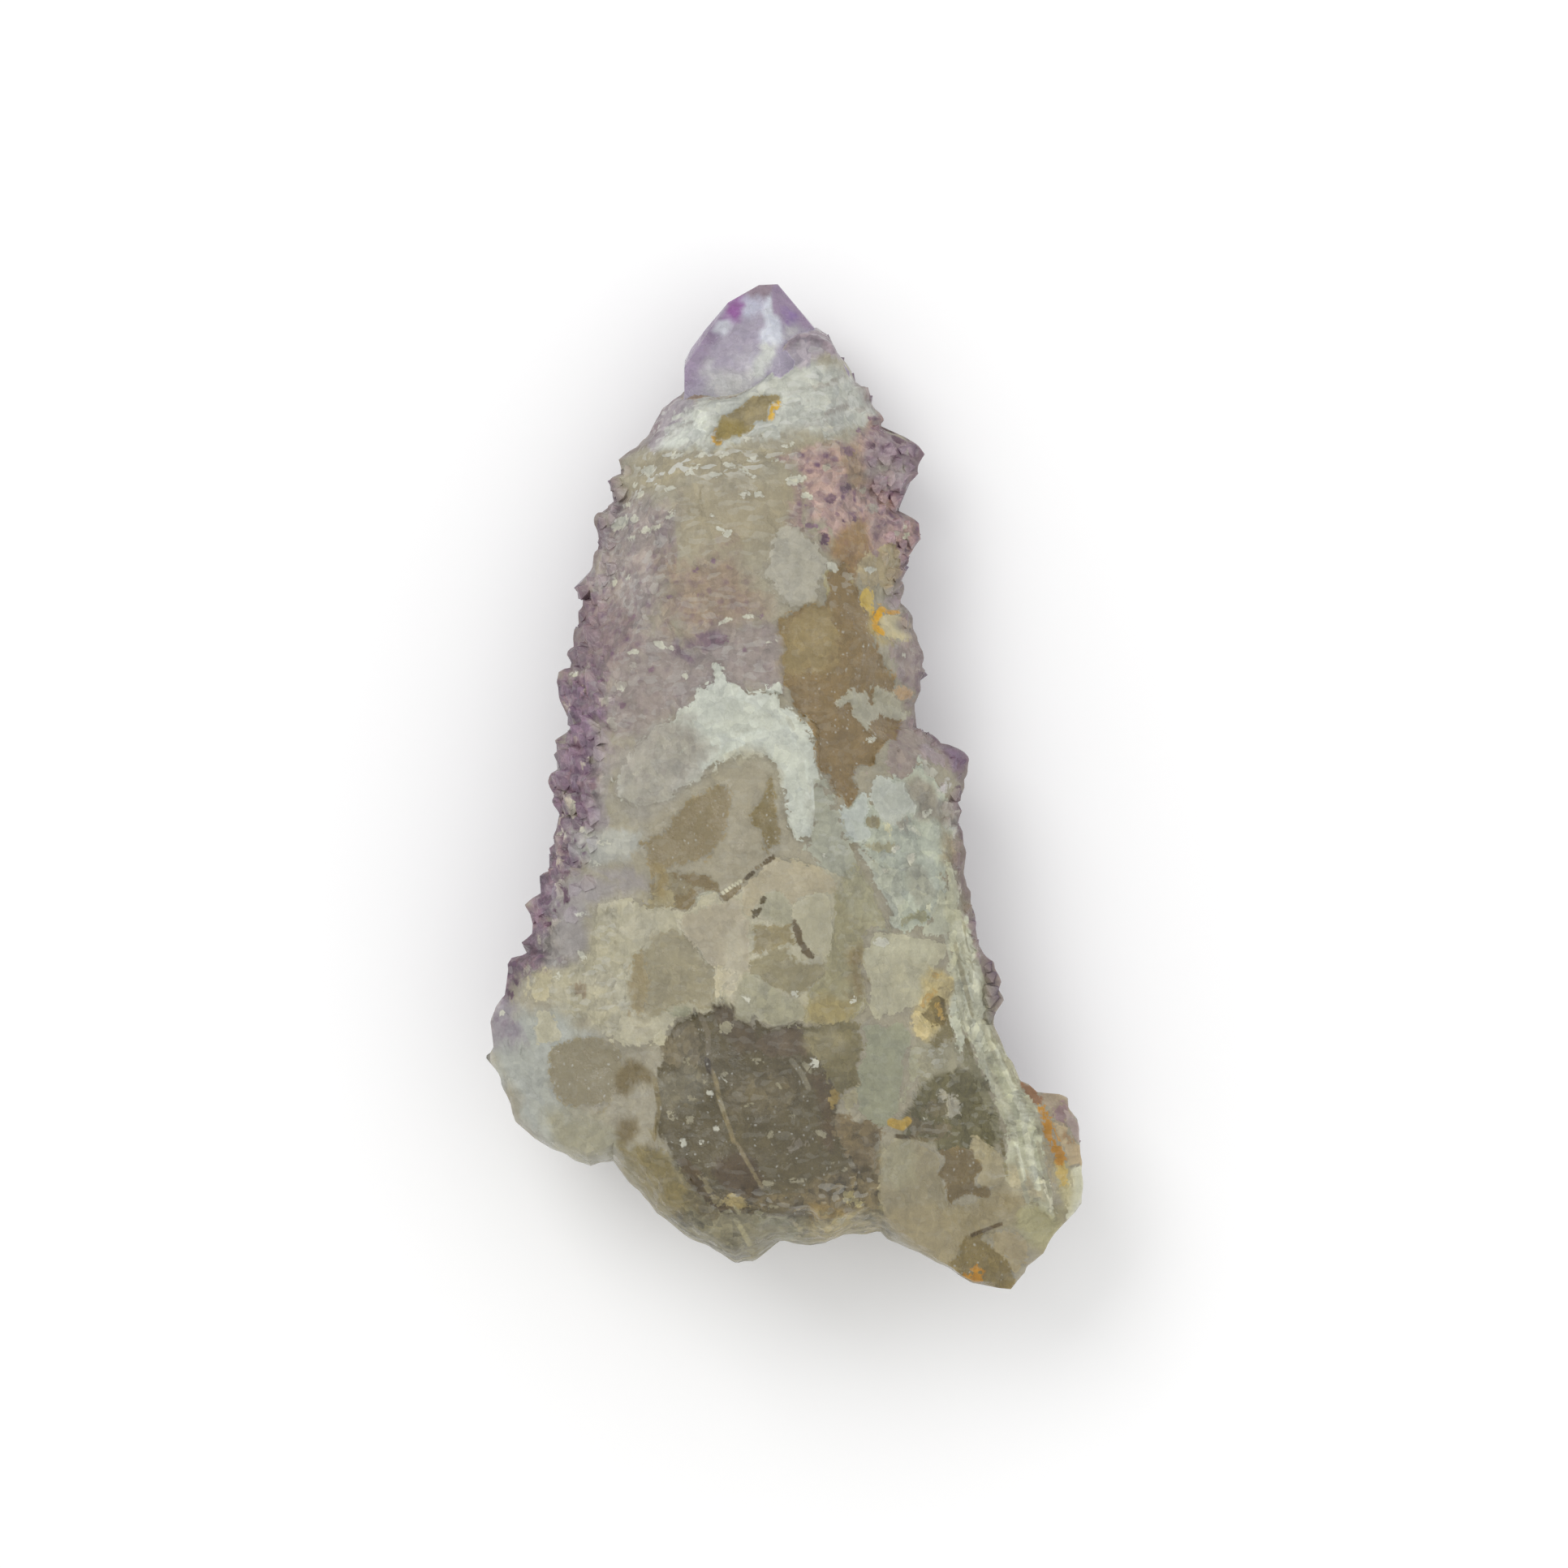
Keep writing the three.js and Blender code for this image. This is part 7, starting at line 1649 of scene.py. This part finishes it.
def paint(cluster, crystals):
    """Writes the paint and marks attributes, and parts the smoky faces from the milky ones."""
    mesh = cluster.data
    places = vertex_places(mesh)
    x, y, z = places.T
    kind = np.full(len(places), MILKY)
    for face in mesh.polygons:
        if face.material_index != MILKY:
            kind[list(face.vertices)] = face.material_index
    colour, layers, marks = painted(x, y, BASE_COLOUR, ZONES + PATCHES + PIECES)
    veins = veined(x, y)
    tip_colour, _, tip_marks = painted(x, y, TIP_COLOUR, TIP_PATCHES)
    on_tip = (kind == TIP)[:, None]
    rim = rim_share(x, y)[:, None]
    for layer in [colour, *layers]:
        layer[:, :3] = mix(layer[:, :3], linear(RIM_COLOUR), RIM_STRENGTH * rim)
    colour = np.where(on_tip, tip_colour * TIP_SCALE, colour)
    marks = np.where(on_tip, tip_marks, marks)
    lobe = smoothstep(BARE_LOBE[0] - 1, BARE_LOBE[0] + 1, x) * smoothstep(BARE_LOBE[1], BARE_LOBE[1] - 3, y)
    height = z - look(MID_HEIGHT, y)
    below = smoothstep(0.2, -1.2, height + 3 * lobe)[:, None] * (1 - 0.6 * on_tip)
    colour = mix(colour, side_colour(x, y, z), below)
    marks = mix(marks, np.array(SIDE_MARKS), below)
    over_rim = smoothstep(0.2, 0.8, height) * (kind == DRUSE)
    near = smoothstep(1.3, 0.0, nearest_apex(places, crystals)) * (kind == DRUSE)
    purple = near * (APEX_PURPLE - APEX_PURPLE_LESS * over_rim)
    colour = mix(colour, linear(DEEP_PURPLE), purple[:, None])
    for layer in [colour, *layers]:
        layer[:, :3] *= 1 + over_rim[:, None] * LAP_LIFT
    hidden = np.where(kind == MILKY, below[:, 0], 1 - over_rim)
    for layer in layers:
        layer[:, 3] = mix(layer[:, 3], -OUTSIDE, hidden)
    veins[:, 3] = mix(veins[:, 3], -OUTSIDE, hidden)
    ground = np.ones((len(places), 4))
    ground[:, :3] = colour
    attributes = {"paint": ground, "veins": veins, **{f"layer {k}": layer for k, layer in enumerate(layers)}}
    for values in attributes.values():
        values[:, :3] = toned(values[:, :3])
    attributes["marks"] = marks
    for name, values in attributes.items():
        mesh.attributes.new(name, "FLOAT_COLOR", "POINT").data.foreach_set("color", values.ravel())
    for face in mesh.polygons:
        if face.material_index == MILKY and marks[list(face.vertices), 3].mean() > 0.5:
            face.material_index = SMOKY
    smooth = [face.material_index in (MILKY, SMOKY) for face in mesh.polygons]
    mesh.polygons.foreach_set("use_smooth", smooth)
    mesh.set_sharp_from_angle(angle=math.radians(SMOOTH_ANGLE))
    mesh.update()


# The shaders' pieces, noise and spots, in cells per metre
DRIFT_SCALE = 900.0
SMALL_SCALE, LARGE_SCALE, HUGE_SCALE = 3600.0, 1250.0, 480.0
MOTTLE_SCALE, CLOUD_SCALE = 700.0, 230.0
BLOTCH_SCALE, SPOT_SCALE = 1100.0, 1500.0
FLAKE_SCALE, CRUMB_SCALE = 2500.0, 3400.0
ROUGH_SCALE, GRAIN_SCALE = 1500.0, 1900.0

# How much each of them lightens and darkens the colour, the tilted pieces partly as painted shading across
# each facet, and how far an outline's edge jumps from one piece to the next
MOTTLE, CLOUD = 0.16, 0.1
LARGE_TONE_AND_SHADE, HUGE_TONE_AND_SHADE, SMALL_TONE_AND_SHADE = 0.14, 0.1, 0.07
JUMP = 0.8
TILT = 2.4
HALF = (0.5, 0.5, 0.5)
YELLOWED = (1.05, 1.0, 0.76)
DRIFT_AMOUNT = 0.0006
FLAKE_TURN = -17
FLAKE_STRETCH = (0.42, 1.25, 1.0)
ROUGH_SPREAD = 0.18
IOR = 1.544


class Nodes:
    """A small helper that adds shader nodes to one material."""

    def __init__(self, name):
        self.material = bpy.data.materials.new(name)
        self.material.use_nodes = True
        self.tree = self.material.node_tree
        self.shader = self.tree.nodes["Principled BSDF"]

    def add(self, kind, inputs=None, **values):
        node = self.tree.nodes.new(kind)
        for key, value in values.items():
            setattr(node, key, value)
        for key, value in (inputs or {}).items():
            self.plug(value, node.inputs[key])
        return node

    def plug(self, value, socket):
        if isinstance(value, bpy.types.NodeSocket):
            self.tree.links.new(value, socket)
        else:
            socket.default_value = value

    def ramp(self, value, low, high, to_low=0.0, to_high=1.0):
        limits = {"Value": value, "From Min": low, "From Max": high, "To Min": to_low, "To Max": to_high}
        return self.add("ShaderNodeMapRange", limits).outputs["Result"]

    def times(self, a, b):
        return self.add("ShaderNodeMath", {0: a, 1: b}, operation="MULTIPLY").outputs["Value"]

    def vector(self, operation, a, b, output="Vector"):
        return self.add("ShaderNodeVectorMath", {0: a, 1: b}, operation=operation).outputs[output]

    def scaled(self, colour, amount):
        node = self.add("ShaderNodeVectorMath", {0: colour}, operation="SCALE")
        self.plug(amount, node.inputs["Scale"])
        return node.outputs["Vector"]

    def blend(self, share, a, b):
        node = self.add("ShaderNodeMix", data_type="RGBA")
        self.plug(share, node.inputs[0])
        self.plug(a, node.inputs[6])
        self.plug(b, node.inputs[7])
        return node.outputs[2]

    def noise(self, place, scale, detail=3.0, roughness=0.55):
        inputs = {"Vector": place, "Scale": scale, "Detail": detail, "Roughness": roughness}
        return self.add("ShaderNodeTexNoise", inputs).outputs["Fac"]

    def cells(self, place, scale):
        """Angular cells: the distance to the middle of each, and three random numbers from 0 to 1."""
        cells = self.add("ShaderNodeTexVoronoi", {"Vector": place, "Scale": scale})
        channels = self.add("ShaderNodeSeparateColor", {"Color": cells.outputs["Color"]}).outputs
        return cells.outputs["Distance"], channels["Red"], channels["Green"], channels["Blue"]

    def spots(self, place, scale, size, rarity):
        """Round soft spots, one in some of the cells of a lattice: size in cells, rarity from 0 to 1."""
        away, chance, _, _ = self.cells(place, scale)
        return self.times(self.ramp(away, size, 0.4 * size), self.ramp(chance, rarity, rarity + 0.1))

    def flakes(self, place, scale, rarity):
        """Angular pieces, some of the cells of a lattice, each as strong as its own random number."""
        _, chance, strength, _ = self.cells(place, scale)
        return self.times(self.ramp(chance, rarity, rarity + 0.02), self.ramp(strength, 0.0, 1.0, 0.3, 1.0))

    def tilted(self, place, scale):
        """Flat tilted pieces with steps between them, from -1 to 1, and each piece's own random number."""
        cells = self.add("ShaderNodeTexVoronoi", {"Vector": place, "Scale": scale})
        tint, middle = cells.outputs["Color"], cells.outputs["Position"]
        run = self.vector("SUBTRACT", place, middle)
        lean = self.vector("SUBTRACT", tint, HALF)
        rise = self.vector("DOT_PRODUCT", run, lean, "Value")
        own = self.add("ShaderNodeSeparateColor", {"Color": tint}).outputs["Red"]
        height = self.times_plus(rise, TILT * scale, own)
        return self.ramp(height, 0.0, 1.0, -1.0, 1.0), own

    def edge_highlight_and_shadow(self, depth):
        """A painted highlight just inside a flake's edge and a painted shadow just outside it."""
        node = self.add("ShaderNodeValToRGB", {"Fac": self.ramp(depth, -3.0, 3.0)})
        stops = [(0.0, 1.0), (0.3, 1.0), (0.46, EDGE_SHADOW), (0.54, EDGE_HIGHLIGHT), (0.72, 1.0)]
        band = node.color_ramp.elements
        while len(band) < len(stops):
            band.new(0.5)
        for stop, (place, value) in zip(band, stops):
            stop.position = place
            stop.color = (value / 2, value / 2, value / 2, 1)
        return self.times(node.outputs["Color"], 2.0)

    def plus(self, a, b):
        return self.add("ShaderNodeMath", {0: a, 1: b}, operation="ADD").outputs["Value"]

    def times_plus(self, a, b, c):
        return self.add("ShaderNodeMath", {0: a, 1: b, 2: c}, operation="MULTIPLY_ADD").outputs["Value"]

    def moved(self, place, scale, amount):
        """The place, moved about by soft noise."""
        inputs = {"Vector": place, "Scale": scale, "Detail": 2.0}
        drift = self.add("ShaderNodeTexNoise", inputs).outputs["Color"]
        drift = self.vector("SUBTRACT", drift, HALF)
        return self.vector("ADD", self.scaled(drift, amount), place)

    def layer(self, name):
        """The colour and the alpha of a painted attribute."""
        node = self.add("ShaderNodeAttribute", attribute_name=name)
        return node.outputs["Color"], node.outputs["Alpha"]

    def constants(self, **values):
        for name, value in values.items():
            self.shader.inputs[name.replace("_", " ")].default_value = value

    def absorb(self, colour, density):
        """Clear glass takes its tint from the depth that light goes through."""
        volume = self.add("ShaderNodeVolumeAbsorption", {"Color": (*colour, 1), "Density": density})
        output = self.tree.nodes["Material Output"]
        self.tree.links.new(volume.outputs["Volume"], output.inputs["Volume"])


def crystal_colour(nodes, place):
    """The painted colour with its crisp layers and their painted edge highlights and shadows, specks, flecks
    and painted glints, and mottling with painted facet shading.
    """
    colour, _ = nodes.layer("paint")
    marks, smoky = nodes.layer("marks")
    amounts = nodes.add("ShaderNodeSeparateColor", {"Color": marks}).outputs
    warped = nodes.moved(place, DRIFT_SCALE, DRIFT_AMOUNT)
    small, jag = nodes.tilted(warped, SMALL_SCALE)
    large, warmth = nodes.tilted(warped, LARGE_SCALE)
    jag = nodes.plus(nodes.ramp(jag, 0.0, 1.0, -JUMP, JUMP), nodes.ramp(warmth, 0.0, 1.0, -JUMP, JUMP))
    for level in range(LEVELS):
        over, depth = nodes.layer(f"layer {level}")
        depth = nodes.plus(depth, jag)
        colour = nodes.blend(nodes.ramp(depth, -0.4, 0.4), colour, over)
        # A painted highlight inside each flake's edge and a painted shadow outside it
        colour = nodes.scaled(colour, nodes.edge_highlight_and_shadow(depth))
    vein_colour, shown = nodes.layer("veins")
    colour = nodes.blend(nodes.ramp(shown, -0.4, 0.4), colour, vein_colour)
    huge, coolness = nodes.tilted(warped, HUGE_SCALE)
    tone = nodes.ramp(nodes.noise(place, MOTTLE_SCALE, 5.0, 0.62), 0.3, 0.7, -MOTTLE, MOTTLE)
    # The tilted pieces' tones: random for each piece, plus painted shading that runs across each facet as if
    # it were tilted to the light
    tone = nodes.plus(tone, nodes.times(large, LARGE_TONE_AND_SHADE))
    tone = nodes.plus(tone, nodes.times(huge, HUGE_TONE_AND_SHADE))
    tone = nodes.plus(tone, nodes.ramp(nodes.noise(place, CLOUD_SCALE, 3.0, 0.5), 0.3, 0.7, -CLOUD, CLOUD))
    tone = nodes.plus(tone, nodes.times(small, SMALL_TONE_AND_SHADE))
    colour = nodes.scaled(colour, nodes.times_plus(tone, amounts["Blue"], 1.0))
    warm = nodes.times(nodes.times(nodes.plus(warmth, coolness), amounts["Blue"]), 0.25)
    colour = nodes.blend(warm, colour, nodes.vector("MULTIPLY", colour, YELLOWED))
    blotch = nodes.ramp(nodes.noise(place, BLOTCH_SCALE, 4.0, 0.6), 0.5, 0.62)
    speckle = nodes.plus(nodes.times(blotch, 0.6), nodes.spots(warped, SPOT_SCALE, 0.5, 0.6))
    speckle = nodes.times(nodes.times(speckle, 0.6), amounts["Red"])
    colour = nodes.blend(speckle, colour, (*toned(linear(SPECK_COLOUR)), 1))
    stretched = nodes.add(
        "ShaderNodeMapping",
        {"Vector": warped, "Rotation": (0, 0, math.radians(FLAKE_TURN)), "Scale": FLAKE_STRETCH},
    ).outputs["Vector"]
    # Flecks: white flecks of the stone, and also painted glints of small crystal faces
    flake = nodes.times(nodes.times(nodes.flakes(stretched, FLAKE_SCALE, 0.74), amounts["Green"]), 0.8)
    crumb = nodes.times(nodes.times(nodes.spots(warped, CRUMB_SCALE, 0.42, 0.82), smoky), 0.5)
    pale = nodes.add("ShaderNodeMath", {0: flake, 1: crumb}, operation="MAXIMUM").outputs["Value"]
    return nodes.blend(pale, colour, (*toned(linear(FLECK_AND_GLINT_COLOUR)), 1))


# Each crystal material: its name, roughness, transmission and subsurface share, and the colour and the
# density that it absorbs light with
QUARTZ = [
    ("milky quartz", 0.42, 0.04, 0.25, None, 0),
    ("amethyst druse", 0.24, 0.15, 0.2, (0.72, 0.58, 0.82), 220.0),
    ("lilac point", 0.2, 0.3, 0.15, (0.8, 0.7, 0.88), 120.0),
    ("smoky quartz", 0.3, 0.15, 0.2, (0.78, 0.7, 0.55), 220.0),
]


def quartz_material(name, roughness, transmission, subsurface, tint, density):
    """One of the crystal materials, its roughness and bump varied from piece to piece."""
    nodes = Nodes(name)
    place = nodes.add("ShaderNodeTexCoord").outputs["Object"]
    nodes.plug(crystal_colour(nodes, place), nodes.shader.inputs["Base Color"])
    pieces, own = nodes.tilted(place, ROUGH_SCALE)
    spread = nodes.ramp(own, 0.0, 1.0, roughness - ROUGH_SPREAD, roughness + ROUGH_SPREAD)
    nodes.plug(spread, nodes.shader.inputs["Roughness"])
    grain = nodes.plus(nodes.noise(place, GRAIN_SCALE, 5.0, 0.65), nodes.times(pieces, 0.25))
    bump = nodes.add("ShaderNodeBump", {"Height": grain, "Strength": 0.6, "Distance": 0.0002})
    nodes.plug(bump.outputs["Normal"], nodes.shader.inputs["Normal"])
    nodes.constants(IOR=IOR, Transmission_Weight=transmission, Subsurface_Weight=subsurface,
                    Subsurface_Scale=0.0012, Subsurface_Radius=(1.0, 0.92, 0.95))
    if tint:
        nodes.absorb(tint, density)
    return nodes.material


FLOOR_HALF = 2.0  # metres
SKY_STRENGTH = 0.9


def floor_material():
    nodes = Nodes("pale floor")
    nodes.constants(Base_Color=(0.94, 0.94, 0.94, 1), Roughness=0.9, Specular_IOR_Level=0.1)
    return nodes.material


def build_stage():
    """The floor that the cluster lies on, and a plain white sky."""
    half = FLOOR_HALF
    mesh = bpy.data.meshes.new("floor")
    corners = [(-half, -half, 0), (half, -half, 0), (half, half, 0), (-half, half, 0)]
    mesh.from_pydata(corners, [], [(0, 1, 2, 3)])
    mesh.materials.append(floor_material())
    object_of("floor", mesh)
    world = bpy.context.scene.world or bpy.data.worlds.new("world")
    bpy.context.scene.world = world
    world.use_nodes = True
    background = world.node_tree.nodes["Background"].inputs
    background["Color"].default_value = (1, 1, 1, 1)
    background["Strength"].default_value = SKY_STRENGTH


def soft_light(name, place, size, power):
    """A square light aimed at the cluster: place and size in metres, power in watts."""
    light = bpy.data.lights.new(name, "AREA")
    light.size = size
    light.energy = power
    made = object_of(name, light)
    made.location = place
    made.rotation_euler = (-Vector(place)).to_track_quat("-Z", "Y").to_euler()


def build_lights():
    soft_light("key", (-0.3, 0.34, 0.6), 0.4, 1.5)
    soft_light("fill", (0.5, -0.2, 0.5), 0.7, 0.4)


FRAME_WIDTH = 116.7  # millimetres of the cluster's own plane that the photograph's width takes in
CAMERA_HEIGHT = 900.0
FOCUS_HEIGHT = 10.5


def build_camera():
    """A camera straight above the cluster, far enough away to show it nearly without perspective."""
    camera = bpy.data.cameras.new("camera")
    camera.sensor_width = 36
    camera.sensor_fit = "HORIZONTAL"
    camera.lens = camera.sensor_width * (CAMERA_HEIGHT - FOCUS_HEIGHT) / FRAME_WIDTH
    camera.clip_start = 0.01
    made = object_of("camera", camera)
    made.location = (0, 0, CAMERA_HEIGHT * MM)
    bpy.context.scene.camera = made


LEVELS = give_levels(PATCHES)
PIECES = [
    patch("piece", colour, piece_outline(*row), torn=0.1, flecks=0, specks=0, level=LEVELS)
    for rows, colour in (
        (PURPLE_PIECES, PURPLE_COLOUR), (DARK_PIECES, DARK_COLOUR), (PALE_PIECES, PALE_COLOUR),
        (WHITE_AND_GLINT_PIECES, WHITE_AND_GLINT_COLOUR), (GREY_PIECES, GREY_COLOUR),
    )
    for row in rows
]
LEVELS += 1
cluster, crystals = build_cluster([quartz_material(*row) for row in QUARTZ])
paint(cluster, crystals)
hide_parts(NODE)
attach(cluster, "root")
build_stage()
build_lights()
build_camera()
bpy.context.scene.view_settings.view_transform = "Standard"
